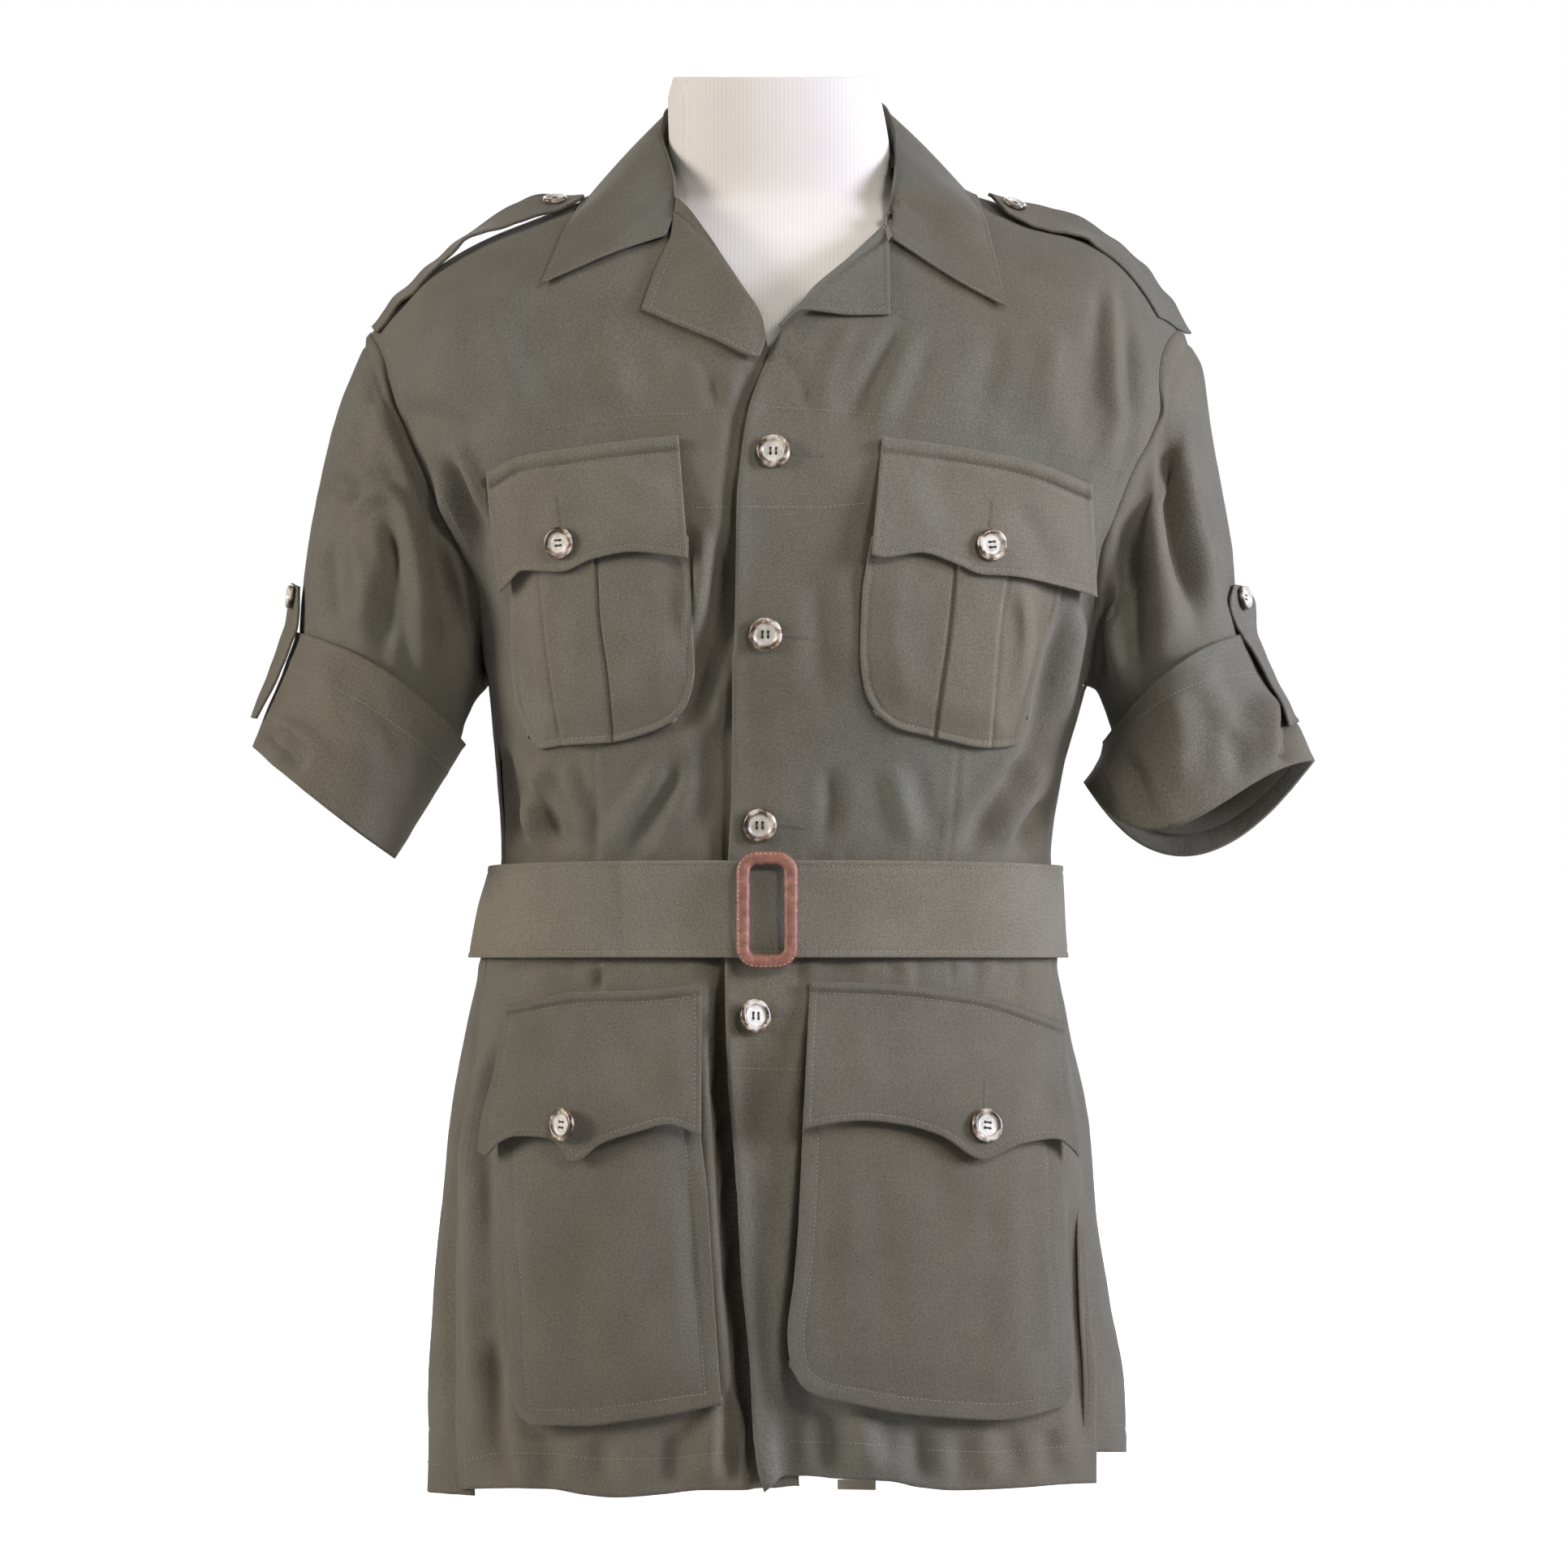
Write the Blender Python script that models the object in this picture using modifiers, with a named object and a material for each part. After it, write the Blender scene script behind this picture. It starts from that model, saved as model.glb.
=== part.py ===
"""Safari jacket with its own belt, on a limbless dress form.

Metres, +Z up. The front of the jacket faces -Y and +X is the viewer's right.
The dress form stands on z = 0 with the middle of the whole at x = y = 0.

The tables are read from a front drawing: u runs to the right and v runs down,
in drawing units (0.466 mm on the middle plane), seen from VIEW metres in front
at the height EYE_Z. at() puts a drawing point at a depth y. Every garment piece
is a lofted or draped sheet, thickened to a wall.
"""
import math

import bmesh
import bpy
import numpy as np
from mathutils import Matrix, Vector
from mathutils.bvhtree import BVHTree

# ---- driving sizes, metres
WALL = 0.0012          # one or two layers of drill
BELT_WALL = 0.0022     # stiffened belt
GAP = 0.0005           # between pieces that lie on each other
VIEW = 3.0             # distance of the drawing's viewpoint
UNIT = 36.0 / 1932.0 / 120.0
MID = 966.0
EYE_Z = 0.407
SHIFT = (0.0016, 0.0092)
ROUND = 2.35           # squareness of the body sections
V_UNDERARM = 845.0
V_CHEST = 470.0
BUTTON_R, BUTTON_T = 0.0094, 0.0034
TRIM_BUTTON_R = 0.0088

# ---- body sections: v on the middle plane, side outlines u, depths of front and back
TORSO = (
    # v     left    right   front  back
    (1850,  528.0, 1387.0, 0.117, 0.112),
    (1700,  533.0, 1383.0, 0.116, 0.112),
    (1600,  538.0, 1366.0, 0.114, 0.111),
    (1500,  545.0, 1350.0, 0.111, 0.109),
    (1380,  556.0, 1340.0, 0.106, 0.106),
    (1262,  576.0, 1316.0, 0.099, 0.100),
    (1185,  590.0, 1303.0, 0.092, 0.092),
    (1120,  602.0, 1298.0, 0.088, 0.086),
    (1055,  617.0, 1294.0, 0.090, 0.085),
    (960,   612.0, 1308.0, 0.097, 0.086),
    (878,   608.0, 1330.0, 0.107, 0.090),
    (800,   594.0, 1352.0, 0.116, 0.093),
    (720,   568.0, 1382.0, 0.121, 0.096),
    (640,   526.0, 1422.0, 0.119, 0.098),
    (560,   490.0, 1452.0, 0.112, 0.099),
    (430,   466.0, 1464.0, 0.094, 0.096),
)
# outer edge of each front as seen: side vent, side seam, armhole
SIDE_EDGE = {
    "left": ((1850, 568), (1700, 561), (1600, 561), (1500, 563), (1400, 570), (1344, 581),
             (1262, 590), (1185, 600), (1120, 609), (1055, 622), (960, 616), (878, 611),
             (845, 604), (800, 594), (750, 592), (719, 587), (684, 571), (648, 552),
             (603, 530), (559, 511), (509, 490), (470, 479), (430, 466)),
    "right": ((1850, 1352), (1700, 1352), (1600, 1345), (1500, 1340), (1400, 1337), (1344, 1329),
              (1262, 1308), (1185, 1297), (1120, 1293), (1055, 1290), (960, 1304), (878, 1327),
              (845, 1335), (800, 1343), (750, 1350), (692, 1357), (639, 1375), (585, 1397),
              (550, 1416), (509, 1430), (482, 1428), (470, 1428), (430, 1424)),
}
# centre edge of each front as seen
CENTRE_EDGE = {
    "left": ((1850, 985), (900, 985), (600, 985), (520, 972), (470, 955), (440, 947)),
    "right": ((1850, 945), (1769, 929), (1673, 924), (1577, 914), (1462, 908), (1301, 896),
              (1184, 893), (1050, 898), (960, 902), (826, 902), (780, 905), (616, 908),
              (571, 912), (509, 921), (468, 934), (440, 946)),
}
# lower edge of each front as seen, by u
HEM = {
    "left": ((540, 1836), (629, 1834), (679, 1835), (723, 1842), (761, 1845), (819, 1841),
             (867, 1836), (934, 1836), (1000, 1833)),
    "right": ((900, 1836), (945, 1838), (958, 1822), (994, 1820), (1026, 1822), (1099, 1826),
              (1134, 1833), (1179, 1837), (1217, 1836), (1265, 1833), (1313, 1829), (1370, 1827)),
}
# fold line of each lapel, from the shoulder down to the break point
ROLL = {
    "left": ((797, 216), (808, 236), (822, 258), (846, 280), (886, 320), (930, 386), (946, 426), (947, 453)),
    "right": ((1122, 208), (1110, 250), (1099, 290), (1052, 329), (1008, 367), (986, 389), (960, 410), (940, 453)),
}
# shoulder seam from neck to sleeve head: u, v, y
SHOULDER = {
    "left": ((797, 216, 0.004), (720, 247, 0.004), (660, 270, 0.003), (610, 290, 0.002),
             (572, 309, 0.001), (526, 339, 0.0), (500, 367, 0.0), (474, 393, 0.0), (459, 409, 0.0)),
    "right": ((1122, 208, 0.004), (1193, 239, 0.002), (1230, 251, 0.0), (1267, 266, -0.002),
              (1320, 279, -0.003), (1350, 291, -0.003), (1384, 314, -0.003), (1410, 344, -0.003),
              (1432, 378, -0.002), (1449, 404, 0.0)),
}
NECK_BACK = ((797, 216, 0.004), (808, 212, 0.034), (850, 208, 0.064), (957, 207, 0.078),
             (1066, 207, 0.064), (1110, 207, 0.034), (1122, 208, 0.004))

# sleeves: outer and inner outline point, middle depth, half depth, lean of the front half
SLEEVE = {
    "left": (
        # place out_u out_v in_u in_v   y_mid  half   front_u front_v
        (0.00, 452, 414, 600, 845, 0.004, 0.058, 14, 0),
        (0.14, 438, 452, 596, 850, 0.003, 0.063, 10, -4),
        (0.28, 420, 503, 590, 856, 0.001, 0.066, 8, -6),
        (0.44, 402, 570, 584, 864, 0.000, 0.066, 8, -8),
        (0.60, 389, 636, 578, 876, 0.000, 0.064, 8, -12),
        (0.76, 377, 700, 571, 892, 0.000, 0.061, 8, -16),
        (0.88, 372, 742, 568, 905, 0.000, 0.059, 8, -18),
    ),
    "right": (
        (0.00, 1470, 414, 1346, 845, 0.004, 0.058, -14, 0),
        (0.14, 1481, 452, 1350, 850, 0.003, 0.063, -10, -4),
        (0.28, 1490, 503, 1354, 856, 0.001, 0.066, -8, -6),
        (0.44, 1501, 570, 1358, 864, 0.000, 0.066, -6, -8),
        (0.60, 1511, 632, 1362, 874, 0.000, 0.064, -4, -12),
        (0.76, 1520, 692, 1367, 889, 0.000, 0.061, -2, -18),
        (0.88, 1524, 738, 1370, 900, 0.000, 0.059, 0, -20),
    ),
}
# cuffs: as the sleeves, with a lean for the back half
CUFF = {
    "left": (
        # place out_u out_v in_u in_v   y_mid  half   front_u front_v back_u back_v
        (0.00, 366, 779, 574, 917, 0.000, 0.064, 8, -20, -4, 8),
        (0.30, 350, 822, 553, 950, 0.000, 0.066, 5, -13, 0, 0),
        (0.65, 329, 872, 524, 997, -0.001, 0.066, 3, -4, 4, -8),
        (1.00, 311, 920, 486, 1058, -0.002, 0.064, 2, 6, 10, -16),
    ),
    "right": (
        (0.00, 1538, 780, 1360, 914, 0.000, 0.064, -2, -26, 4, 8),
        (0.30, 1560, 830, 1356, 930, 0.000, 0.066, -4, -28, 0, 20),
        (0.65, 1592, 882, 1347, 948, -0.001, 0.067, -2, -16, -2, 44),
        (1.00, 1619, 938, 1335, 964, -0.002, 0.067, 0, 56, -10, 104, 1.10),
    ),
}
CUFF_TURN = 0.93       # the sleeve inside the cuff, as a share of the cuff's ring

# collar columns: fold at the neck (u, v, y) and outer edge (u, v, y; y None = on the body)
COLLAR = (
    # fold_u fold_v fold_y   out_u  out_v  out_y
    (834, 259, -0.052, 822, 294, None),
    (833, 250, -0.050, 774, 310, None),
    (832, 238, -0.047, 721, 331, None),
    (832, 226, -0.043, 667, 355, None),
    (829, 208, -0.033, 688, 310, None),
    (823, 188, -0.017, 703, 278, None),
    (816, 165, 0.001, 715, 256, -0.006),
    (821, 140, 0.028, 724, 244, 0.022),
    (846, 126, 0.055, 766, 236, 0.076),
    (892, 120, 0.070, 844, 230, 0.102),
    (957, 119, 0.075, 957, 226, 0.110),
    (1022, 118, 0.070, 1070, 226, 0.102),
    (1064, 122, 0.055, 1150, 230, 0.076),
    (1088, 132, 0.028, 1192, 238, 0.022),
    (1102, 168, 0.001, 1203, 250, -0.006),
    (1103, 192, -0.017, 1212, 274, None),
    (1102, 212, -0.033, 1222, 310, None),
    (1099, 232, -0.043, 1240, 382, None),
    (1097, 247, -0.047, 1186, 353, None),
    (1095, 260, -0.0495, 1142, 326, None),
    (1093, 272, -0.052, 1100, 298, None),
)
STAND = 0.017          # height of the collar stand inside the fold

# hem of the back: share of its width from the left vent, height
HEM_BACK = ((0.0, 1823.0), (0.05, 1826.0), (0.10, 1832.0), (0.14, 1834.0), (0.25, 1822.0), (0.38, 1806.0), (0.62, 1806.0),
            (0.78, 1799.0), (0.85, 1793.0), (0.90, 1784.0), (0.95, 1777.0), (1.0, 1771.0))

# patches laid on the fronts; each side is a polyline from one corner to the next
LAPEL = {
    "left": dict(
        inner=((836, 253), (850, 264), (886, 314), (930, 383), (943, 420)),
        outer=((827, 296), (812, 325), (790, 384)),
        head=((836, 253), (827, 296)),
        foot=((943, 420), (930, 444), (886, 424), (837, 404), (790, 384))),
    "right": dict(
        inner=((1090, 285), (1046, 324), (1002, 362), (982, 385), (960, 406)),
        outer=((1095, 306), (1096, 340), (1096, 390)),
        head=((1090, 285), (1095, 306)),
        foot=((960, 406), (993, 387), (1046, 391), (1096, 390))),
}
CHEST_POCKET = {
    "left": dict(
        left=((634, 660), (629, 716), (629, 800), (634, 860), (650, 905)),
        right=((848, 660), (850, 692), (854, 782), (856, 826), (847, 867), (829, 889)),
        top=((634, 660), (740, 650), (848, 660)),
        bottom=((650, 905), (666, 923), (695, 919), (753, 915), (802, 902), (829, 889))),
    "right": dict(
        left=((1074, 660), (1062, 737), (1060, 804), (1065, 849), (1080, 880)),
        right=((1312, 690), (1306, 740), (1290, 790), (1276, 835), (1266, 880)),
        top=((1074, 660), (1200, 670), (1312, 690)),
        bottom=((1080, 880), (1107, 898), (1152, 909), (1219, 922), (1252, 918), (1266, 880))),
}
CHEST_FLAP = {
    "left": dict(
        left=((599, 583), (606, 666), (615, 731)),
        right=((836, 536), (848, 688)),
        top=((599, 583), (637, 563), (704, 552), (771, 543), (836, 536)),
        bottom=((615, 731), (624, 722), (645, 703), (689, 705), (730, 689), (779, 680), (814, 683), (848, 688))),
    "right": dict(
        left=((1087, 538), (1074, 683)),
        right=((1346, 597), (1349, 666), (1351, 736)),
        top=((1087, 538), (1179, 550), (1268, 567), (1346, 597)),
        bottom=((1074, 683), (1089, 687), (1134, 681), (1179, 695), (1210, 708), (1245, 710), (1312, 724), (1351, 736))),
}
HIP_POCKET = {
    "left": dict(
        left=((612, 1375), (616, 1516), (624, 1596), (627, 1703), (640, 1746)),
        right=((862, 1375), (864, 1403), (871, 1462), (880, 1600), (889, 1730)),
        top=((612, 1375), (740, 1372), (862, 1375)),
        bottom=((640, 1746), (662, 1757), (721, 1757), (774, 1751), (828, 1743), (889, 1730))),
    "right": dict(
        left=((990, 1365), (983, 1516), (978, 1577), (970, 1645), (974, 1685)),
        right=((1309, 1390), (1313, 1546), (1321, 1641), (1321, 1715), (1309, 1734)),
        top=((990, 1365), (1150, 1372), (1309, 1390)),
        bottom=((974, 1685), (990, 1710), (1013, 1723), (1058, 1732), (1121, 1743), (1233, 1750), (1309, 1734))),
}
HIP_FLAP = {
    "left": dict(
        left=((624, 1238), (605, 1344), (596, 1418)),
        right=((865, 1213), (864, 1400)),
        top=((624, 1238), (721, 1222), (782, 1221), (865, 1213)),
        bottom=((596, 1418), (604, 1424), (619, 1409), (640, 1400), (678, 1403), (707, 1432), (742, 1409),
                (785, 1395), (822, 1386), (864, 1400))),
    "right": dict(
        left=((998, 1209), (989, 1392)),
        right=((1314, 1261), (1316, 1350), (1318, 1425)),
        top=((998, 1209), (1096, 1213), (1203, 1226), (1314, 1261)),
        bottom=((989, 1392), (1015, 1386), (1064, 1381), (1112, 1386), (1160, 1400), (1211, 1429),
                (1256, 1409), (1294, 1403), (1310, 1414), (1318, 1425))),
}
POCKET_RISE = {"chest": 0.005, "hip": 0.012}
FLAP_STAND = {"chest": 0.009, "hip": 0.016}

# straps: their two long edges, (u, v, y)
EPAULETTE = {
    "left": dict(
        back=((719, 239, 0.006), (700, 238, 0.018), (676, 238, 0.018), (632, 252, 0.017), (583, 283, 0.016),
              (548, 308, 0.016), (502, 352, 0.016), (456, 401, 0.016)),
        front=((719, 243, -0.002), (697, 253, -0.015), (672, 262, -0.017), (628, 276, -0.018), (583, 290, -0.018),
               (548, 315, -0.018), (500, 366, -0.018), (462, 408, -0.018))),
    "right": dict(
        back=((1219, 237, -0.008), (1236, 240, 0.004), (1271, 251, 0.006), (1327, 265, 0.006), (1364, 288, 0.006),
              (1405, 320, 0.006), (1440, 367, 0.006), (1470, 409, 0.006)),
        front=((1222, 241, -0.012), (1243, 260, -0.028), (1275, 279, -0.030), (1320, 288, -0.030), (1356, 303, -0.030),
               (1386, 337, -0.030), (1406, 371, -0.030), (1420, 396, -0.030))),
}
SLEEVE_TAB = {
    "left": dict(
        back=((358, 718, 0.012), (354, 746, 0.014), (351, 768, 0.014), (343, 796, 0.014), (333, 822, 0.014),
              (319, 856, 0.013), (309, 884, 0.012)),
        front=((366, 722, -0.013), (366, 748, -0.020), (364, 772, -0.021), (356, 798, -0.020), (343, 828, -0.018),
               (327, 860, -0.017), (314, 884, -0.016))),
    "right": dict(
        back=((1537, 722, -0.004), (1548, 745, 0.002), (1549, 778, 0.002), (1558, 804, 0.002), (1573, 836, 0.002),
              (1589, 866, 0.002), (1599, 890, 0.002)),
        front=((1522, 720, -0.022), (1517, 742, -0.030), (1528, 776, -0.030), (1547, 806, -0.031), (1565, 838, -0.032),
               (1582, 868, -0.032), (1590, 894, -0.032))),
}

# buttons: name, u, v, what each lies on
BUTTONS = (
    ("button_front_1", 953, 557, "front_right", BUTTON_R),
    ("button_front_2", 943, 781, "front_right", BUTTON_R),
    ("button_front_3", 936, 1016, "front_right", BUTTON_R),
    ("button_front_4", 927, 1253, "front_right", BUTTON_R),
    ("button_chest_left", 690, 669, "chest_flap_left", TRIM_BUTTON_R),
    ("button_chest_right", 1221, 671.5, "chest_flap_right", TRIM_BUTTON_R),
    ("button_hip_left", 699, 1386, "hip_flap_left", BUTTON_R),
    ("button_hip_right", 1214.6, 1387, "hip_flap_right", BUTTON_R),
)

# largest folds of the cloth: panel, start and end (u, v), half width in units, rise in metres
FOLDS = (
    ("front_left", 868, 700, 880, 1050, 16, -0.0045),
    ("front_left", 895, 1230, 905, 1800, 12, -0.0060),
    ("front_right", 985, 1470, 962, 1830, 14, -0.0060),
    ("front_right", 1100, 1640, 1080, 1830, 30, 0.0040),
    ("front_right", 1290, 880, 1180, 1050, 18, -0.0035),
    ("front_left", 640, 960, 700, 1050, 18, -0.0035),
)

# buckle, centre line of its frame as seen, and its tube
BUCKLE = dict(u=945.0, v=1120.5, wide=59.0, high=127.0, corner=17.0, tube=0.0036)
BELT_TOP, BELT_FOOT = (1057.0, 1078.0), (1173.0, 1186.0)   # v at the front and at the back

# dress form: v, side outlines u, depths of front and back
FORM = (
    # v     left  right  front  back
    (1790, 600, 1318, 0.075, 0.090),
    (1740, 572, 1345, 0.087, 0.098),
    (1600, 566, 1340, 0.092, 0.100),
    (1380, 582, 1314, 0.086, 0.095),
    (1200, 614, 1280, 0.074, 0.080),
    (1110, 632, 1268, 0.073, 0.072),
    (1000, 640, 1276, 0.080, 0.072),
    (878, 636, 1300, 0.094, 0.078),
    (760, 620, 1322, 0.104, 0.083),
    (640, 600, 1352, 0.100, 0.086),
    (520, 566, 1388, 0.086, 0.085),
    (440, 541, 1402, 0.076, 0.081),
    (390, 548, 1390, 0.070, 0.077),
    (350, 578, 1362, 0.064, 0.072),
    (310, 640, 1308, 0.056, 0.066),
    (275, 722, 1222, 0.048, 0.066),
    (246, 800, 1126, 0.043, 0.065),
    (215, 823, 1100, 0.042, 0.064),
    (175, 824, 1095, 0.042, 0.063),
    (135, 823, 1086, 0.041, 0.062),
    (110, 828.5, 1078, 0.040, 0.061),
    (106, 829.5, 1077, 0.0395, 0.0605),
)
FOOT_HALF, FOOT_Y, FOOT_DEEP, FOOT_HIGH = 0.062, 0.030, 0.050, 0.014

COLOURS = {
    "cloth": ((0.130, 0.118, 0.092, 1.0), 0.85, 0.0),
    "leather": ((0.30, 0.11, 0.07, 1.0), 0.5, 0.0),
    "horn": ((0.55, 0.48, 0.38, 1.0), 0.3, 0.0),
    "knit": ((0.75, 0.69, 0.60, 1.0), 0.9, 0.0),
}


# ---- drawing and curves
def at(u, v, y):
    """Point at depth y seen at (u, v)."""
    u, v, y = np.broadcast_arrays(np.asarray(u, float), np.asarray(v, float), np.asarray(y, float))
    d = (VIEW + y) * UNIT
    return np.stack([(u - MID) * d, y, EYE_Z - (v - MID) * d], -1)


def seen(p):
    """Where a point is seen in the drawing."""
    d = (VIEW + p[..., 1]) * UNIT
    return MID + p[..., 0] / d, MID + (EYE_Z - p[..., 2]) / d


def smooth(xs, ys, x):
    """Shape-keeping cubic through a table; ys may hold several columns."""
    xs = np.asarray(xs, float)
    ys = np.asarray(ys, float)
    x = np.clip(np.asarray(x, float), xs[0], xs[-1])
    flat = ys.reshape(len(xs), -1)
    h = np.diff(xs)[:, None]
    d = np.diff(flat, axis=0) / h
    m = np.zeros_like(flat)
    m[0], m[-1] = d[0], d[-1]
    if len(xs) > 2:
        same = d[:-1] * d[1:] > 0
        total = np.where(same, d[:-1] + d[1:], 1.0)
        m[1:-1] = np.where(same, 2 * d[:-1] * d[1:] / total, 0.0)
    i = np.clip(np.searchsorted(xs, x.ravel(), side="right") - 1, 0, len(xs) - 2)
    hi = h[i]
    t = ((x.ravel() - xs[i])[:, None]) / hi
    out = ((1 + 2 * t) * (1 - t) ** 2 * flat[i] + t * (1 - t) ** 2 * hi * m[i]
           + t * t * (3 - 2 * t) * flat[i + 1] + t * t * (t - 1) * hi * m[i + 1])
    return out.reshape(x.shape + ys.shape[1:])


def column(table, k, x):
    rows = sorted(table, key=lambda r: r[0])
    return smooth([r[0] for r in rows], [r[k] for r in rows], x)


def along(points, t):
    """Points at the shares t of a polyline's length, rounded between its points."""
    pts = np.asarray(points, float)
    step = np.linalg.norm(np.diff(pts[:, :2], axis=0), axis=1) + 1e-9
    pos = np.concatenate([[0.0], np.cumsum(step)])
    return smooth(pos / pos[-1], pts, t)


def ease(x):
    x = np.clip(x, 0.0, 1.0)
    return x * x * (3 - 2 * x)


# ---- the body's section
def torso(v, angle):
    """Point of the section at height v; angle 0 is the middle front, +90 the viewer's right."""
    scale = UNIT * VIEW
    xl = (column(TORSO, 1, v) - MID) * scale
    xr = (column(TORSO, 2, v) - MID) * scale
    front, back = column(TORSO, 3, v), column(TORSO, 4, v)
    s, c = np.sin(np.radians(angle)), np.cos(np.radians(angle))
    e = 2.0 / ROUND
    x = (xl + xr) / 2 + (xr - xl) / 2 * np.sign(s) * np.abs(s) ** e
    y = -np.where(c > 0, front, back) * np.sign(c) * np.abs(c) ** e
    z = EYE_Z - (v - MID) * scale
    return np.stack(np.broadcast_arrays(x, y, z), -1)


def angle_of(v, u):
    """Front angle at which the section at height v is seen at u."""
    low, high = np.full(np.shape(v), -90.0), np.full(np.shape(v), 90.0)
    for _ in range(40):
        mid = (low + high) / 2
        over = seen(torso(v, mid))[0] > u
        high, low = np.where(over, mid, high), np.where(over, low, mid)
    return (low + high) / 2


def seen_height(v):
    """Seen height of the middle front of the section at height v."""
    return MID + (v - MID) * VIEW / (VIEW - column(TORSO, 3, v))


def bend(a, ta, b, tb, k):
    """Curve from a along ta to b, arriving from b + tb; a, b are columns of points, k a row list."""
    span = np.linalg.norm(b - a, axis=-1, keepdims=True)
    p1, p2 = a + ta * span * 0.42, b + tb * span * 0.38
    k = k[:, None, None]
    return (1 - k) ** 3 * a + 3 * (1 - k) ** 2 * k * p1 + 3 * (1 - k) * k * k * p2 + k ** 3 * b


def unit(p):
    return p / (np.linalg.norm(p, axis=-1, keepdims=True) + 1e-12)


def rows_of(hem, skirt, body):
    """Heights of the rows: a skirt from the hem to the underarm, then up to the chest line."""
    low = hem[None, :] + (V_UNDERARM - hem[None, :]) * np.linspace(0, 1, skirt + 1)[:, None]
    high = np.linspace(V_UNDERARM, V_CHEST, body + 1)[1:, None] + 0 * hem[None, :]
    return np.concatenate([low, high])


def front_grid(side, skirt, body, top, cols):
    """Outer surface of a front: rows from hem to shoulder seam, columns from centre to side."""
    s = np.linspace(0, 1, cols + 1)
    edge0 = angle_of(1800.0, column(CENTRE_EDGE[side], 1, 1850.0))
    side0 = angle_of(1800.0, column(SIDE_EDGE[side], 1, 1840.0))
    first = torso(1800.0, edge0 + (side0 - edge0) * s)
    hem_seen = column(HEM[side], 1, seen(first)[0])
    hem = MID + (hem_seen - MID) * (VIEW + first[:, 1]) / VIEW
    v = rows_of(hem, skirt, body)
    middle = v[:, :1] + 0 * v
    centre = angle_of(v, column(CENTRE_EDGE[side], 1, seen_height(middle)))
    outer = angle_of(v, column(SIDE_EDGE[side], 1, v))
    angle = centre + (outer - centre) * s[None, :]
    low = torso(v, angle)
    a, below = low[-1], torso(V_CHEST + 20.0, angle[-1])
    b = along(SHOULDER[side], s)
    b = at(b[:, 0], b[:, 1], b[:, 2])
    k = np.linspace(0, 1, top + 1)[1:]
    high = bend(a, unit(a - below), b, unit(np.array([0.0, -1.0, -0.30])), k)
    # the centre edge follows the fold line of the lapel
    u, w = seen(high[:, 0])
    shift = (column([(r[1], r[0]) for r in ROLL[side]], 1, w) - u) * UNIT * (VIEW + high[:, 0, 1])
    high[:, :, 0] += shift[:, None] * (1 - s[None, :]) ** 2.5
    return np.concatenate([low, high])


def back_grid(skirt, body, top, cols):
    """Outer surface of the back: columns from the left side round to the right side."""
    s = np.linspace(0, 1, cols + 1)
    hem = np.interp(s, *np.array(HEM_BACK).T)
    v = rows_of(hem, skirt, body)
    left = angle_of(v, column(SIDE_EDGE["left"], 1, v))
    right = angle_of(v, column(SIDE_EDGE["right"], 1, v))
    # below the underarm the seam is shared with the fronts, above it the armholes mirror theirs
    up = ease((V_UNDERARM + 20 - v) / 40.0)
    left = np.where(v > V_UNDERARM, left, -180.0 - left)
    right = np.where(v > V_UNDERARM, right, 180.0 - right)
    lap = 4.0 * ease((v - 1345.0) / 60.0)
    turn_l = left + lap - 0.35
    turn_r = right - lap + 0.45
    start = np.where(turn_l > -90.0, turn_l, turn_l)
    angle = start - (start + 360.0 - turn_r) * s[None, :]
    low = torso(v, angle)
    tuck = (WALL + 0.0016) * ease((v - 1180.0) / 90.0)
    inward = unit(low * np.array([1.0, 1.0, 0.0]))
    a = np.abs(((angle + 180.0) % 360.0) - 180.0)
    limit = np.abs(np.where(s[None, :] < 0.5, left, right))
    low = low - inward * (tuck * ease((limit + 6.0 - a) / 4.0))[..., None]
    a, below = low[-1], torso(V_CHEST + 20.0, angle[-1])
    third = 0.36
    b = np.empty((cols + 1, 3))
    for i, t in enumerate(s):
        if t < third:
            q = along(SHOULDER["left"], 1 - t / third)
        elif t > 1 - third:
            q = along(SHOULDER["right"], (t - 1 + third) / third)
        else:
            q = along([(u, y * 1e4, w, y) for u, w, y in NECK_BACK], (t - third) / (1 - 2 * third))
            q = np.array([q[0], q[2], q[3]])
        b[i] = at(q[0], q[1], q[2] + GAP)
    k = np.linspace(0, 1, top + 1)[1:]
    high = bend(a, unit(a - below), b, unit(np.array([0.0, 1.0, -0.30])), k)
    return np.concatenate([low, high])


# ---- rings
def ellipse(row, n, lean_back=False):
    out_u, out_v, in_u, in_v, mid, half, fu, fv = row[1:9]
    bu, bv = (row[9], row[10]) if lean_back else (0.0, 0.0)
    skew = row[11] if lean_back and len(row) > 11 else 0.0
    a = np.linspace(0, 2 * math.pi, n, endpoint=False)
    c, s = np.cos(a), np.sin(a)
    u = (out_u + in_u) / 2 + (out_u - in_u) / 2 * c + np.where(s > 0, fu, bu) * s * s
    v = (out_v + in_v) / 2 + (out_v - in_v) / 2 * c + np.where(s > 0, fv * (1.0 - skew * c), bv) * s * s
    return at(u, v, mid - half * s)


def loft(rings, places, q):
    return smooth(places, np.stack(rings), np.asarray(q, float))


def resample(points, n):
    points = np.asarray(points)
    step = np.linalg.norm(np.diff(points, axis=0), axis=1)
    pos = np.concatenate([[0.0], np.cumsum(step)])
    return smooth(pos / pos[-1], points, np.linspace(0, 1, n))


def cuff_grid(side, rows, n):
    table = CUFF[side]
    rings = [ellipse(r, n, True) for r in table]
    return loft(rings, [r[0] for r in table], np.linspace(0, 1, rows + 1))


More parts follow.
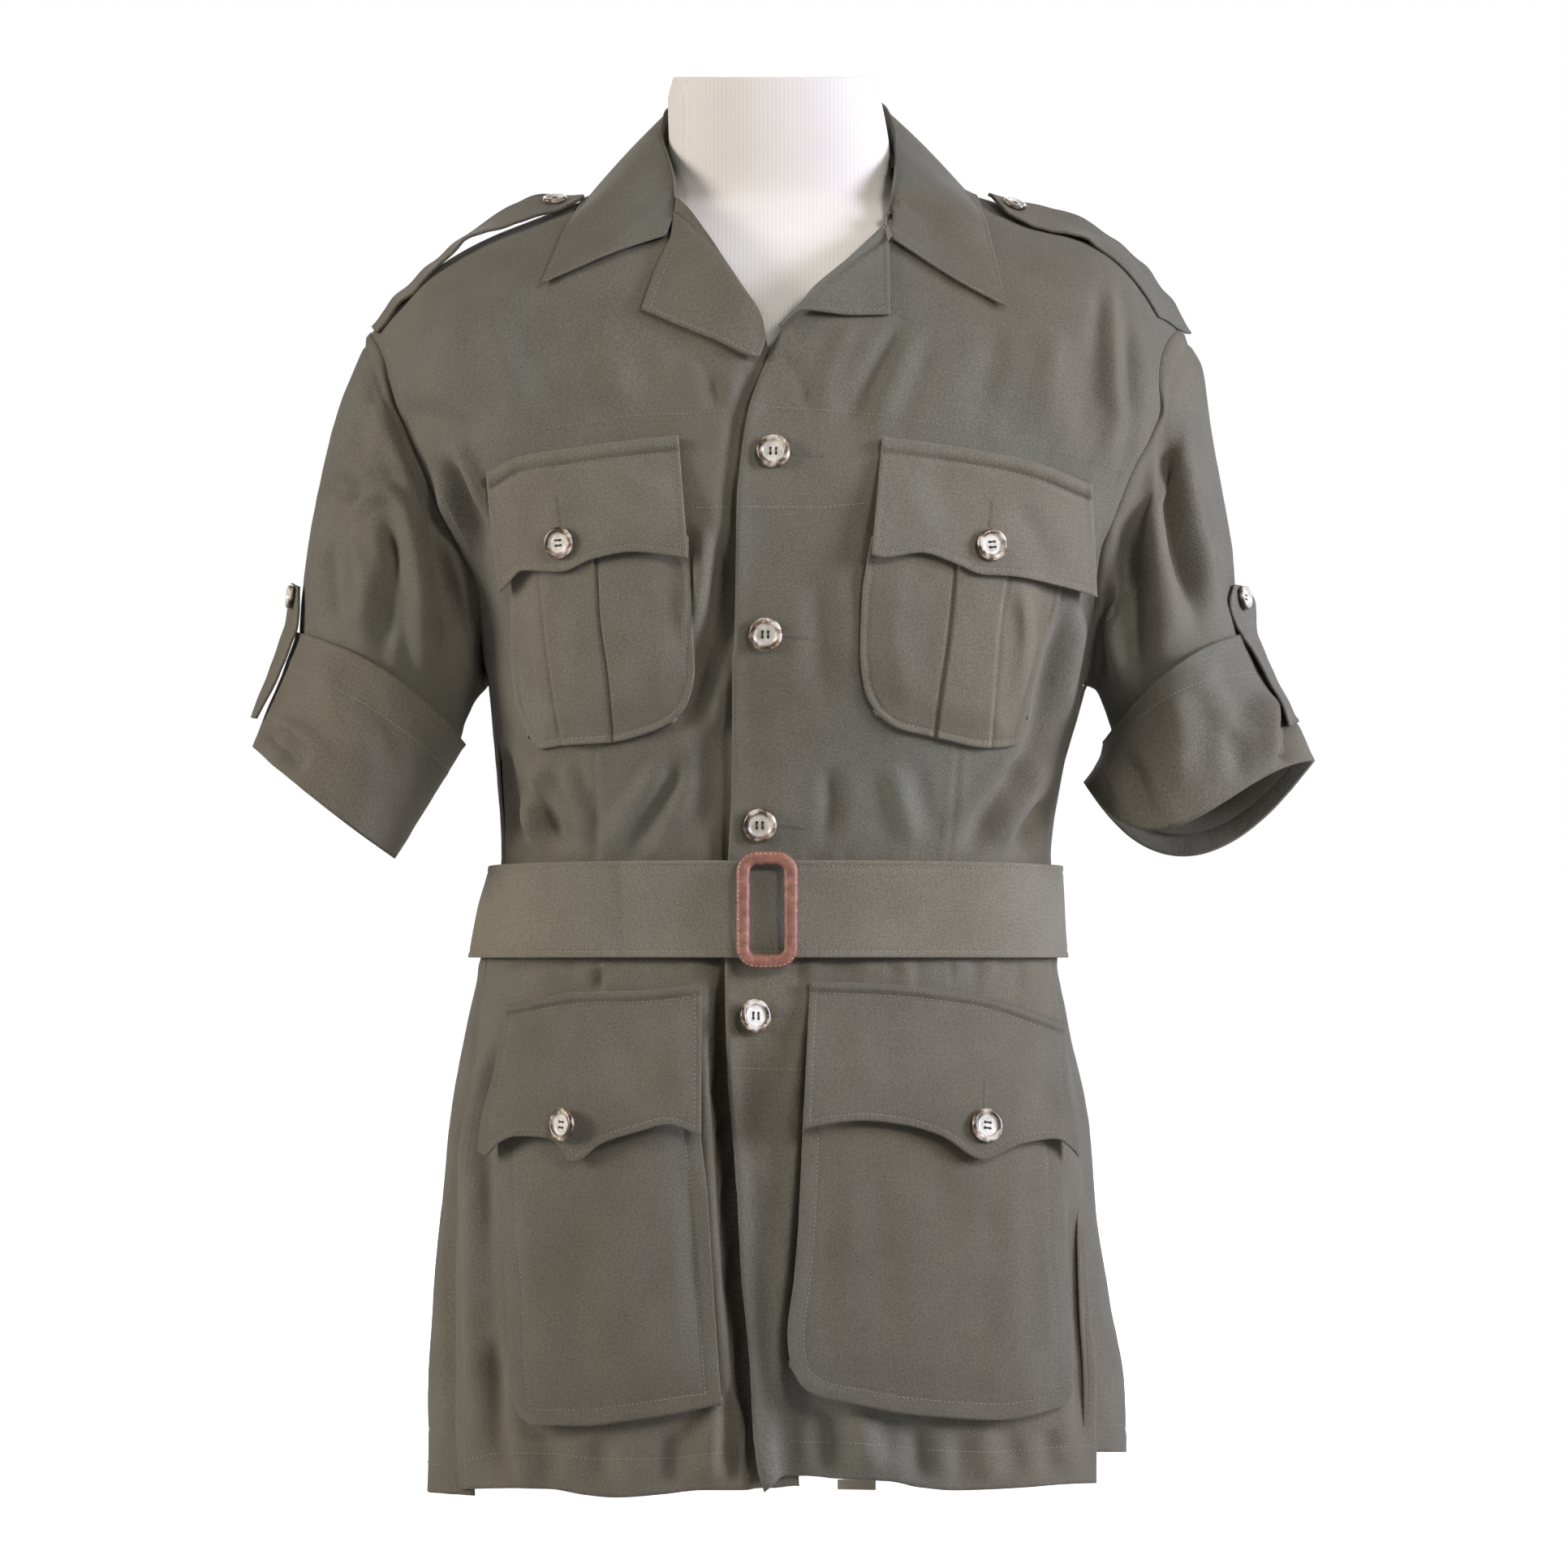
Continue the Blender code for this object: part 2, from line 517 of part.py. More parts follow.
def sleeve_grid(side, armhole, rows, inner, n):
    """Outer surface of a sleeve: rings from the armhole down into its cuff."""
    half = n // 2
    front, back = armhole
    first = np.concatenate([resample(front, half + 1), resample(back, n - half + 1)[1:-1]])
    first = first + np.array([(-1 if side == "left" else 1) * 0.0020, 0.0, 0.0])
    table = SLEEVE[side]
    rings = [first] + [ellipse(r, n) for r in table[1:]]
    places = [r[0] for r in table]
    cuff = cuff_grid(side, 12, n)
    for i, q in ((1, 1.00), (4, 1.22), (8, 1.50), (11, 1.70)):
        ring = cuff[i]
        centre = ring.mean(axis=0)
        rings.append(centre + (ring - centre) * CUFF_TURN)
        places.append(q)
    q = np.concatenate([np.linspace(0, 1.0, rows + 1), np.linspace(1.0, 1.70, inner + 1)[1:]])
    return loft(rings, places, q)


# ---- sheets laid on others
def patch(sides, rows, cols):
    """Drawing points inside four edges: rows from bottom to top, columns from left to right."""
    s, t = np.linspace(0, 1, cols + 1), np.linspace(0, 1, rows + 1)
    if "inner" in sides:
        top, bottom = along(sides["inner"], s), along(sides["outer"], s)
        left, right = along(sides["head"], 1 - t), along(sides["foot"], 1 - t)
    else:
        top, bottom = along(sides["top"], s), along(sides["bottom"], s)
        left, right = along(sides["left"], 1 - t), along(sides["right"], 1 - t)
    S, T = s[None, :, None], t[:, None, None]
    corners = ((1 - S) * (1 - T) * bottom[0] + S * (1 - T) * bottom[-1]
               + (1 - S) * T * top[0] + S * T * top[-1])
    return ((1 - T) * bottom[None] + T * top[None] + (1 - S) * left[:, None] + S * right[:, None] - corners)


def tree_of(*grids, wrap=False):
    verts, faces = [], []
    for g in grids:
        r, c = g.shape[:2]
        base = len(verts)
        verts.extend(map(tuple, g.reshape(-1, 3)))
        for i in range(r - 1):
            for j in range(c - 1):
                a = base + i * c + j
                b, d, e = a + 1, a + c + 1, a + c
                faces.extend(((a, b, d), (a, d, e), (a, b, e), (b, d, e)))
    return BVHTree.FromPolygons(verts, faces)


def drape(tree, uv, rise):
    """Points seen at uv on what the tree holds, moved out of it by rise."""
    eye = Vector((0.0, -VIEW, EYE_Z))
    out = np.empty(uv.shape[:2] + (3,))
    rise = np.broadcast_to(rise, uv.shape[:2])
    for i in range(uv.shape[0]):
        for j in range(uv.shape[1]):
            far = Vector(at(uv[i, j, 0], uv[i, j, 1], 0.0))
            hit, n, _, _ = tree.ray_cast(eye, (far - eye).normalized())
            if hit is None:
                near, n, _, _ = tree.find_nearest(Vector(at(uv[i, j, 0], uv[i, j, 1], -0.09)))
                hit = Vector(at(uv[i, j, 0], uv[i, j, 1], near.y))
            if n.y > 0:
                n = -n
            out[i, j] = hit + n * float(rise[i, j])
    return out


def clear(grid, tree, need, toward=None, rounds=8):
    """Moves a sheet out until its facets stand need metres off what the tree holds."""
    g = grid.copy()
    spots = [(a / 4.0, b / 4.0) for a in range(5) for b in range(5)]
    for _ in range(rounds):
        push = np.zeros_like(g)
        moved = False
        for i in range(g.shape[0] - 1):
            for j in range(g.shape[1] - 1):
                q = g[i:i + 2, j:j + 2]
                for a, b in spots:
                    p = ((1 - a) * (1 - b) * q[0, 0] + (1 - a) * b * q[0, 1] + a * (1 - b) * q[1, 0] + a * b * q[1, 1])
                    hit, n, _, dist = tree.find_nearest(Vector(p), 0.02)
                    if hit is None:
                        continue
                    n = np.array(n)
                    ref = toward if toward is not None else np.array([hit.x, hit.y, 0.0])
                    if n.dot(ref) < 0:
                        n = -n
                    off = float((p - np.array(hit)).dot(n))
                    if abs(off) < 0.6 * dist and dist > need:
                        continue
                    if off < need:
                        add = n * (need - off)
                        moved = True
                        for di in (0, 1):
                            for dj in (0, 1):
                                if np.linalg.norm(add) > np.linalg.norm(push[i + di, j + dj]):
                                    push[i + di, j + dj] = add
        g += push
        if not moved:
            break
    return g


def normals(g, wrap=False):
    if wrap:
        dc = np.roll(g, -1, axis=1) - np.roll(g, 1, axis=1)
    else:
        dc = np.gradient(g, axis=1)
    dr = np.gradient(g, axis=0)
    n = np.cross(dc, dr)
    return n / (np.linalg.norm(n, axis=-1, keepdims=True) + 1e-12)


def folded(name, g):
    """Adds the large folds of one panel, along its own normals."""
    n = normals(g)
    if (n * (g * np.array([1.0, 1.0, 0.0]))).sum() < 0:
        n = -n
    u, v = seen(g)
    total = np.zeros(u.shape)
    for panel, u0, v0, u1, v1, half, rise in FOLDS:
        if panel != name:
            continue
        du, dv = u1 - u0, v1 - v0
        length = math.hypot(du, dv)
        t = ((u - u0) * du + (v - v0) * dv) / length ** 2
        off = ((u - u0) * dv - (v - v0) * du) / length
        total += rise * np.exp(-(off / half) ** 2) * ease(np.clip(t, 0, 1) * 4) * ease((1 - np.clip(t, 0, 1)) * 6 + 0.2)
    return g + n * total[..., None]


# ---- scene building
def tidy():
    for ob in list(bpy.data.objects):
        bpy.data.objects.remove(ob, do_unlink=True)
    for c in list(bpy.data.collections):
        bpy.data.collections.remove(c)


def material(kind, name):
    colour, rough, metal = COLOURS[kind]
    m = bpy.data.materials.new("mat_" + name)
    m.use_nodes = True
    b = m.node_tree.nodes["Principled BSDF"]
    b.inputs["Base Color"].default_value = colour
    b.inputs["Roughness"].default_value = rough
    b.inputs["Metallic"].default_value = metal
    return m


def place(ob, kind):
    HOME.objects.link(ob)
    ob.data.materials.clear()
    ob.data.materials.append(material(kind, ob.name))
    return ob


def sheet(name, g, kind="cloth", wall=WALL, wrap=False, out=None):
    """A wall with its outer surface on the grid g."""
    g = g + np.array([SHIFT[0], SHIFT[1], 0.0])
    rows, cols = g.shape[:2]
    me = bpy.data.meshes.new(name)
    faces = []
    for i in range(rows - 1):
        for j in range(cols if wrap else cols - 1):
            k = (j + 1) % cols
            faces.append((i * cols + j, i * cols + k, (i + 1) * cols + k, (i + 1) * cols + j))
    n = normals(g, wrap)
    ref = (g - (g.mean(axis=1, keepdims=True) if wrap else np.array([0.0, 0.0, 0.0]))) * np.array([1.0, 1.0, 0.0])
    if out is not None:
        ref = np.broadcast_to(np.asarray(out, float), g.shape)
    elif wrap:
        ref = g - g.mean(axis=1, keepdims=True)
    if (n * ref).sum() < 0:
        faces = [f[::-1] for f in faces]
    me.from_pydata([tuple(p) for p in g.reshape(-1, 3)], [], faces)
    me.update()
    me.shade_smooth()
    ob = bpy.data.objects.new(name, me)
    mod = ob.modifiers.new("wall", "SOLIDIFY")
    mod.thickness = wall
    mod.offset = -1.0
    mod.use_even_offset = False
    mod.use_rim = True
    return place(ob, kind)


def seat(p, n, radius, tree):
    """Lifts p along n until a disc of the radius clears what the tree holds."""
    p, n = Vector(p), Vector(n).normalized()
    side = n.orthogonal().normalized()
    lift = 0.0
    for share in (0.0, 0.5, 0.95):
        for k in range(14):
            a = 2 * math.pi * k / 14
            q = p + (Matrix.Rotation(a, 3, n) @ side) * radius * share
            hit, _, _, _ = tree.ray_cast(q + n * 0.006, -n, 0.02)
            if hit is not None:
                lift = max(lift, (hit - q).dot(n))
    return p + n * lift


def button(name, p, n, radius, tree):
    """A turned button, its back against p and facing along n."""
    p = seat(p, n, radius, tree)
    bpy.ops.mesh.primitive_cylinder_add(vertices=12, radius=radius, depth=BUTTON_T)
    ob = bpy.context.active_object
    for c in list(ob.users_collection):
        c.objects.unlink(ob)
    ob.name = name
    ob.data.name = name
    q = Vector(n).to_track_quat("Z", "Y")
    centre = Vector(p) + Vector(n) * (BUTTON_T / 2 + GAP) + Vector((SHIFT[0], SHIFT[1], 0.0))
    ob.matrix_world = Matrix.Translation(centre) @ q.to_matrix().to_4x4()
    bevel = ob.modifiers.new("edge", "BEVEL")
    bevel.width = 0.0011
    bevel.segments = 1
    bevel.limit_method = "ANGLE"
    ob.data.shade_smooth()
    return place(ob, "horn")


def spot(tree, u, v):
    """Hit point and outward normal seen at (u, v)."""
    eye = Vector((0.0, -VIEW, EYE_Z))
    far = Vector(at(u, v, 0.0))
    hit, n, _, _ = tree.ray_cast(eye, (far - eye).normalized())
    if hit is None:
        return None, None
    return hit, (-n if n.y > 0 else n)


tidy()
HOME = bpy.data.collections.new("safari_jacket")
bpy.context.scene.collection.children.link(HOME)

# ---- dress form: a loft with a small foot
N_FORM = 24
angles = np.linspace(0, 360, N_FORM, endpoint=False)
rings = []
for v, left, right, front, back in FORM:
    s, c = np.sin(np.radians(angles)), np.cos(np.radians(angles))
    scale = UNIT * VIEW
    xl, xr = (left - MID) * scale, (right - MID) * scale
    e = 2.0 / (2.25 if v > 500 else 2.0)
    x = (xl + xr) / 2 + (xr - xl) / 2 * np.sign(s) * np.abs(s) ** e
    y = -np.where(c > 0, front, back) * np.sign(c) * np.abs(c) ** e
    rings.append(np.stack([x, y, np.full(N_FORM, EYE_Z - (v - MID) * scale)], -1))
s, c = np.sin(np.radians(angles)), np.cos(np.radians(angles))
foot = np.stack([FOOT_HALF * s - 0.003, FOOT_Y - FOOT_DEEP * c, 0 * s], -1)
low = rings[0] * 1.0
low[:, 2] = rings[0][:, 2] - 0.004
low[:, :2] = low[:, :2] * 0.94
form = np.stack([foot, foot + np.array([0, 0, low[0, 2]]), low] + rings)
form = form + np.array([SHIFT[0], SHIFT[1], 0.0])
me = bpy.data.meshes.new("dress_form")
R = len(form)
faces = [(i * N_FORM + j, i * N_FORM + (j + 1) % N_FORM, (i + 1) * N_FORM + (j + 1) % N_FORM, (i + 1) * N_FORM + j)
         for i in range(R - 1) for j in range(N_FORM)]
faces.append(tuple(range(N_FORM))[::-1])
faces.append(tuple((R - 1) * N_FORM + j for j in range(N_FORM)))
me.from_pydata([tuple(p) for p in form.reshape(-1, 3)], [], faces)
me.update()
bm = bmesh.new()
bm.from_mesh(me)
bmesh.ops.recalc_face_normals(bm, faces=bm.faces)
bm.to_mesh(me)
bm.free()
me.shade_smooth()
place(bpy.data.objects.new("dress_form", me), "knit")

# ---- fronts and back
SKIRT, BODY, TOP = 11, 5, 6
grid = {}
for side in ("left", "right"):
    grid["front_" + side] = front_grid(side, SKIRT, BODY, TOP, 9)
back = back_grid(SKIRT, BODY, TOP, 16)
armhole = {}
for side, col in (("left", 0), ("right", -1)):
    f = grid["front_" + side][SKIRT:, -1]
    b = back[SKIRT:, col]
    armhole[side] = (f[::-1], np.concatenate([[f[0]], b[1:-1], [f[-1]]]))
for side in ("left", "right"):
    name = "front_" + side
    grid[name] = folded(name, grid[name])
# the left front lies under the right one
g = grid["front_left"]
u, v = seen(g)
under = ease((u - (column(CENTRE_EDGE["right"], 1, v) - 40.0)) / 30.0)
g = g - normals(g) * np.sign((normals(g) * g * np.array([1, 1, 0])).sum()) * (under * (WALL + 0.0022))[..., None]
grid["front_left"] = g
# a hair of room at the side seams and the shoulder seams
for side, sign in (("left", 1.0), ("right", -1.0)):
    g = grid["front_" + side]
    g[:, -1, 0] += sign * 0.0004
    g[-1, :, 1] -= 0.0008
for name in ("front_left", "front_right"):
    sheet(name, grid[name])
back[:, :, 1] += 0.0004
sheet("back", back)

# ---- sleeves and cuffs
RING = 18
for side in ("left", "right"):
    sheet("sleeve_" + side, sleeve_grid(side, armhole[side], 8, 3, RING), wrap=True)
    grid["cuff_" + side] = cuff_grid(side, 4, RING)
    sheet("cuff_" + side, grid["cuff_" + side], wrap=True)
    grid["sleeve_" + side] = sleeve_grid(side, armhole[side], 8, 3, RING)

fronts = tree_of(grid["front_left"], grid["front_right"])
right_only = tree_of(grid["front_right"])
left_only = tree_of(grid["front_left"])
trees = {"left": left_only, "right": right_only}
FRONTWARD = np.array([0.0, -1.0, 0.0])
NEED = WALL + GAP

# ---- lapels
for side in ("left", "right"):
    uv = patch(LAPEL[side], 4, 8)
    t = np.linspace(0, 1, 5)[:, None] + np.zeros((1, 9))
    g = drape(fronts, uv, NEED + 0.0006 + 0.0030 * t)
    g = clear(g, fronts, NEED, FRONTWARD)
    grid["lapel_" + side] = g
    sheet("lapel_" + side, g, out=FRONTWARD)

# ---- collar: stand, fold and fall
shoulders = tree_of(grid["front_left"], grid["front_right"], back)
cols = np.linspace(0, 1, 29)
fold = at(*np.array([r[:3] for r in COLLAR]).T)
outer = []
for r in COLLAR:
    if r[5] is None:
        p, n = spot(fronts, r[3], r[4])
        outer.append(np.array(p + n * (NEED + 0.0016)))
    else:
        outer.append(at(r[3], r[4], r[5]))
outer = np.array(outer)
places = np.linspace(0, 1, len(COLLAR))
fold, outer = smooth(places, fold, cols), smooth(places, outer, cols)
fall = []
for t in np.linspace(0, 1, 5)[1:]:
    fall.append(fold + (outer - fold) * t + np.array([0.0, -0.0030, 0.0014]) * math.sin(math.pi * t))
away = unit((fold - np.array([-0.004, 0.006, 0.0])) * np.array([1.0, 1.0, 0.0]))
crest = fold + np.array([0.0, 0.0, 0.0012]) + away * 0.0012
stand_top = fold - away * 0.0004 - np.array([0, 0, 0.002])
depth = STAND * (0.12 + 0.88 * ease((np.minimum(cols, 1 - cols) - 0.15) * 5.0))
stand = stand_top - np.array([0, 0, 1.0]) * depth[:, None] + away * 0.0006
g = np.stack([stand, stand_top, crest] + fall)
g[3:] = clear(g[3:], shoulders, NEED, None)
grid["collar"] = g
sheet("collar", g[::-1], out=None)

# ---- pockets and flaps
def pocket_rise(rows, cols, height, edge):
    s, t = np.linspace(0, 1, cols + 1)[None, :], np.linspace(0, 1, rows + 1)[:, None]
    return height * ease(s / edge) * ease((1 - s) / edge) * ease(t / edge)


for side in ("left", "right"):
    tree = trees[side]
    for kind, sides, rows, cols_n, edge in (("chest", CHEST_POCKET, 5, 6, 0.17), ("hip", HIP_POCKET, 6, 7, 0.16)):
        uv = patch(sides[side], rows, cols_n)
        g = drape(tree, uv, NEED + 0.0006 + pocket_rise(rows, cols_n, POCKET_RISE[kind], edge))
        g = clear(g, tree, NEED + 0.0004, FRONTWARD)
        name = kind + "_pocket_" + side
        grid[name] = g
        sheet(name, g, out=FRONTWARD)
        both = tree_of(grid["front_" + side], g)
        flap = (CHEST_FLAP if kind == "chest" else HIP_FLAP)[side]
        uv = patch(flap, 4, 10)
        t = np.linspace(0, 1, 5)[:, None] + np.zeros((1, 11))
        stand = FLAP_STAND[kind] * (1 - t) ** 0.8
        g = drape(tree, uv, NEED + 0.0012 + stand)
        g = clear(g, both, NEED + 0.0005, FRONTWARD)
        name = kind + "_flap_" + side
        grid[name] = g
        sheet(name, g, out=FRONTWARD)

# ---- belt
N_BELT = 44
turn = np.linspace(0, 360, N_BELT, endpoint=False)
share = (1 - np.cos(np.radians(turn))) / 2
rows_v = []
for t in (0.0, 0.5, 1.0):
    top = BELT_TOP[0] + (BELT_TOP[1] - BELT_TOP[0]) * share
    base = BELT_FOOT[0] + (BELT_FOOT[1] - BELT_FOOT[0]) * share
    rows_v.append(base + (top - base) * t)
rows_v = np.array(rows_v)
wide = np.where(turn > 180, turn - 360, turn)
g = torso(rows_v, wide[None, :])
out = unit(g * np.array([1.0, 1.0, 0.0]))
g = g + out * (BELT_WALL + 0.0030)
g = np.concatenate([g, g[:, :1]], axis=1)
grid["belt"] = clear(g, shoulders, BELT_WALL + GAP, None)[:, :-1]
sheet("belt", grid["belt"], wall=BELT_WALL, wrap=True)

# ---- buckle: a tube round a rounded rectangle
belt_tree = tree_of(np.concatenate([grid["belt"], grid["belt"][:, :1]], axis=1))
hit, n = spot(belt_tree, BUCKLE["u"], BUCKLE["v"])
head, _ = spot(belt_tree, BUCKLE["u"], BUCKLE["v"] - 50.0)
toe, _ = spot(belt_tree, BUCKLE["u"], BUCKLE["v"] + 50.0)
lean = (head.y - toe.y) / (head.z - toe.z)
size = UNIT * (VIEW + hit.y)
w, h, r = (BUCKLE["wide"] / 2 * size, BUCKLE["high"] / 2 * size, BUCKLE["corner"] * size)
path = []
for cx, cz, a0 in ((w - r, h - r, 0), (-w + r, h - r, 90), (-w + r, -h + r, 180), (w - r, -h + r, 270)):
    for i in range(4):
        a = math.radians(a0 + 30 * i)
        path.append((cx + r * math.cos(a), cz + r * math.sin(a)))
proud = 0.0
for x, z in path:
    for reach in (0.88, 1.0, 1.12):
        u, v = seen(np.array([hit.x + x * reach, hit.y, hit.z + z * reach]))
        near, _ = spot(belt_tree, u, v)
        if near is not None and abs(near.z - hit.z) < 0.0275:
            proud = max(proud, hit.y + lean * z - near.y)
curve = bpy.data.curves.new("buckle_line", "CURVE")
curve.dimensions = "3D"
curve.bevel_depth = BUCKLE["tube"]
curve.bevel_resolution = 2
line = curve.splines.new("POLY")
line.points.add(len(path) - 1)
for p, (x, z) in zip(line.points, path):
    p.co = (hit.x + x + SHIFT[0], hit.y + lean * z - proud - BUCKLE["tube"] - GAP + SHIFT[1], hit.z + z, 1.0)
line.use_cyclic_u = True
tmp = bpy.data.objects.new("buckle_line", curve)
HOME.objects.link(tmp)
bpy.context.view_layer.update()
me = bpy.data.meshes.new_from_object(tmp.evaluated_get(bpy.context.evaluated_depsgraph_get()))
me.name = "buckle"
bpy.data.objects.remove(tmp, do_unlink=True)
me.shade_smooth()
place(bpy.data.objects.new("buckle", me), "leather")

# ---- straps
def strap(name, edges, tree, rows, wall, need):
    s = np.linspace(0, 1, rows + 1)
    back_edge, front_edge = along(edges["back"], s), along(edges["front"], s)
    t = np.linspace(0, 1, 4)[:, None, None]
    q = back_edge[None] * (1 - t) + front_edge[None] * t
    g = at(q[..., 0], q[..., 1], q[..., 2])
    return g


for side, sign in (("left", -1.0), ("right", 1.0)):
    up = np.array([sign * 0.45, -0.15, 0.9])
    g = strap("epaulette", EPAULETTE[side], None, 12, WALL, NEED)
    around = tree_of(grid["front_" + side], back,
                     np.concatenate([grid["sleeve_" + side], grid["sleeve_" + side][:, :1]], axis=1),
                     grid["collar"][2:])
    g = clear(g, around, NEED + 0.0004, up)
    grid["epaulette_" + side] = g
    sheet("epaulette_" + side, g, out=up)
    tab = strap("sleeve_tab", SLEEVE_TAB[side], None, 9, WALL, NEED)
    arm = tree_of(np.concatenate([grid["sleeve_" + side], grid["sleeve_" + side][:, :1]], axis=1),
                  np.concatenate([grid["cuff_" + side], grid["cuff_" + side][:, :1]], axis=1))
    outward = np.array([sign, -0.2, 0.1])
    tab = clear(tab, arm, NEED + 0.0004, outward)
    grid["sleeve_tab_" + side] = tab
    sheet("sleeve_tab_" + side, tab, out=outward)
    # their buttons
    e = grid["epaulette_" + side]
    n = normals(e)[1:3, 2].mean(axis=0)
    n = n if n.dot(up) > 0 else -n
    button("button_epaulette_" + side, e[1:3, 2].mean(axis=0), n, 0.0070, tree_of(e))
    n = normals(tab)[1:3, 2].mean(axis=0)
    n = n if n.dot(outward) > 0 else -n
    button("button_tab_" + side, tab[1:3, 2].mean(axis=0), n, 0.0070, tree_of(tab))

# ---- buttons on the fronts and flaps
for name, u, v, on, radius in BUTTONS:
    tree = tree_of(grid[on])
    hit, n = spot(tree, u, v)
    button(name, hit, n, radius, tree)
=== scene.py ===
"""Looks of the safari jacket on its limbless dress form.

The jacket is drawn again at full detail on the same tables as the part: the
panels with their folds, the pockets, flaps, collar and lapels laid on them,
then stitches, buttonholes, turned buttons, the covered buckle and the knit of
the form. Metres, +Z up, front towards -Y.
"""

import math

import bmesh
import bpy
import numpy as np
from mathutils import Matrix, Vector
from mathutils.bvhtree import BVHTree


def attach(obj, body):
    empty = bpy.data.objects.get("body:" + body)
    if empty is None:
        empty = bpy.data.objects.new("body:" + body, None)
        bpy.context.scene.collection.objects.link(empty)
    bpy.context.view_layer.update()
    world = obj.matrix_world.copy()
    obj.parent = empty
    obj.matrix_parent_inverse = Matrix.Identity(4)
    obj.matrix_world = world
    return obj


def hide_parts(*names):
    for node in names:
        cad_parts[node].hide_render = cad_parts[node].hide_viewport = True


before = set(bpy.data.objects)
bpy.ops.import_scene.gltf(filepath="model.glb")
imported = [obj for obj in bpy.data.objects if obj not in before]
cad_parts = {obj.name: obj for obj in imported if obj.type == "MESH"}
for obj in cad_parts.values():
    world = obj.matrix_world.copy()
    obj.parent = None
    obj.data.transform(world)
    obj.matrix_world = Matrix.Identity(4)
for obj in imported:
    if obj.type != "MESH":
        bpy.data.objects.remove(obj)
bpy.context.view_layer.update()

# ---- driving sizes, metres
WALL = 0.0012          # one or two layers of drill
BELT_WALL = 0.0022     # stiffened belt
GAP = 0.0005           # between pieces that lie on each other
VIEW = 3.0             # distance of the drawing's viewpoint
UNIT = 36.0 / 1932.0 / 120.0
MID = 966.0
EYE_Z = 0.407
SHIFT = (0.0016, 0.0092)
ROUND = 2.35           # squareness of the body sections
V_UNDERARM = 845.0
V_CHEST = 470.0
BUTTON_R, BUTTON_T = 0.0094, 0.0034
TRIM_BUTTON_R = 0.0088

# ---- body sections: v on the middle plane, side outlines u, depths of front and back
TORSO = (
    # v     left    right   front  back
    (1850,  528.0, 1387.0, 0.117, 0.112),
    (1700,  533.0, 1383.0, 0.116, 0.112),
    (1600,  538.0, 1366.0, 0.114, 0.111),
    (1500,  545.0, 1350.0, 0.111, 0.109),
    (1380,  556.0, 1340.0, 0.106, 0.106),
    (1262,  576.0, 1316.0, 0.099, 0.100),
    (1185,  590.0, 1303.0, 0.092, 0.092),
    (1120,  602.0, 1298.0, 0.088, 0.086),
    (1055,  617.0, 1294.0, 0.090, 0.085),
    (960,   612.0, 1308.0, 0.097, 0.086),
    (878,   608.0, 1330.0, 0.107, 0.090),
    (800,   594.0, 1352.0, 0.116, 0.093),
    (720,   568.0, 1382.0, 0.121, 0.096),
    (640,   526.0, 1422.0, 0.119, 0.098),
    (560,   490.0, 1452.0, 0.112, 0.099),
    (430,   466.0, 1464.0, 0.094, 0.096),
)
# outer edge of each front as seen: side vent, side seam, armhole
SIDE_EDGE = {
    "left": ((1850, 568), (1700, 561), (1600, 561), (1500, 563), (1400, 570), (1344, 581),
             (1262, 590), (1185, 600), (1120, 609), (1055, 622), (960, 616), (878, 611),
             (845, 604), (800, 594), (750, 592), (719, 587), (684, 571), (648, 552),
             (603, 530), (559, 511), (509, 490), (470, 479), (430, 466)),
    "right": ((1850, 1352), (1700, 1352), (1600, 1345), (1500, 1340), (1400, 1337), (1344, 1329),
              (1262, 1308), (1185, 1297), (1120, 1293), (1055, 1290), (960, 1304), (878, 1327),
              (845, 1335), (800, 1343), (750, 1350), (692, 1357), (639, 1375), (585, 1397),
              (550, 1416), (509, 1430), (482, 1428), (470, 1428), (430, 1424)),
}
# centre edge of each front as seen
CENTRE_EDGE = {
    "left": ((1850, 985), (900, 985), (600, 985), (520, 972), (470, 955), (440, 947)),
    "right": ((1850, 945), (1769, 929), (1673, 924), (1577, 914), (1462, 908), (1301, 896),
              (1184, 893), (1050, 898), (960, 902), (826, 902), (780, 905), (616, 908),
              (571, 912), (509, 921), (468, 934), (440, 946)),
}
# lower edge of each front as seen, by u
HEM = {
    "left": ((540, 1836), (629, 1834), (679, 1835), (723, 1842), (761, 1845), (819, 1841),
             (867, 1836), (934, 1836), (1000, 1833)),
    "right": ((900, 1836), (945, 1838), (958, 1822), (994, 1820), (1026, 1822), (1099, 1826),
              (1134, 1833), (1179, 1837), (1217, 1836), (1265, 1833), (1313, 1829), (1370, 1827)),
}
# fold line of each lapel, from the shoulder down to the break point
ROLL = {
    "left": ((797, 216), (808, 236), (822, 258), (846, 280), (886, 320), (930, 386), (946, 426), (947, 453)),
    "right": ((1122, 208), (1110, 250), (1099, 290), (1052, 329), (1008, 367), (986, 389), (960, 410), (940, 453)),
}
# shoulder seam from neck to sleeve head: u, v, y
SHOULDER = {
    "left": ((797, 216, 0.004), (720, 247, 0.004), (660, 270, 0.003), (610, 290, 0.002),
             (572, 309, 0.001), (526, 339, 0.0), (500, 367, 0.0), (474, 393, 0.0), (459, 409, 0.0)),
    "right": ((1122, 208, 0.004), (1193, 239, 0.002), (1230, 251, 0.0), (1267, 266, -0.002),
              (1320, 279, -0.003), (1350, 291, -0.003), (1384, 314, -0.003), (1410, 344, -0.003),
              (1432, 378, -0.002), (1449, 404, 0.0)),
}
NECK_BACK = ((797, 216, 0.004), (808, 212, 0.034), (850, 208, 0.064), (957, 207, 0.078),
             (1066, 207, 0.064), (1110, 207, 0.034), (1122, 208, 0.004))

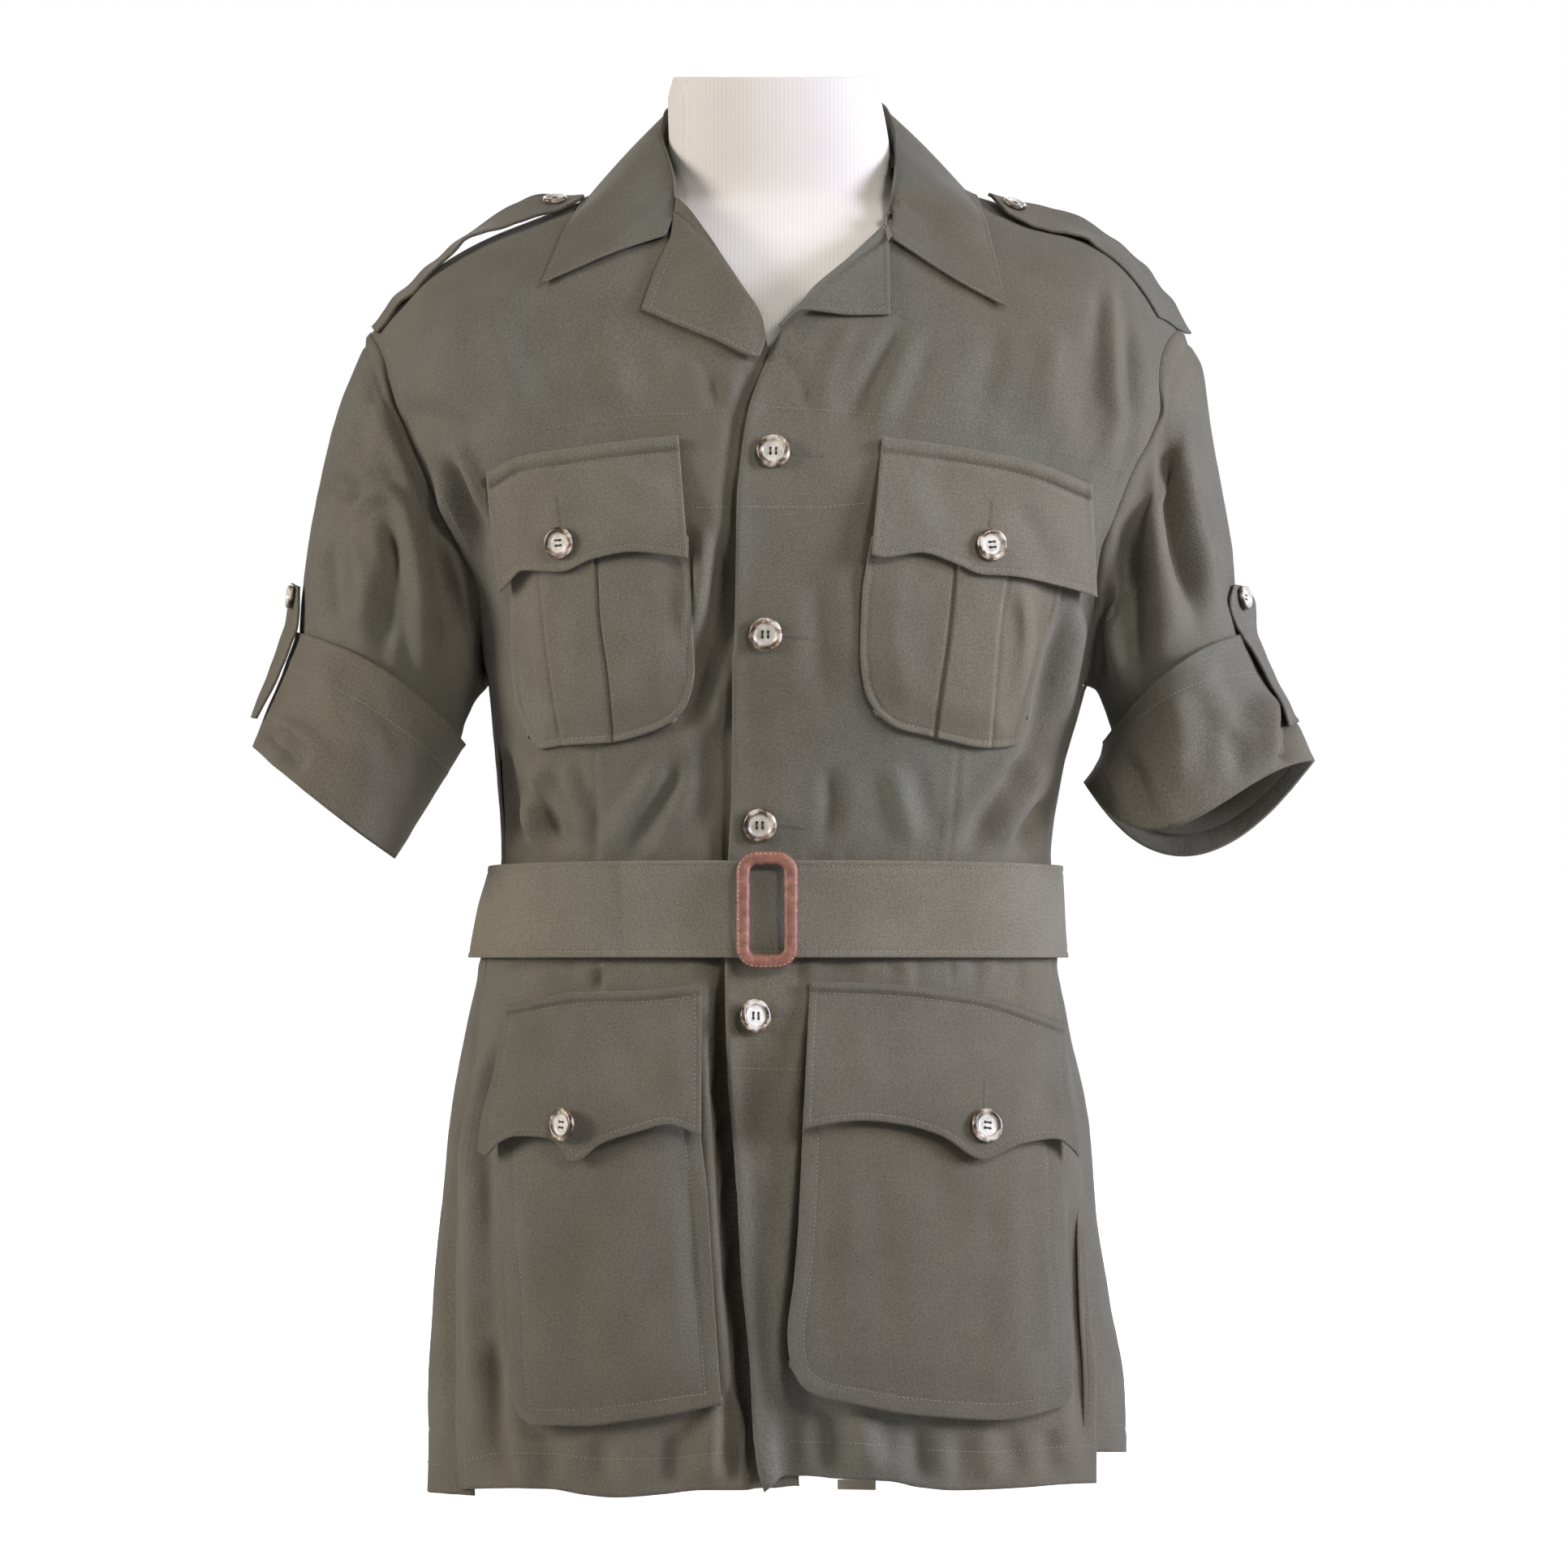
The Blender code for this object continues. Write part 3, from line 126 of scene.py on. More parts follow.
# sleeves: outer and inner outline point, middle depth, half depth, lean of the front half
SLEEVE = {
    "left": (
        # place out_u out_v in_u in_v   y_mid  half   front_u front_v
        (0.00, 452, 414, 600, 845, 0.004, 0.058, 14, 0),
        (0.14, 438, 452, 596, 850, 0.003, 0.063, 10, -4),
        (0.28, 420, 503, 590, 856, 0.001, 0.066, 8, -6),
        (0.44, 402, 570, 584, 864, 0.000, 0.066, 8, -8),
        (0.60, 389, 636, 578, 876, 0.000, 0.064, 8, -12),
        (0.76, 377, 700, 571, 892, 0.000, 0.061, 8, -16),
        (0.88, 372, 742, 568, 905, 0.000, 0.059, 8, -18),
    ),
    "right": (
        (0.00, 1470, 414, 1346, 845, 0.004, 0.058, -14, 0),
        (0.14, 1481, 452, 1350, 850, 0.003, 0.063, -10, -4),
        (0.28, 1490, 503, 1354, 856, 0.001, 0.066, -8, -6),
        (0.44, 1501, 570, 1358, 864, 0.000, 0.066, -6, -8),
        (0.60, 1511, 632, 1362, 874, 0.000, 0.064, -4, -12),
        (0.76, 1520, 692, 1367, 889, 0.000, 0.061, -2, -18),
        (0.88, 1524, 738, 1370, 900, 0.000, 0.059, 0, -20),
    ),
}
# cuffs: as the sleeves, with a lean for the back half
CUFF = {
    "left": (
        # place out_u out_v in_u in_v   y_mid  half   front_u front_v back_u back_v
        (0.00, 366, 779, 574, 917, 0.000, 0.064, 8, -20, -4, 8),
        (0.30, 350, 822, 553, 950, 0.000, 0.066, 5, -13, 0, 0),
        (0.65, 329, 872, 524, 997, -0.001, 0.066, 3, -4, 4, -8),
        (1.00, 311, 920, 486, 1058, -0.002, 0.064, 2, 6, 10, -16),
    ),
    "right": (
        (0.00, 1538, 780, 1360, 914, 0.000, 0.064, -2, -26, 4, 8),
        (0.30, 1560, 830, 1356, 930, 0.000, 0.066, -4, -28, 0, 20),
        (0.65, 1592, 882, 1347, 948, -0.001, 0.067, -2, -16, -2, 44),
        (1.00, 1619, 938, 1335, 964, -0.002, 0.067, 0, 56, -10, 104, 1.10),
    ),
}
CUFF_TURN = 0.93       # the sleeve inside the cuff, as a share of the cuff's ring

# collar columns: fold at the neck (u, v, y) and outer edge (u, v, y; y None = on the body)
COLLAR = (
    # fold_u fold_v fold_y   out_u  out_v  out_y
    (834, 259, -0.052, 822, 294, None),
    (833, 250, -0.050, 774, 310, None),
    (832, 238, -0.047, 721, 331, None),
    (832, 226, -0.043, 667, 355, None),
    (829, 208, -0.033, 688, 310, None),
    (823, 188, -0.017, 703, 278, None),
    (816, 165, 0.001, 715, 256, -0.006),
    (821, 140, 0.028, 724, 244, 0.022),
    (846, 126, 0.055, 766, 236, 0.076),
    (892, 120, 0.070, 844, 230, 0.102),
    (957, 119, 0.075, 957, 226, 0.110),
    (1022, 118, 0.070, 1070, 226, 0.102),
    (1064, 122, 0.055, 1150, 230, 0.076),
    (1088, 132, 0.028, 1192, 238, 0.022),
    (1102, 168, 0.001, 1203, 250, -0.006),
    (1103, 192, -0.017, 1212, 274, None),
    (1102, 212, -0.033, 1222, 310, None),
    (1099, 232, -0.043, 1240, 382, None),
    (1097, 247, -0.047, 1186, 353, None),
    (1095, 260, -0.0495, 1142, 326, None),
    (1093, 272, -0.052, 1100, 298, None),
)
STAND = 0.017          # height of the collar stand inside the fold

# hem of the back: share of its width from the left vent, height
HEM_BACK = ((0.0, 1823.0), (0.05, 1826.0), (0.10, 1832.0), (0.14, 1834.0), (0.25, 1822.0), (0.38, 1806.0), (0.62, 1806.0),
            (0.78, 1799.0), (0.85, 1793.0), (0.90, 1784.0), (0.95, 1777.0), (1.0, 1771.0))

# patches laid on the fronts; each side is a polyline from one corner to the next
LAPEL = {
    "left": dict(
        inner=((836, 253), (850, 264), (886, 314), (930, 383), (943, 420)),
        outer=((827, 296), (812, 325), (790, 384)),
        head=((836, 253), (827, 296)),
        foot=((943, 420), (930, 444), (886, 424), (837, 404), (790, 384))),
    "right": dict(
        inner=((1090, 285), (1046, 324), (1002, 362), (982, 385), (960, 406)),
        outer=((1095, 306), (1096, 340), (1096, 390)),
        head=((1090, 285), (1095, 306)),
        foot=((960, 406), (993, 387), (1046, 391), (1096, 390))),
}
CHEST_POCKET = {
    "left": dict(
        left=((634, 660), (629, 716), (629, 800), (634, 860), (650, 905)),
        right=((848, 660), (850, 692), (854, 782), (856, 826), (847, 867), (829, 889)),
        top=((634, 660), (740, 650), (848, 660)),
        bottom=((650, 905), (666, 923), (695, 919), (753, 915), (802, 902), (829, 889))),
    "right": dict(
        left=((1074, 660), (1062, 737), (1060, 804), (1065, 849), (1080, 880)),
        right=((1312, 690), (1306, 740), (1290, 790), (1276, 835), (1266, 880)),
        top=((1074, 660), (1200, 670), (1312, 690)),
        bottom=((1080, 880), (1107, 898), (1152, 909), (1219, 922), (1252, 918), (1266, 880))),
}
CHEST_FLAP = {
    "left": dict(
        left=((599, 583), (606, 666), (615, 731)),
        right=((836, 536), (848, 688)),
        top=((599, 583), (637, 563), (704, 552), (771, 543), (836, 536)),
        bottom=((615, 731), (624, 722), (645, 703), (689, 705), (730, 689), (779, 680), (814, 683), (848, 688))),
    "right": dict(
        left=((1087, 538), (1074, 683)),
        right=((1346, 597), (1349, 666), (1351, 736)),
        top=((1087, 538), (1179, 550), (1268, 567), (1346, 597)),
        bottom=((1074, 683), (1089, 687), (1134, 681), (1179, 695), (1210, 708), (1245, 710), (1312, 724), (1351, 736))),
}
HIP_POCKET = {
    "left": dict(
        left=((612, 1375), (616, 1516), (624, 1596), (627, 1703), (640, 1746)),
        right=((862, 1375), (864, 1403), (871, 1462), (880, 1600), (889, 1730)),
        top=((612, 1375), (740, 1372), (862, 1375)),
        bottom=((640, 1746), (662, 1757), (721, 1757), (774, 1751), (828, 1743), (889, 1730))),
    "right": dict(
        left=((990, 1365), (983, 1516), (978, 1577), (970, 1645), (974, 1685)),
        right=((1309, 1390), (1313, 1546), (1321, 1641), (1321, 1715), (1309, 1734)),
        top=((990, 1365), (1150, 1372), (1309, 1390)),
        bottom=((974, 1685), (990, 1710), (1013, 1723), (1058, 1732), (1121, 1743), (1233, 1750), (1309, 1734))),
}
HIP_FLAP = {
    "left": dict(
        left=((624, 1238), (605, 1344), (596, 1418)),
        right=((865, 1213), (864, 1400)),
        top=((624, 1238), (721, 1222), (782, 1221), (865, 1213)),
        bottom=((596, 1418), (604, 1424), (619, 1409), (640, 1400), (678, 1403), (707, 1432), (742, 1409),
                (785, 1395), (822, 1386), (864, 1400))),
    "right": dict(
        left=((998, 1209), (989, 1392)),
        right=((1314, 1261), (1316, 1350), (1318, 1425)),
        top=((998, 1209), (1096, 1213), (1203, 1226), (1314, 1261)),
        bottom=((989, 1392), (1015, 1386), (1064, 1381), (1112, 1386), (1160, 1400), (1211, 1429),
                (1256, 1409), (1294, 1403), (1310, 1414), (1318, 1425))),
}
POCKET_RISE = {"chest": 0.005, "hip": 0.012}
FLAP_STAND = {"chest": 0.009, "hip": 0.016}

# straps: their two long edges, (u, v, y)
EPAULETTE = {
    "left": dict(
        back=((719, 239, 0.006), (700, 238, 0.018), (676, 238, 0.018), (632, 252, 0.017), (583, 283, 0.016),
              (548, 308, 0.016), (502, 352, 0.016), (456, 401, 0.016)),
        front=((719, 243, -0.002), (697, 253, -0.015), (672, 262, -0.017), (628, 276, -0.018), (583, 290, -0.018),
               (548, 315, -0.018), (500, 366, -0.018), (462, 408, -0.018))),
    "right": dict(
        back=((1219, 237, -0.008), (1236, 240, 0.004), (1271, 251, 0.006), (1327, 265, 0.006), (1364, 288, 0.006),
              (1405, 320, 0.006), (1440, 367, 0.006), (1470, 409, 0.006)),
        front=((1222, 241, -0.012), (1243, 260, -0.028), (1275, 279, -0.030), (1320, 288, -0.030), (1356, 303, -0.030),
               (1386, 337, -0.030), (1406, 371, -0.030), (1420, 396, -0.030))),
}
SLEEVE_TAB = {
    "left": dict(
        back=((358, 718, 0.012), (354, 746, 0.014), (351, 768, 0.014), (343, 796, 0.014), (333, 822, 0.014),
              (319, 856, 0.013), (309, 884, 0.012)),
        front=((366, 722, -0.013), (366, 748, -0.020), (364, 772, -0.021), (356, 798, -0.020), (343, 828, -0.018),
               (327, 860, -0.017), (314, 884, -0.016))),
    "right": dict(
        back=((1537, 722, -0.004), (1548, 745, 0.002), (1549, 778, 0.002), (1558, 804, 0.002), (1573, 836, 0.002),
              (1589, 866, 0.002), (1599, 890, 0.002)),
        front=((1522, 720, -0.022), (1517, 742, -0.030), (1528, 776, -0.030), (1547, 806, -0.031), (1565, 838, -0.032),
               (1582, 868, -0.032), (1590, 894, -0.032))),
}

# buttons: name, u, v, what each lies on
BUTTONS = (
    ("button_front_1", 953, 557, "front_right", BUTTON_R),
    ("button_front_2", 943, 781, "front_right", BUTTON_R),
    ("button_front_3", 936, 1016, "front_right", BUTTON_R),
    ("button_front_4", 927, 1253, "front_right", BUTTON_R),
    ("button_chest_left", 690, 669, "chest_flap_left", TRIM_BUTTON_R),
    ("button_chest_right", 1221, 671.5, "chest_flap_right", TRIM_BUTTON_R),
    ("button_hip_left", 699, 1386, "hip_flap_left", BUTTON_R),
    ("button_hip_right", 1214.6, 1387, "hip_flap_right", BUTTON_R),
)

# buckle, centre line of its frame as seen, and its tube
BUCKLE = dict(u=945.0, v=1120.5, wide=59.0, high=127.0, corner=17.0, tube=0.0036)
BELT_TOP, BELT_FOOT = (1057.0, 1078.0), (1173.0, 1186.0)   # v at the front and at the back

# dress form: v, side outlines u, depths of front and back
FORM = (
    # v     left  right  front  back
    (1790, 600, 1318, 0.075, 0.090),
    (1740, 572, 1345, 0.087, 0.098),
    (1600, 566, 1340, 0.092, 0.100),
    (1380, 582, 1314, 0.086, 0.095),
    (1200, 614, 1280, 0.074, 0.080),
    (1110, 632, 1268, 0.073, 0.072),
    (1000, 640, 1276, 0.080, 0.072),
    (878, 636, 1300, 0.094, 0.078),
    (760, 620, 1322, 0.104, 0.083),
    (640, 600, 1352, 0.100, 0.086),
    (520, 566, 1388, 0.086, 0.085),
    (440, 541, 1402, 0.076, 0.081),
    (390, 548, 1390, 0.070, 0.077),
    (350, 578, 1362, 0.064, 0.072),
    (310, 640, 1308, 0.056, 0.066),
    (275, 722, 1222, 0.048, 0.066),
    (246, 800, 1126, 0.043, 0.065),
    (215, 823, 1100, 0.042, 0.064),
    (175, 824, 1095, 0.042, 0.063),
    (135, 823, 1086, 0.041, 0.062),
    (110, 828.5, 1078, 0.040, 0.061),
    (106, 829.5, 1077, 0.0395, 0.0605),
)
FOOT_HALF, FOOT_Y, FOOT_DEEP, FOOT_HIGH = 0.062, 0.030, 0.050, 0.014

# ---- drawing and curves
def at(u, v, y):
    """Point at depth y seen at (u, v)."""
    u, v, y = np.broadcast_arrays(np.asarray(u, float), np.asarray(v, float), np.asarray(y, float))
    d = (VIEW + y) * UNIT
    return np.stack([(u - MID) * d, y, EYE_Z - (v - MID) * d], -1)


def seen(p):
    """Where a point is seen in the drawing."""
    d = (VIEW + p[..., 1]) * UNIT
    return MID + p[..., 0] / d, MID + (EYE_Z - p[..., 2]) / d


def smooth(xs, ys, x):
    """Shape-keeping cubic through a table; ys may hold several columns."""
    xs = np.asarray(xs, float)
    ys = np.asarray(ys, float)
    x = np.clip(np.asarray(x, float), xs[0], xs[-1])
    flat = ys.reshape(len(xs), -1)
    h = np.diff(xs)[:, None]
    d = np.diff(flat, axis=0) / h
    m = np.zeros_like(flat)
    m[0], m[-1] = d[0], d[-1]
    if len(xs) > 2:
        same = d[:-1] * d[1:] > 0
        total = np.where(same, d[:-1] + d[1:], 1.0)
        m[1:-1] = np.where(same, 2 * d[:-1] * d[1:] / total, 0.0)
    i = np.clip(np.searchsorted(xs, x.ravel(), side="right") - 1, 0, len(xs) - 2)
    hi = h[i]
    t = ((x.ravel() - xs[i])[:, None]) / hi
    out = ((1 + 2 * t) * (1 - t) ** 2 * flat[i] + t * (1 - t) ** 2 * hi * m[i]
           + t * t * (3 - 2 * t) * flat[i + 1] + t * t * (t - 1) * hi * m[i + 1])
    return out.reshape(x.shape + ys.shape[1:])


def column(table, k, x):
    rows = sorted(table, key=lambda r: r[0])
    return smooth([r[0] for r in rows], [r[k] for r in rows], x)


def along(points, t):
    """Points at the shares t of a polyline's length, rounded between its points."""
    pts = np.asarray(points, float)
    step = np.linalg.norm(np.diff(pts[:, :2], axis=0), axis=1) + 1e-9
    pos = np.concatenate([[0.0], np.cumsum(step)])
    return smooth(pos / pos[-1], pts, t)


def ease(x):
    x = np.clip(x, 0.0, 1.0)
    return x * x * (3 - 2 * x)


# ---- the body's section
def torso(v, angle):
    """Point of the section at height v; angle 0 is the middle front, +90 the viewer's right."""
    scale = UNIT * VIEW
    xl = (column(TORSO, 1, v) - MID) * scale
    xr = (column(TORSO, 2, v) - MID) * scale
    front, back = column(TORSO, 3, v), column(TORSO, 4, v)
    s, c = np.sin(np.radians(angle)), np.cos(np.radians(angle))
    e = 2.0 / ROUND
    x = (xl + xr) / 2 + (xr - xl) / 2 * np.sign(s) * np.abs(s) ** e
    y = -np.where(c > 0, front, back) * np.sign(c) * np.abs(c) ** e
    z = EYE_Z - (v - MID) * scale
    return np.stack(np.broadcast_arrays(x, y, z), -1)


def angle_of(v, u):
    """Front angle at which the section at height v is seen at u."""
    low, high = np.full(np.shape(v), -90.0), np.full(np.shape(v), 90.0)
    for _ in range(40):
        mid = (low + high) / 2
        over = seen(torso(v, mid))[0] > u
        high, low = np.where(over, mid, high), np.where(over, low, mid)
    return (low + high) / 2


def seen_height(v):
    """Seen height of the middle front of the section at height v."""
    return MID + (v - MID) * VIEW / (VIEW - column(TORSO, 3, v))


def bend(a, ta, b, tb, k):
    """Curve from a along ta to b, arriving from b + tb; a, b are columns of points, k a row list."""
    span = np.linalg.norm(b - a, axis=-1, keepdims=True)
    p1, p2 = a + ta * span * 0.42, b + tb * span * 0.38
    k = k[:, None, None]
    return (1 - k) ** 3 * a + 3 * (1 - k) ** 2 * k * p1 + 3 * (1 - k) * k * k * p2 + k ** 3 * b


def unit(p):
    return p / (np.linalg.norm(p, axis=-1, keepdims=True) + 1e-12)


def shares(n):
    """n equal steps, or the given shares."""
    return np.linspace(0, 1, n + 1) if np.isscalar(n) else np.asarray(n, float)


def rows_of(hem, skirt, body):
    """Heights of the rows: a skirt from the hem to the underarm, then up to the chest line."""
    low = hem[None, :] + (V_UNDERARM - hem[None, :]) * shares(skirt)[:, None]
    high = np.linspace(V_UNDERARM, V_CHEST, body + 1)[1:, None] + 0 * hem[None, :]
    return np.concatenate([low, high])


def front_grid(side, skirt, body, top, cols):
    """Outer surface of a front: rows from hem to shoulder seam, columns from centre to side."""
    s = shares(cols)
    edge0 = angle_of(1800.0, column(CENTRE_EDGE[side], 1, 1850.0))
    side0 = angle_of(1800.0, column(SIDE_EDGE[side], 1, 1840.0))
    first = torso(1800.0, edge0 + (side0 - edge0) * s)
    hem_seen = column(HEM[side], 1, seen(first)[0])
    hem = MID + (hem_seen - MID) * (VIEW + first[:, 1]) / VIEW
    v = rows_of(hem, skirt, body)
    middle = v[:, :1] + 0 * v
    centre = angle_of(v, column(CENTRE_EDGE[side], 1, seen_height(middle)))
    outer = angle_of(v, column(SIDE_EDGE[side], 1, v))
    angle = centre + (outer - centre) * s[None, :]
    low = torso(v, angle)
    a, below = low[-1], torso(V_CHEST + 20.0, angle[-1])
    b = along(SHOULDER[side], s)
    b = at(b[:, 0], b[:, 1], b[:, 2])
    k = np.linspace(0, 1, top + 1)[1:]
    high = bend(a, unit(a - below), b, unit(np.array([0.0, -1.0, -0.30])), k)
    # the centre edge follows the fold line of the lapel
    u, w = seen(high[:, 0])
    shift = (column([(r[1], r[0]) for r in ROLL[side]], 1, w) - u) * UNIT * (VIEW + high[:, 0, 1])
    high[:, :, 0] += shift[:, None] * (1 - s[None, :]) ** 2.5
    return np.concatenate([low, high])


def back_grid(skirt, body, top, cols):
    """Outer surface of the back: columns from the left side round to the right side."""
    s = shares(cols)
    hem = np.interp(s, *np.array(HEM_BACK).T)
    v = rows_of(hem, skirt, body)
    left = angle_of(v, column(SIDE_EDGE["left"], 1, v))
    right = angle_of(v, column(SIDE_EDGE["right"], 1, v))
    # below the underarm the seam is shared with the fronts, above it the armholes mirror theirs
    up = ease((V_UNDERARM + 20 - v) / 40.0)
    left = np.where(v > V_UNDERARM, left, -180.0 - left)
    right = np.where(v > V_UNDERARM, right, 180.0 - right)
    lap = 4.0 * ease((v - 1345.0) / 60.0)
    turn_l = left + lap - 0.35
    turn_r = right - lap + 0.45
    start = np.where(turn_l > -90.0, turn_l, turn_l)
    angle = start - (start + 360.0 - turn_r) * s[None, :]
    low = torso(v, angle)
    tuck = (WALL + 0.0016) * ease((v - 1180.0) / 90.0)
    inward = unit(low * np.array([1.0, 1.0, 0.0]))
    a = np.abs(((angle + 180.0) % 360.0) - 180.0)
    limit = np.abs(np.where(s[None, :] < 0.5, left, right))
    low = low - inward * (tuck * ease((limit + 6.0 - a) / 4.0))[..., None]
    a, below = low[-1], torso(V_CHEST + 20.0, angle[-1])
    third = 0.36
    b = np.empty((len(s), 3))
    for i, t in enumerate(s):
        if t < third:
            q = along(SHOULDER["left"], 1 - t / third)
        elif t > 1 - third:
            q = along(SHOULDER["right"], (t - 1 + third) / third)
        else:
            q = along([(u, y * 1e4, w, y) for u, w, y in NECK_BACK], (t - third) / (1 - 2 * third))
            q = np.array([q[0], q[2], q[3]])
        b[i] = at(q[0], q[1], q[2] + GAP)
    k = np.linspace(0, 1, top + 1)[1:]
    high = bend(a, unit(a - below), b, unit(np.array([0.0, 1.0, -0.30])), k)
    return np.concatenate([low, high])


# ---- rings
def ellipse(row, n, lean_back=False):
    out_u, out_v, in_u, in_v, mid, half, fu, fv = row[1:9]
    bu, bv = (row[9], row[10]) if lean_back else (0.0, 0.0)
    skew = row[11] if lean_back and len(row) > 11 else 0.0
    a = np.linspace(0, 2 * math.pi, n, endpoint=False)
    c, s = np.cos(a), np.sin(a)
    u = (out_u + in_u) / 2 + (out_u - in_u) / 2 * c + np.where(s > 0, fu, bu) * s * s
    v = (out_v + in_v) / 2 + (out_v - in_v) / 2 * c + np.where(s > 0, fv * (1.0 - skew * c), bv) * s * s
    return at(u, v, mid - half * s)


def loft(rings, places, q):
    return smooth(places, np.stack(rings), np.asarray(q, float))


def resample(points, n):
    points = np.asarray(points)
    step = np.linalg.norm(np.diff(points, axis=0), axis=1)
    pos = np.concatenate([[0.0], np.cumsum(step)])
    return smooth(pos / pos[-1], points, np.linspace(0, 1, n))


def cuff_grid(side, rows, n):
    table = CUFF[side]
    rings = [ellipse(r, n, True) for r in table]
    return loft(rings, [r[0] for r in table], np.linspace(0, 1, rows + 1))


def sleeve_grid(side, armhole, rows, inner, n):
    """Outer surface of a sleeve: rings from the armhole down into its cuff."""
    half = n // 2
    front, back = armhole
    first = np.concatenate([resample(front, half + 1), resample(back, n - half + 1)[1:-1]])
    first = first + np.array([(-1 if side == "left" else 1) * 0.0008, 0.0, 0.0])
    table = SLEEVE[side]
    rings = [first] + [ellipse(r, n) for r in table[1:]]
    places = [r[0] for r in table]
    cuff = cuff_grid(side, 12, n)
    for i, q in ((1, 1.00), (4, 1.22), (8, 1.50), (11, 1.70)):
        ring = cuff[i]
        centre = ring.mean(axis=0)
        rings.append(centre + (ring - centre) * CUFF_TURN)
        places.append(q)
    q = np.concatenate([np.linspace(0, 1.0, rows + 1), np.linspace(1.0, 1.70, inner + 1)[1:]])
    return loft(rings, places, q)


# ---- sheets laid on others
def patch(sides, rows, cols):
    """Drawing points inside four edges: rows from bottom to top, columns from left to right."""
    s, t = shares(cols), shares(rows)
    if "inner" in sides:
        top, bottom = along(sides["inner"], s), along(sides["outer"], s)
        left, right = along(sides["head"], 1 - t), along(sides["foot"], 1 - t)
    else:
        top, bottom = along(sides["top"], s), along(sides["bottom"], s)
        left, right = along(sides["left"], 1 - t), along(sides["right"], 1 - t)
    S, T = s[None, :, None], t[:, None, None]
    corners = ((1 - S) * (1 - T) * bottom[0] + S * (1 - T) * bottom[-1]
               + (1 - S) * T * top[0] + S * T * top[-1])
    return ((1 - T) * bottom[None] + T * top[None] + (1 - S) * left[:, None] + S * right[:, None] - corners)


def tree_of(*grids, wrap=False):
    verts, faces = [], []
    for g in grids:
        r, c = g.shape[:2]
        base = len(verts)
        verts.extend(map(tuple, g.reshape(-1, 3)))
        for i in range(r - 1):
            for j in range(c - 1):
                a = base + i * c + j
                b, d, e = a + 1, a + c + 1, a + c
                faces.extend(((a, b, d), (a, d, e), (a, b, e), (b, d, e)))
    return BVHTree.FromPolygons(verts, faces)


def drape(tree, uv, rise):
    """Points seen at uv on what the tree holds, moved out of it by rise."""
    eye = Vector((0.0, -VIEW, EYE_Z))
    out = np.empty(uv.shape[:2] + (3,))
    rise = np.broadcast_to(rise, uv.shape[:2])
    for i in range(uv.shape[0]):
        for j in range(uv.shape[1]):
            far = Vector(at(uv[i, j, 0], uv[i, j, 1], 0.0))
            hit, n, _, _ = tree.ray_cast(eye, (far - eye).normalized())
            if hit is None:
                near, n, _, _ = tree.find_nearest(Vector(at(uv[i, j, 0], uv[i, j, 1], -0.09)))
                hit = Vector(at(uv[i, j, 0], uv[i, j, 1], near.y))
            if n.y > 0:
                n = -n
            out[i, j] = hit + n * float(rise[i, j])
    return out


def clear(grid, tree, need, toward=None, rounds=8):
    """Moves a sheet out until its facets stand need metres off what the tree holds."""
    g = grid.copy()
    spots = [(a / 4.0, b / 4.0) for a in range(5) for b in range(5)]
    for _ in range(rounds):
        push = np.zeros_like(g)
        moved = False
        for i in range(g.shape[0] - 1):
            for j in range(g.shape[1] - 1):
                q = g[i:i + 2, j:j + 2]
                for a, b in spots:
                    p = ((1 - a) * (1 - b) * q[0, 0] + (1 - a) * b * q[0, 1] + a * (1 - b) * q[1, 0] + a * b * q[1, 1])
                    hit, n, _, dist = tree.find_nearest(Vector(p), 0.02)
                    if hit is None:
                        continue
                    n = np.array(n)
                    ref = toward if toward is not None else np.array([hit.x, hit.y, 0.0])
                    if n.dot(ref) < 0:
                        n = -n
                    off = float((p - np.array(hit)).dot(n))
                    if abs(off) < 0.6 * dist and dist > need:
                        continue
                    if off < need:
                        add = n * (need - off)
                        moved = True
                        for di in (0, 1):
                            for dj in (0, 1):
                                if np.linalg.norm(add) > np.linalg.norm(push[i + di, j + dj]):
                                    push[i + di, j + dj] = add
        g += push
        if not moved:
            break
    return g


def normals(g, wrap=False):
    if wrap:
        dc = np.roll(g, -1, axis=1) - np.roll(g, 1, axis=1)
    else:
        dc = np.gradient(g, axis=1)
    dr = np.gradient(g, axis=0)
    n = np.cross(dc, dr)
    return n / (np.linalg.norm(n, axis=-1, keepdims=True) + 1e-12)


# ---- fine helpers
def dense(edge0, n0, mid, edge1, n1):
    """Shares of a span that are closer together at its ends."""
    return np.concatenate([np.linspace(0, edge0, n0 + 1), np.linspace(edge0, 1 - edge1, mid + 1)[1:-1],
                           np.linspace(1 - edge1, 1, n1 + 1)])


def lattice(u, v, cu, cv, seed):
    """Smooth values between -1 and 1 with cells cu by cv."""
    t = np.random.RandomState(seed).uniform(-1, 1, (64, 64))
    x, y = np.asarray(u) / cu + 17.3, np.asarray(v) / cv + 9.7
    i, j = np.floor(x).astype(int), np.floor(y).astype(int)
    fx, fy = x - i, y - j
    fx = fx ** 3 * (fx * (fx * 6 - 15) + 10)
    fy = fy ** 3 * (fy * (fy * 6 - 15) + 10)
    i, j, k, m = i % 64, j % 64, (i + 1) % 64, (j + 1) % 64
    return (t[i, j] * (1 - fx) + t[k, j] * fx) * (1 - fy) + (t[i, m] * (1 - fx) + t[k, m] * fx) * fy


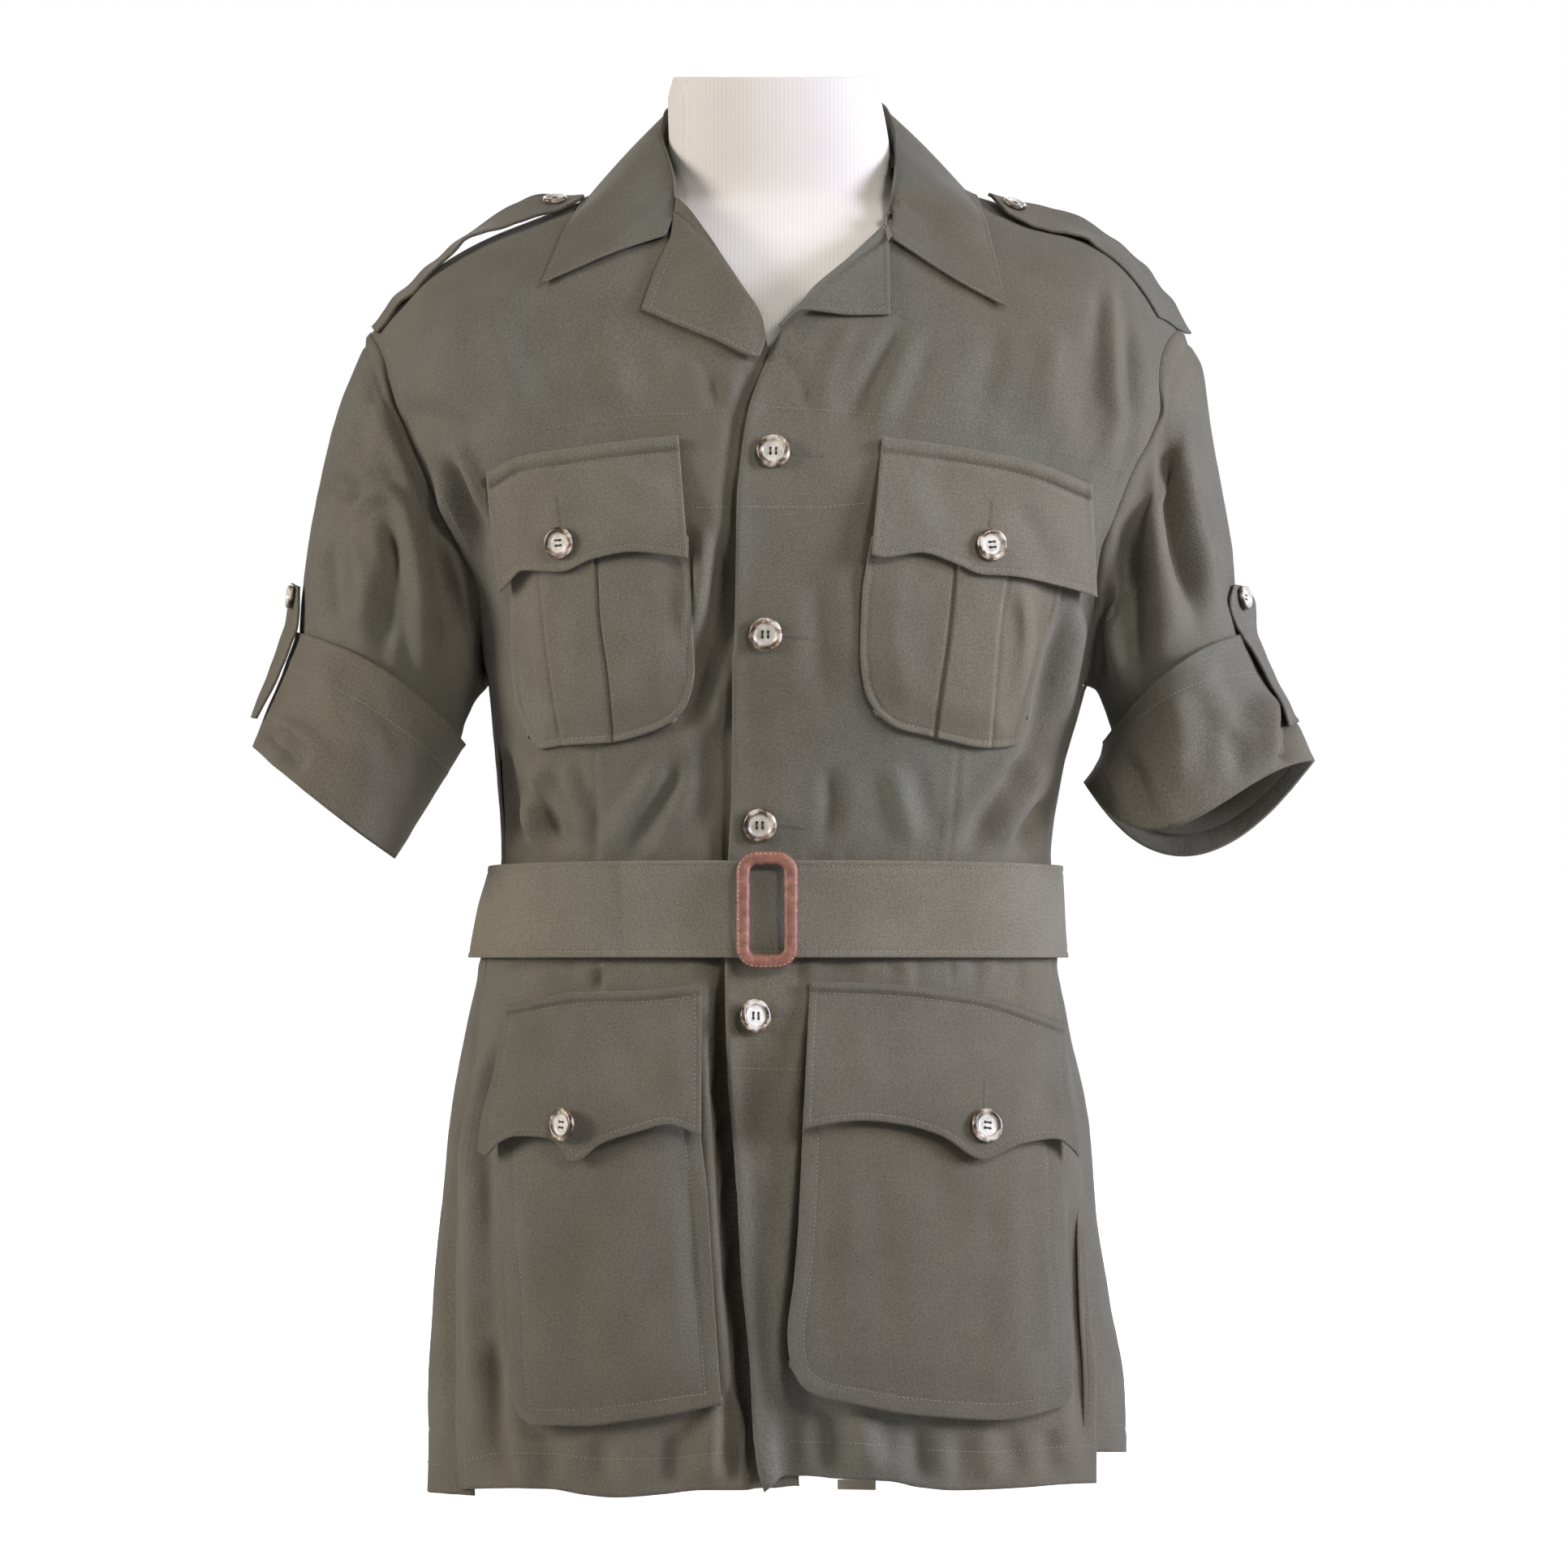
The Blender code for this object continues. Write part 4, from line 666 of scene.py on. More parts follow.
def to_line(u, v, path):
    """Distance from a polyline, the share of its length, and the side (+1 or -1)."""
    path = np.asarray(path, float)
    seg = np.diff(path, axis=0)
    ln = np.hypot(seg[:, 0], seg[:, 1]) + 1e-9
    pos = np.concatenate([[0.0], np.cumsum(ln)])
    best = np.full(np.shape(u), 1e9)
    place, side = np.zeros(np.shape(u)), np.ones(np.shape(u))
    for k in range(len(seg)):
        du, dv = seg[k]
        t = np.clip(((u - path[k, 0]) * du + (v - path[k, 1]) * dv) / ln[k] ** 2, 0, 1)
        a, b = u - path[k, 0] - t * du, v - path[k, 1] - t * dv
        d = np.hypot(a, b)
        near = d < best
        best = np.where(near, d, best)
        place = np.where(near, (pos[k] + t * ln[k]) / pos[-1], place)
        side = np.where(near, np.where(a * dv - b * du > 0, 1.0, -1.0), side)
    return best, place, side


def round_path(path, n=24):
    return along(path, np.linspace(0, 1, n)) if len(path) > 2 else np.asarray(path, float)


def crease(u, v, path, width, rise, sharp=2.0, ends=(0.25, 0.35), lobe=0.3):
    """One soft fold along a path: a ridge, or a trough where rise is negative."""
    d, q, side = to_line(u, v, round_path(path))
    w = width[0] + (width[1] - width[0]) * q
    fade = ease(q / ends[0]) * ease((1 - q) / ends[1])
    x = d / w
    return rise * fade * (np.exp(-x ** sharp) - lobe * np.exp(-((x - 2.1) / 0.9) ** 2))


def step(u, v, path, width, rise, reach=60.0, ends=(0.15, 0.15)):
    """One side of the path is lifted over the other and dies away within reach."""
    d, q, side = to_line(u, v, round_path(path))
    fade = ease(q / ends[0]) * ease((1 - q) / ends[1])
    x = d * side
    return rise * fade * (ease(x / width + 0.5)) * np.exp(-(np.maximum(x, 0) / reach) ** 2)


def stitched(d, at_px, puff=0.00030, dip=0.00030):
    """Relief of a topstitched edge: a soft roll up to the stitches, then a groove."""
    return (puff * np.exp(-((d - at_px * 0.45) / (at_px * 0.38)) ** 2)
            - dip * np.exp(-((d - at_px) / 2.2) ** 2))


def outward(g, wrap=False, ref=None):
    n = normals(g, wrap)
    if ref is None:
        ref = (g - (g.mean(axis=1, keepdims=True) if wrap else 0.0)) * np.array([1.0, 1.0, 0.0])
    return n if (n * ref).sum() > 0 else -n


def net(*grids):
    """A search tree of fine grids."""
    verts, faces, base = [], [], 0
    for g in grids:
        r, c = g.shape[:2]
        i, j = np.meshgrid(np.arange(r - 1), np.arange(c - 1), indexing="ij")
        a = (base + i * c + j).ravel()
        faces.append(np.stack([a, a + 1, a + c + 1], -1))
        faces.append(np.stack([a, a + c + 1, a + c], -1))
        verts.append(g.reshape(-1, 3))
        base += r * c
    return BVHTree.FromPolygons(np.concatenate(verts).tolist(), np.concatenate(faces).tolist())


def closed(g):
    return np.concatenate([g, g[:, :1]], axis=1)


def lay(tree, uv, rise, straight=True):
    """Points seen at uv on the tree, moved out along a smoothed normal."""
    eye = Vector((0.0, -VIEW, EYE_Z))
    r, c = uv.shape[:2]
    p, n = np.empty((r, c, 3)), np.empty((r, c, 3))
    far = at(uv[..., 0], uv[..., 1], 0.0)
    for i in range(r):
        for j in range(c):
            hit, q, _, _ = tree.ray_cast(eye, (Vector(far[i, j]) - eye).normalized())
            if hit is None and not straight:
                # just past the edge: the depth of the nearest point
                guess, _, _, _ = tree.find_nearest(Vector(at(uv[i, j, 0], uv[i, j, 1], -0.04)))
                near, q, _, _ = tree.find_nearest(Vector(at(uv[i, j, 0], uv[i, j, 1], guess.y)))
                hit = Vector(at(uv[i, j, 0], uv[i, j, 1], near.y))
            if hit is None:
                p[i, j], n[i, j] = np.nan, np.nan
                continue
            if q.y > 0:
                q = -q
            p[i, j], n[i, j] = hit, q
    # past the edge of the cloth below, the sheet runs on straight
    for a in (p, n):
        for _ in range(2):
            for i in range(r):
                for j in list(range(2, c)) + list(range(c - 3, -1, -1)):
                    if np.isnan(a[i, j, 0]):
                        for s1, s2 in ((-1, -2), (1, 2)):
                            if 0 <= j + s2 < c and not np.isnan(a[i, j + s1, 0]) and not np.isnan(a[i, j + s2, 0]):
                                a[i, j] = a[i, j + s1] if a is n else 2 * a[i, j + s1] - a[i, j + s2]
                                break
        for i in range(1, r):
            gap_ = np.isnan(a[i, :, 0])
            a[i, gap_] = a[i - 1, gap_]
        for i in range(r - 2, -1, -1):
            gap_ = np.isnan(a[i, :, 0])
            a[i, gap_] = a[i + 1, gap_]
    for _ in range(10):
        m = np.pad(n, ((1, 1), (1, 1), (0, 0)), mode="edge")
        n = unit(m[:-2, 1:-1] + m[2:, 1:-1] + m[1:-1, :-2] + m[1:-1, 2:] + 2 * n)
    return p + n * np.broadcast_to(rise, (r, c))[..., None], n


def soften(g, rounds=2):
    """Evens a grid out, its rim kept."""
    for _ in range(rounds):
        g = g.copy()
        g[1:-1, 1:-1] = (g[:-2, 1:-1] + g[2:, 1:-1] + g[1:-1, :-2] + g[1:-1, 2:] + 2 * g[1:-1, 1:-1]) / 6
    return g


def stand_off(g, tree, need, toward, rounds=3):
    """Keeps each point of a sheet at least need metres off what the tree holds."""
    g = g.copy()
    toward = Vector(toward)
    for _ in range(rounds):
        push = np.zeros(g.shape[:2])
        for i in range(g.shape[0]):
            for j in range(g.shape[1]):
                p = Vector(g[i, j])
                hit, n, _, dist = tree.find_nearest(p, 0.02)
                if hit is None:
                    continue
                if n.dot(toward) < 0:
                    n = -n
                off = (p - hit).dot(n)
                if abs(off) < 0.6 * dist and dist > need:
                    continue
                push[i, j] = max(0.0, need - off)
        if push.max() <= 1e-6:
            break
        wide = push
        for _ in range(3):
            m = np.pad(wide, 1, mode="edge")
            wide = np.maximum(push, (m[:-2, 1:-1] + m[2:, 1:-1] + m[1:-1, :-2] + m[1:-1, 2:]) / 4)
        g += wide[..., None] * np.array(toward.normalized())
    return g


def lengths(g):
    """Cloth coordinates of a grid, in metres."""
    du = np.linalg.norm(np.diff(g, axis=1), axis=-1).mean(axis=0)
    dv = np.linalg.norm(np.diff(g, axis=0), axis=-1).mean(axis=1)
    U = np.concatenate([[0.0], np.cumsum(du)])
    V = np.concatenate([[0.0], np.cumsum(dv)])
    return U, V


def area_of(g):
    a = np.cross(g[1:, :-1] - g[:-1, :-1], g[:-1, 1:] - g[:-1, :-1])
    b = np.cross(g[1:, :-1] - g[1:, 1:], g[:-1, 1:] - g[1:, 1:])
    return (np.linalg.norm(a, axis=-1).sum() + np.linalg.norm(b, axis=-1).sum()) / 2


def finish_piece(ob, mat, nodes):
    bpy.context.scene.collection.objects.link(ob)
    ob.data.materials.clear()
    ob.data.materials.append(mat)
    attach(ob, "root")
    if nodes:
        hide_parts(*nodes)
    return ob


def cloth(name, g, mat, nodes=(), wall=0.0011, wrap=False, out=None, turn=0.0):
    """A thin wall with its outer surface on the grid."""
    if wrap:
        g = closed(g)
    g = g + np.array([SHIFT[0], SHIFT[1], 0.0])
    r, c = g.shape[:2]
    U, V = lengths(g)
    area = area_of(g)
    i, j = np.meshgrid(np.arange(r - 1), np.arange(c - 1), indexing="ij")
    last = c - 1
    if wrap:
        ids = i * last
        a, b = ids + j, ids + (j + 1) % last
        d, e = a + last, b + last
        verts = g[:, :-1].reshape(-1, 3)
    else:
        a = i * c + j
        b, d = a + 1, a + c
        e = d + 1
        verts = g.reshape(-1, 3)
    n = normals(g)
    if out is not None:
        ref = np.broadcast_to(np.asarray(out, float), g.shape)
    elif wrap:
        ref = g - g[:, :-1].mean(axis=1, keepdims=True)
    else:
        ref = g * np.array([1.0, 1.0, 0.0])
    flip = (n * ref).sum() < 0
    quad = np.stack([a, b, e, d], -1).reshape(-1, 4)
    su = np.stack([U[j], U[j + 1], U[j + 1], U[j]], -1).reshape(-1, 4)
    sv = np.stack([V[i], V[i], V[i + 1], V[i + 1]], -1).reshape(-1, 4)
    if flip:
        quad, su, sv = quad[:, ::-1], su[:, ::-1], sv[:, ::-1]
    me = bpy.data.meshes.new(name)
    me.from_pydata(verts.tolist(), [], quad.tolist())
    layer = me.uv_layers.new(name="cloth")
    co, si = math.cos(turn), math.sin(turn)
    uv = np.stack([su * co - sv * si, su * si + sv * co], -1).reshape(-1)
    layer.data.foreach_set("uv", uv.astype(np.float32))
    me.update()
    me.shade_smooth()
    ob = bpy.data.objects.new(name, me)
    mod = ob.modifiers.new("wall", "SOLIDIFY")
    mod.thickness = wall
    mod.offset = -1.0
    mod.use_even_offset = False
    mod.use_rim = True
    finish_piece(ob, mat, nodes)
    print("AREA %-20s %.4f  %.3f x %.3f  tris %d" % (name, area, U[-1], V[-1], 4 * quad.shape[0]))
    return ob


def solid(name, verts, faces, mat, nodes=(), smooth_it=True, uv=None):
    me = bpy.data.meshes.new(name)
    me.from_pydata([tuple(p) for p in verts], [], faces)
    if uv is not None:
        layer = me.uv_layers.new(name="cloth")
        layer.data.foreach_set("uv", np.asarray(uv, np.float32).reshape(-1))
    me.update()
    if smooth_it:
        me.shade_smooth()
    return finish_piece(bpy.data.objects.new(name, me), mat, nodes)


# ---- stitches: small spindles, gathered into joined meshes
STITCH = []
TWIST = np.linspace(0, 2 * math.pi, 6, endpoint=False)


def spindle(p, t, n, length, radius, store=None):
    """One stitch at p along t, half sunk along n."""
    t = t / (np.linalg.norm(t) + 1e-12)
    n = n - t * n.dot(t)
    n = n / (np.linalg.norm(n) + 1e-12)
    b = np.cross(t, n)
    ring = np.cos(TWIST)[:, None] * b * radius + np.sin(TWIST)[:, None] * n * radius
    body = [p - t * length / 2 - n * radius * 0.5]
    verts = np.concatenate([body, p - t * length * 0.28 + ring * 0.95, p + t * length * 0.28 + ring * 0.95,
                            [p + t * length / 2 - n * radius * 0.5]])
    (STITCH if store is None else store).append(verts)


SPINDLE_FACES = ([(0, 1 + (k + 1) % 6, 1 + k) for k in range(6)]
                 + [(1 + k, 1 + (k + 1) % 6, 7 + (k + 1) % 6, 7 + k) for k in range(6)]
                 + [(13, 7 + k, 7 + (k + 1) % 6) for k in range(6)])


def sew(name, store, mat):
    verts = np.concatenate(store) + np.array([SHIFT[0], SHIFT[1], 0.0])
    faces = [tuple(14 * k + i for i in f) for k in range(len(store)) for f in SPINDLE_FACES]
    ob = solid(name, verts, faces, mat)
    print("STITCHES", name, len(store), "tris", 24 * len(store))
    return ob


def sew_line(tree, path, pitch=5.6, length=0.0019, radius=0.00024, store=None, lift=0.00004, skip=0.0, smoothly=True):
    """Stitches seen along a drawing line, on what the tree holds."""
    path = np.asarray(path, float)
    total = np.linalg.norm(np.diff(path, axis=0), axis=1).sum()
    n = max(2, int(total / pitch))
    q = np.linspace(0, 1, n * 4 + 1)
    pts = along(path, q) if smoothly and len(path) > 2 else np.stack(
        [np.interp(q, np.concatenate([[0], np.cumsum(np.linalg.norm(np.diff(path, axis=0), axis=1))]) / total, path[:, k])
         for k in (0, 1)], -1)
    eye = Vector((0.0, -VIEW, EYE_Z))
    hits = []
    for u, v in pts:
        far = Vector(at(u, v, 0.0))
        hit, m, _, _ = tree.ray_cast(eye, (far - eye).normalized())
        hits.append((None, None) if hit is None else (np.array(hit), np.array(m if m.y < 0 else -m)))
    for k in range(n):
        a, b, c = hits[4 * k + 1], hits[4 * k + 2], hits[4 * k + 3]
        if a[0] is None or b[0] is None or c[0] is None:
            continue
        if np.linalg.norm(a[0] - c[0]) > 3.0 * length:
            continue
        spindle(b[0] + b[1] * lift, c[0] - a[0], b[1], length, radius, store)


def sew_points(pts, nrm, pitch=0.0026, length=0.0019, radius=0.00024, store=None, lift=0.00004):
    """Stitches along a line of points in space."""
    step_ = np.linalg.norm(np.diff(pts, axis=0), axis=1)
    pos = np.concatenate([[0.0], np.cumsum(step_)])
    n = max(2, int(pos[-1] / pitch))
    for k in range(n):
        d = (k + 0.5) / n * pos[-1]
        e = min(pos[-1], d + 0.0006)
        p = np.array([np.interp(d, pos, pts[:, i]) for i in range(3)])
        q = np.array([np.interp(e, pos, pts[:, i]) for i in range(3)])
        m = np.array([np.interp(d, pos, nrm[:, i]) for i in range(3)])
        spindle(p + m * lift, q - p, m, length, radius, store)


def inset(path, d, toward):
    """A drawing line moved d units to the side on which the point toward lies."""
    path = np.asarray(path, float)
    q = np.linspace(0, 1, max(60, len(path)))[:, None]
    pts = round_path(path, 60) if len(path) > 2 else path[0] * (1 - q) + path[1] * q
    t = np.gradient(pts, axis=0)
    n = np.stack([t[:, 1], -t[:, 0]], -1)
    n = n / (np.linalg.norm(n, axis=1, keepdims=True) + 1e-9)
    mid = pts[len(pts) // 2]
    if (n * (np.asarray(toward, float) - mid)).sum() < 0:
        n = -n
    out = pts + n * d
    step_ = np.linalg.norm(np.diff(pts, axis=0), axis=1)
    pos = np.concatenate([[0.0], np.cumsum(step_)])
    keep = (pos > d * 0.95) & (pos < pos[-1] - d * 0.95)
    return out[keep]


def spot(tree, u, v):
    """Hit point and outward normal seen at (u, v)."""
    eye = Vector((0.0, -VIEW, EYE_Z))
    far = Vector(at(u, v, 0.0))
    hit, n, _, _ = tree.ray_cast(eye, (far - eye).normalized())
    if hit is None:
        return None, None
    return hit, (-n if n.y > 0 else n)


# ---- materials
def node(nt, kind, x=0, y=0, **values):
    n = nt.nodes.new(kind)
    n.location = (x, y)
    for k, v in values.items():
        if k in n.inputs:
            n.inputs[k].default_value = v
        else:
            setattr(n, k, v)
    return n


def start(name):
    m = bpy.data.materials.new(name)
    m.use_nodes = True
    nt = m.node_tree
    return m, nt, nt.nodes["Principled BSDF"]


def ramp(nt, stops, source, interpolation="LINEAR"):
    r = nt.nodes.new("ShaderNodeValToRGB")
    r.color_ramp.interpolation = interpolation
    while len(r.color_ramp.elements) < len(stops):
        r.color_ramp.elements.new(0.5)
    for e, (p, c) in zip(r.color_ramp.elements, stops):
        e.position = p
        e.color = (c[0], c[1], c[2], 1.0)
    nt.links.new(source, r.inputs["Fac"])
    return r


def mix(nt, a, b, fac, blend="MIX"):
    n = nt.nodes.new("ShaderNodeMix")
    n.data_type = "RGBA"
    n.blend_type = blend
    for sock, val in ((n.inputs[0], fac), (n.inputs[6], a), (n.inputs[7], b)):
        if hasattr(val, "is_output"):
            nt.links.new(val, sock)
        elif sock.type == "RGBA":
            sock.default_value = (val[0], val[1], val[2], 1.0)
        else:
            sock.default_value = val
    return n.outputs[2]


def noise(nt, vec, scale, detail=3.0, rough=0.55, stretch=None):
    if stretch is not None:
        mp = nt.nodes.new("ShaderNodeMapping")
        mp.inputs["Scale"].default_value = stretch
        nt.links.new(vec, mp.inputs["Vector"])
        vec = mp.outputs["Vector"]
    n = nt.nodes.new("ShaderNodeTexNoise")
    n.inputs["Scale"].default_value = scale
    n.inputs["Detail"].default_value = detail
    n.inputs["Roughness"].default_value = rough
    nt.links.new(vec, n.inputs["Vector"])
    return n.outputs["Fac"]


DARK, MID_TONE, LIGHT = (0.090, 0.083, 0.064), (0.121, 0.1125, 0.0885), (0.156, 0.147, 0.118)


def drill_material(name, shade=1.0, offset=0.0):
    """Olive-grey drill: large cloudy patches, a fine speckle and a diagonal weave."""
    m, nt, b = start(name)
    tc = nt.nodes.new("ShaderNodeTexCoord")
    uv = nt.nodes.new("ShaderNodeUVMap")
    uv.uv_map = "cloth"
    place_ = nt.nodes.new("ShaderNodeMapping")
    place_.inputs["Location"].default_value = (offset, offset * 0.7, offset * 1.3)
    nt.links.new(tc.outputs["Object"], place_.inputs["Vector"])
    pos = place_.outputs["Vector"]
    cloud = noise(nt, pos, 9.0, 3.0, 0.5, (1.0, 1.0, 0.55))
    patch_ = noise(nt, pos, 38.0, 3.0, 0.55, (1.0, 1.0, 0.8))
    speck = noise(nt, uv.outputs["UV"], 760.0, 3.0, 0.7, (1.0, 1.0, 1.0))
    slub = noise(nt, uv.outputs["UV"], 240.0, 2.0, 0.6, (3.2, 0.55, 1.0))
    # shade scales the whole tone of a copy: painted light on the belt and chest pieces, painted shade on the hip pieces
    tone = ramp(nt, ((0.30, [c * shade for c in DARK]), (0.5, [c * shade for c in MID_TONE]),
                     (0.72, [c * shade for c in LIGHT])), speck)
    warm = ramp(nt, ((0.34, (1.00, 0.95, 0.885)), (0.5, (1.01, 1.0, 0.985)), (0.66, (0.99, 1.045, 1.08))), cloud)
    c = mix(nt, tone.outputs["Color"], warm.outputs["Color"], 1.0, "MULTIPLY")
    worn = ramp(nt, ((0.30, (0.925, 0.92, 0.915)), (0.70, (1.07, 1.07, 1.07))), patch_)
    c = mix(nt, c, worn.outputs["Color"], 1.0, "MULTIPLY")
    thread = ramp(nt, ((0.30, (0.94, 0.94, 0.94)), (0.70, (1.06, 1.06, 1.06))), slub)
    c = mix(nt, c, thread.outputs["Color"], 1.0, "MULTIPLY")
    nt.links.new(c, b.inputs["Base Color"])
    b.inputs["Roughness"].default_value = 0.82
    b.inputs["Specular IOR Level"].default_value = 0.28
    b.inputs["Sheen Weight"].default_value = 0.20
    b.inputs["Sheen Roughness"].default_value = 0.45
    b.inputs["Sheen Tint"].default_value = (0.62, 0.60, 0.55, 1.0)
    # twill lines, and the speckle as relief
    wave = nt.nodes.new("ShaderNodeTexWave")
    wave.wave_type = "BANDS"
    wave.bands_direction = "DIAGONAL"
    wave.inputs["Scale"].default_value = 330.0
    wave.inputs["Distortion"].default_value = 1.2
    wave.inputs["Detail"].default_value = 1.0
    nt.links.new(uv.outputs["UV"], wave.inputs["Vector"])
    bump = nt.nodes.new("ShaderNodeBump")
    bump.inputs["Strength"].default_value = 0.22
    bump.inputs["Distance"].default_value = 0.00022
    nt.links.new(wave.outputs["Fac"], bump.inputs["Height"])
    bump2 = nt.nodes.new("ShaderNodeBump")
    bump2.inputs["Strength"].default_value = 0.35
    bump2.inputs["Distance"].default_value = 0.0003
    nt.links.new(speck, bump2.inputs["Height"])
    nt.links.new(bump.outputs["Normal"], bump2.inputs["Normal"])
    nt.links.new(bump2.outputs["Normal"], b.inputs["Normal"])
    return m


def plain_material(name, colour, rough, sheen=0.0):
    m, nt, b = start(name)
    b.inputs["Base Color"].default_value = (*colour, 1.0)
    b.inputs["Roughness"].default_value = rough
    b.inputs["Sheen Weight"].default_value = sheen
    return m


def knit_material():
    m, nt, b = start("rib_knit")
    uv = nt.nodes.new("ShaderNodeUVMap")
    uv.uv_map = "cloth"
    wave = nt.nodes.new("ShaderNodeTexWave")
    wave.wave_type = "BANDS"
    wave.bands_direction = "X"
    wave.inputs["Scale"].default_value = 134.0
    wave.inputs["Distortion"].default_value = 0.0
    nt.links.new(uv.outputs["UV"], wave.inputs["Vector"])
    fuzz = noise(nt, uv.outputs["UV"], 700.0, 2.0, 0.6)
    tone = ramp(nt, ((0.0, (0.89, 0.855, 0.82)), (0.5, (0.935, 0.90, 0.865)), (1.0, (0.95, 0.92, 0.885))), wave.outputs["Fac"])
    worn = ramp(nt, ((0.3, (0.96, 0.955, 0.95)), (0.7, (1.0, 1.0, 1.0))), fuzz)
    tint = mix(nt, tone.outputs["Color"], worn.outputs["Color"], 1.0, "MULTIPLY")
    height = nt.nodes.new("ShaderNodeSeparateXYZ")
    nt.links.new(uv.outputs["UV"], height.inputs["Vector"])
    # painted shade: the knit darkens upward from about 0.72 m, on the neck above the collar
    neck_top_painted_shade = ramp(nt, ((0.69, (1.0, 1.0, 1.0)), (0.75, (0.78, 0.77, 0.755))), height.outputs["Y"])
    nt.links.new(mix(nt, tint, neck_top_painted_shade.outputs["Color"], 1.0, "MULTIPLY"), b.inputs["Base Color"])
    b.inputs["Roughness"].default_value = 0.9
    b.inputs["Sheen Weight"].default_value = 0.05
    bump = nt.nodes.new("ShaderNodeBump")
    bump.inputs["Strength"].default_value = 0.12
    bump.inputs["Distance"].default_value = 0.0002
    nt.links.new(wave.outputs["Fac"], bump.inputs["Height"])
    nt.links.new(bump.outputs["Normal"], b.inputs["Normal"])
    return m


def leather_material():
    m, nt, b = start("covered_leather")
    tc = nt.nodes.new("ShaderNodeTexCoord")
    grain = nt.nodes.new("ShaderNodeTexVoronoi")
    grain.inputs["Scale"].default_value = 1500.0
    nt.links.new(tc.outputs["Object"], grain.inputs["Vector"])
    spots = noise(nt, tc.outputs["Object"], 260.0, 3.0, 0.6)
    tone = ramp(nt, ((0.25, (0.150, 0.060, 0.042)), (0.55, (0.250, 0.108, 0.076)), (0.80, (0.36, 0.18, 0.135))), spots)
    pore = ramp(nt, ((0.1, (0.80, 0.80, 0.80)), (0.6, (1.06, 1.06, 1.06))), grain.outputs["Distance"])
    nt.links.new(mix(nt, tone.outputs["Color"], pore.outputs["Color"], 1.0, "MULTIPLY"), b.inputs["Base Color"])
    b.inputs["Roughness"].default_value = 0.5
    bump = nt.nodes.new("ShaderNodeBump")
    bump.inputs["Strength"].default_value = 0.5
    bump.inputs["Distance"].default_value = 0.0004
    nt.links.new(spots, bump.inputs["Height"])
    nt.links.new(bump.outputs["Normal"], b.inputs["Normal"])
    return m


def horn_material(seed):
    """Cream middle, mottled brown rim; the button's own z is its axis."""
    m, nt, b = start("horn_%d" % seed)
    tc = nt.nodes.new("ShaderNodeTexCoord")
    sep = nt.nodes.new("ShaderNodeSeparateXYZ")
    nt.links.new(tc.outputs["Object"], sep.inputs["Vector"])
    flat = nt.nodes.new("ShaderNodeCombineXYZ")
    nt.links.new(sep.outputs["X"], flat.inputs["X"])
    nt.links.new(sep.outputs["Y"], flat.inputs["Y"])
    radius = nt.nodes.new("ShaderNodeVectorMath")
    radius.operation = "LENGTH"
    nt.links.new(flat.outputs["Vector"], radius.inputs[0])
    scale = nt.nodes.new("ShaderNodeMath")
    scale.operation = "MULTIPLY"
    scale.inputs[1].default_value = 100.0
    nt.links.new(radius.outputs["Value"], scale.inputs[0])
    shift = nt.nodes.new("ShaderNodeMapping")
    shift.inputs["Location"].default_value = (seed * 0.137, seed * 0.071, 0.0)
    nt.links.new(tc.outputs["Object"], shift.inputs["Vector"])
    blot = noise(nt, shift.outputs["Vector"], 150.0, 3.0, 0.55)
    fine = noise(nt, shift.outputs["Vector"], 900.0, 3.0, 0.6)
    rim = ramp(nt, ((0.36, (0.035, 0.024, 0.017)), (0.46, (0.12, 0.080, 0.056)), (0.53, (0.30, 0.235, 0.175)),
                    (0.62, (0.62, 0.57, 0.49))), blot)
    centre = ramp(nt, ((0.35, (0.50, 0.47, 0.40)), (0.60, (0.72, 0.70, 0.64))), blot)
    where = ramp(nt, ((0.54, (0.0, 0.0, 0.0)), (0.66, (1.0, 1.0, 1.0))), scale.outputs["Value"])
    c = mix(nt, centre.outputs["Color"], rim.outputs["Color"], where.outputs["Color"])
    streak = ramp(nt, ((0.3, (0.88, 0.87, 0.85)), (0.7, (1.05, 1.05, 1.05))), fine)
    c = mix(nt, c, streak.outputs["Color"], 1.0, "MULTIPLY")
    nt.links.new(c, b.inputs["Base Color"])
    b.inputs["Roughness"].default_value = 0.26
    b.inputs["Coat Weight"].default_value = 0.3
    b.inputs["Coat Roughness"].default_value = 0.15
    return m


DRILL = drill_material("drill")
DRILL_B = drill_material("drill_b", 1.0, 3.1)
DRILL_C = drill_material("drill_c", 0.97, 7.7)
# painted light: the belt's copy of the drill is brightened to stand for the light it catches
DRILL_BELT_PAINTED_LIGHT = drill_material("drill_belt_painted_light", 1.28, 5.3)
# painted light: the chest pockets' and flaps' copy of the drill is brightened
DRILL_CHEST_PAINTED_LIGHT = drill_material("drill_chest_painted_light", 1.16, 1.9)
# painted shade: the hip pockets' and flaps' copy of the drill is darkened
DRILL_HIP_PAINTED_SHADE = drill_material("drill_hip_painted_shade", 0.92, 4.4)
THREAD = plain_material("thread", (0.235, 0.218, 0.180), 0.75)
HOLE_THREAD = plain_material("hole_thread", (0.175, 0.164, 0.134), 0.85)
DARK_THREAD = plain_material("dark_thread", (0.030, 0.026, 0.020), 0.7)
PALE_THREAD = plain_material("pale_thread", (0.52, 0.36, 0.27), 0.7)

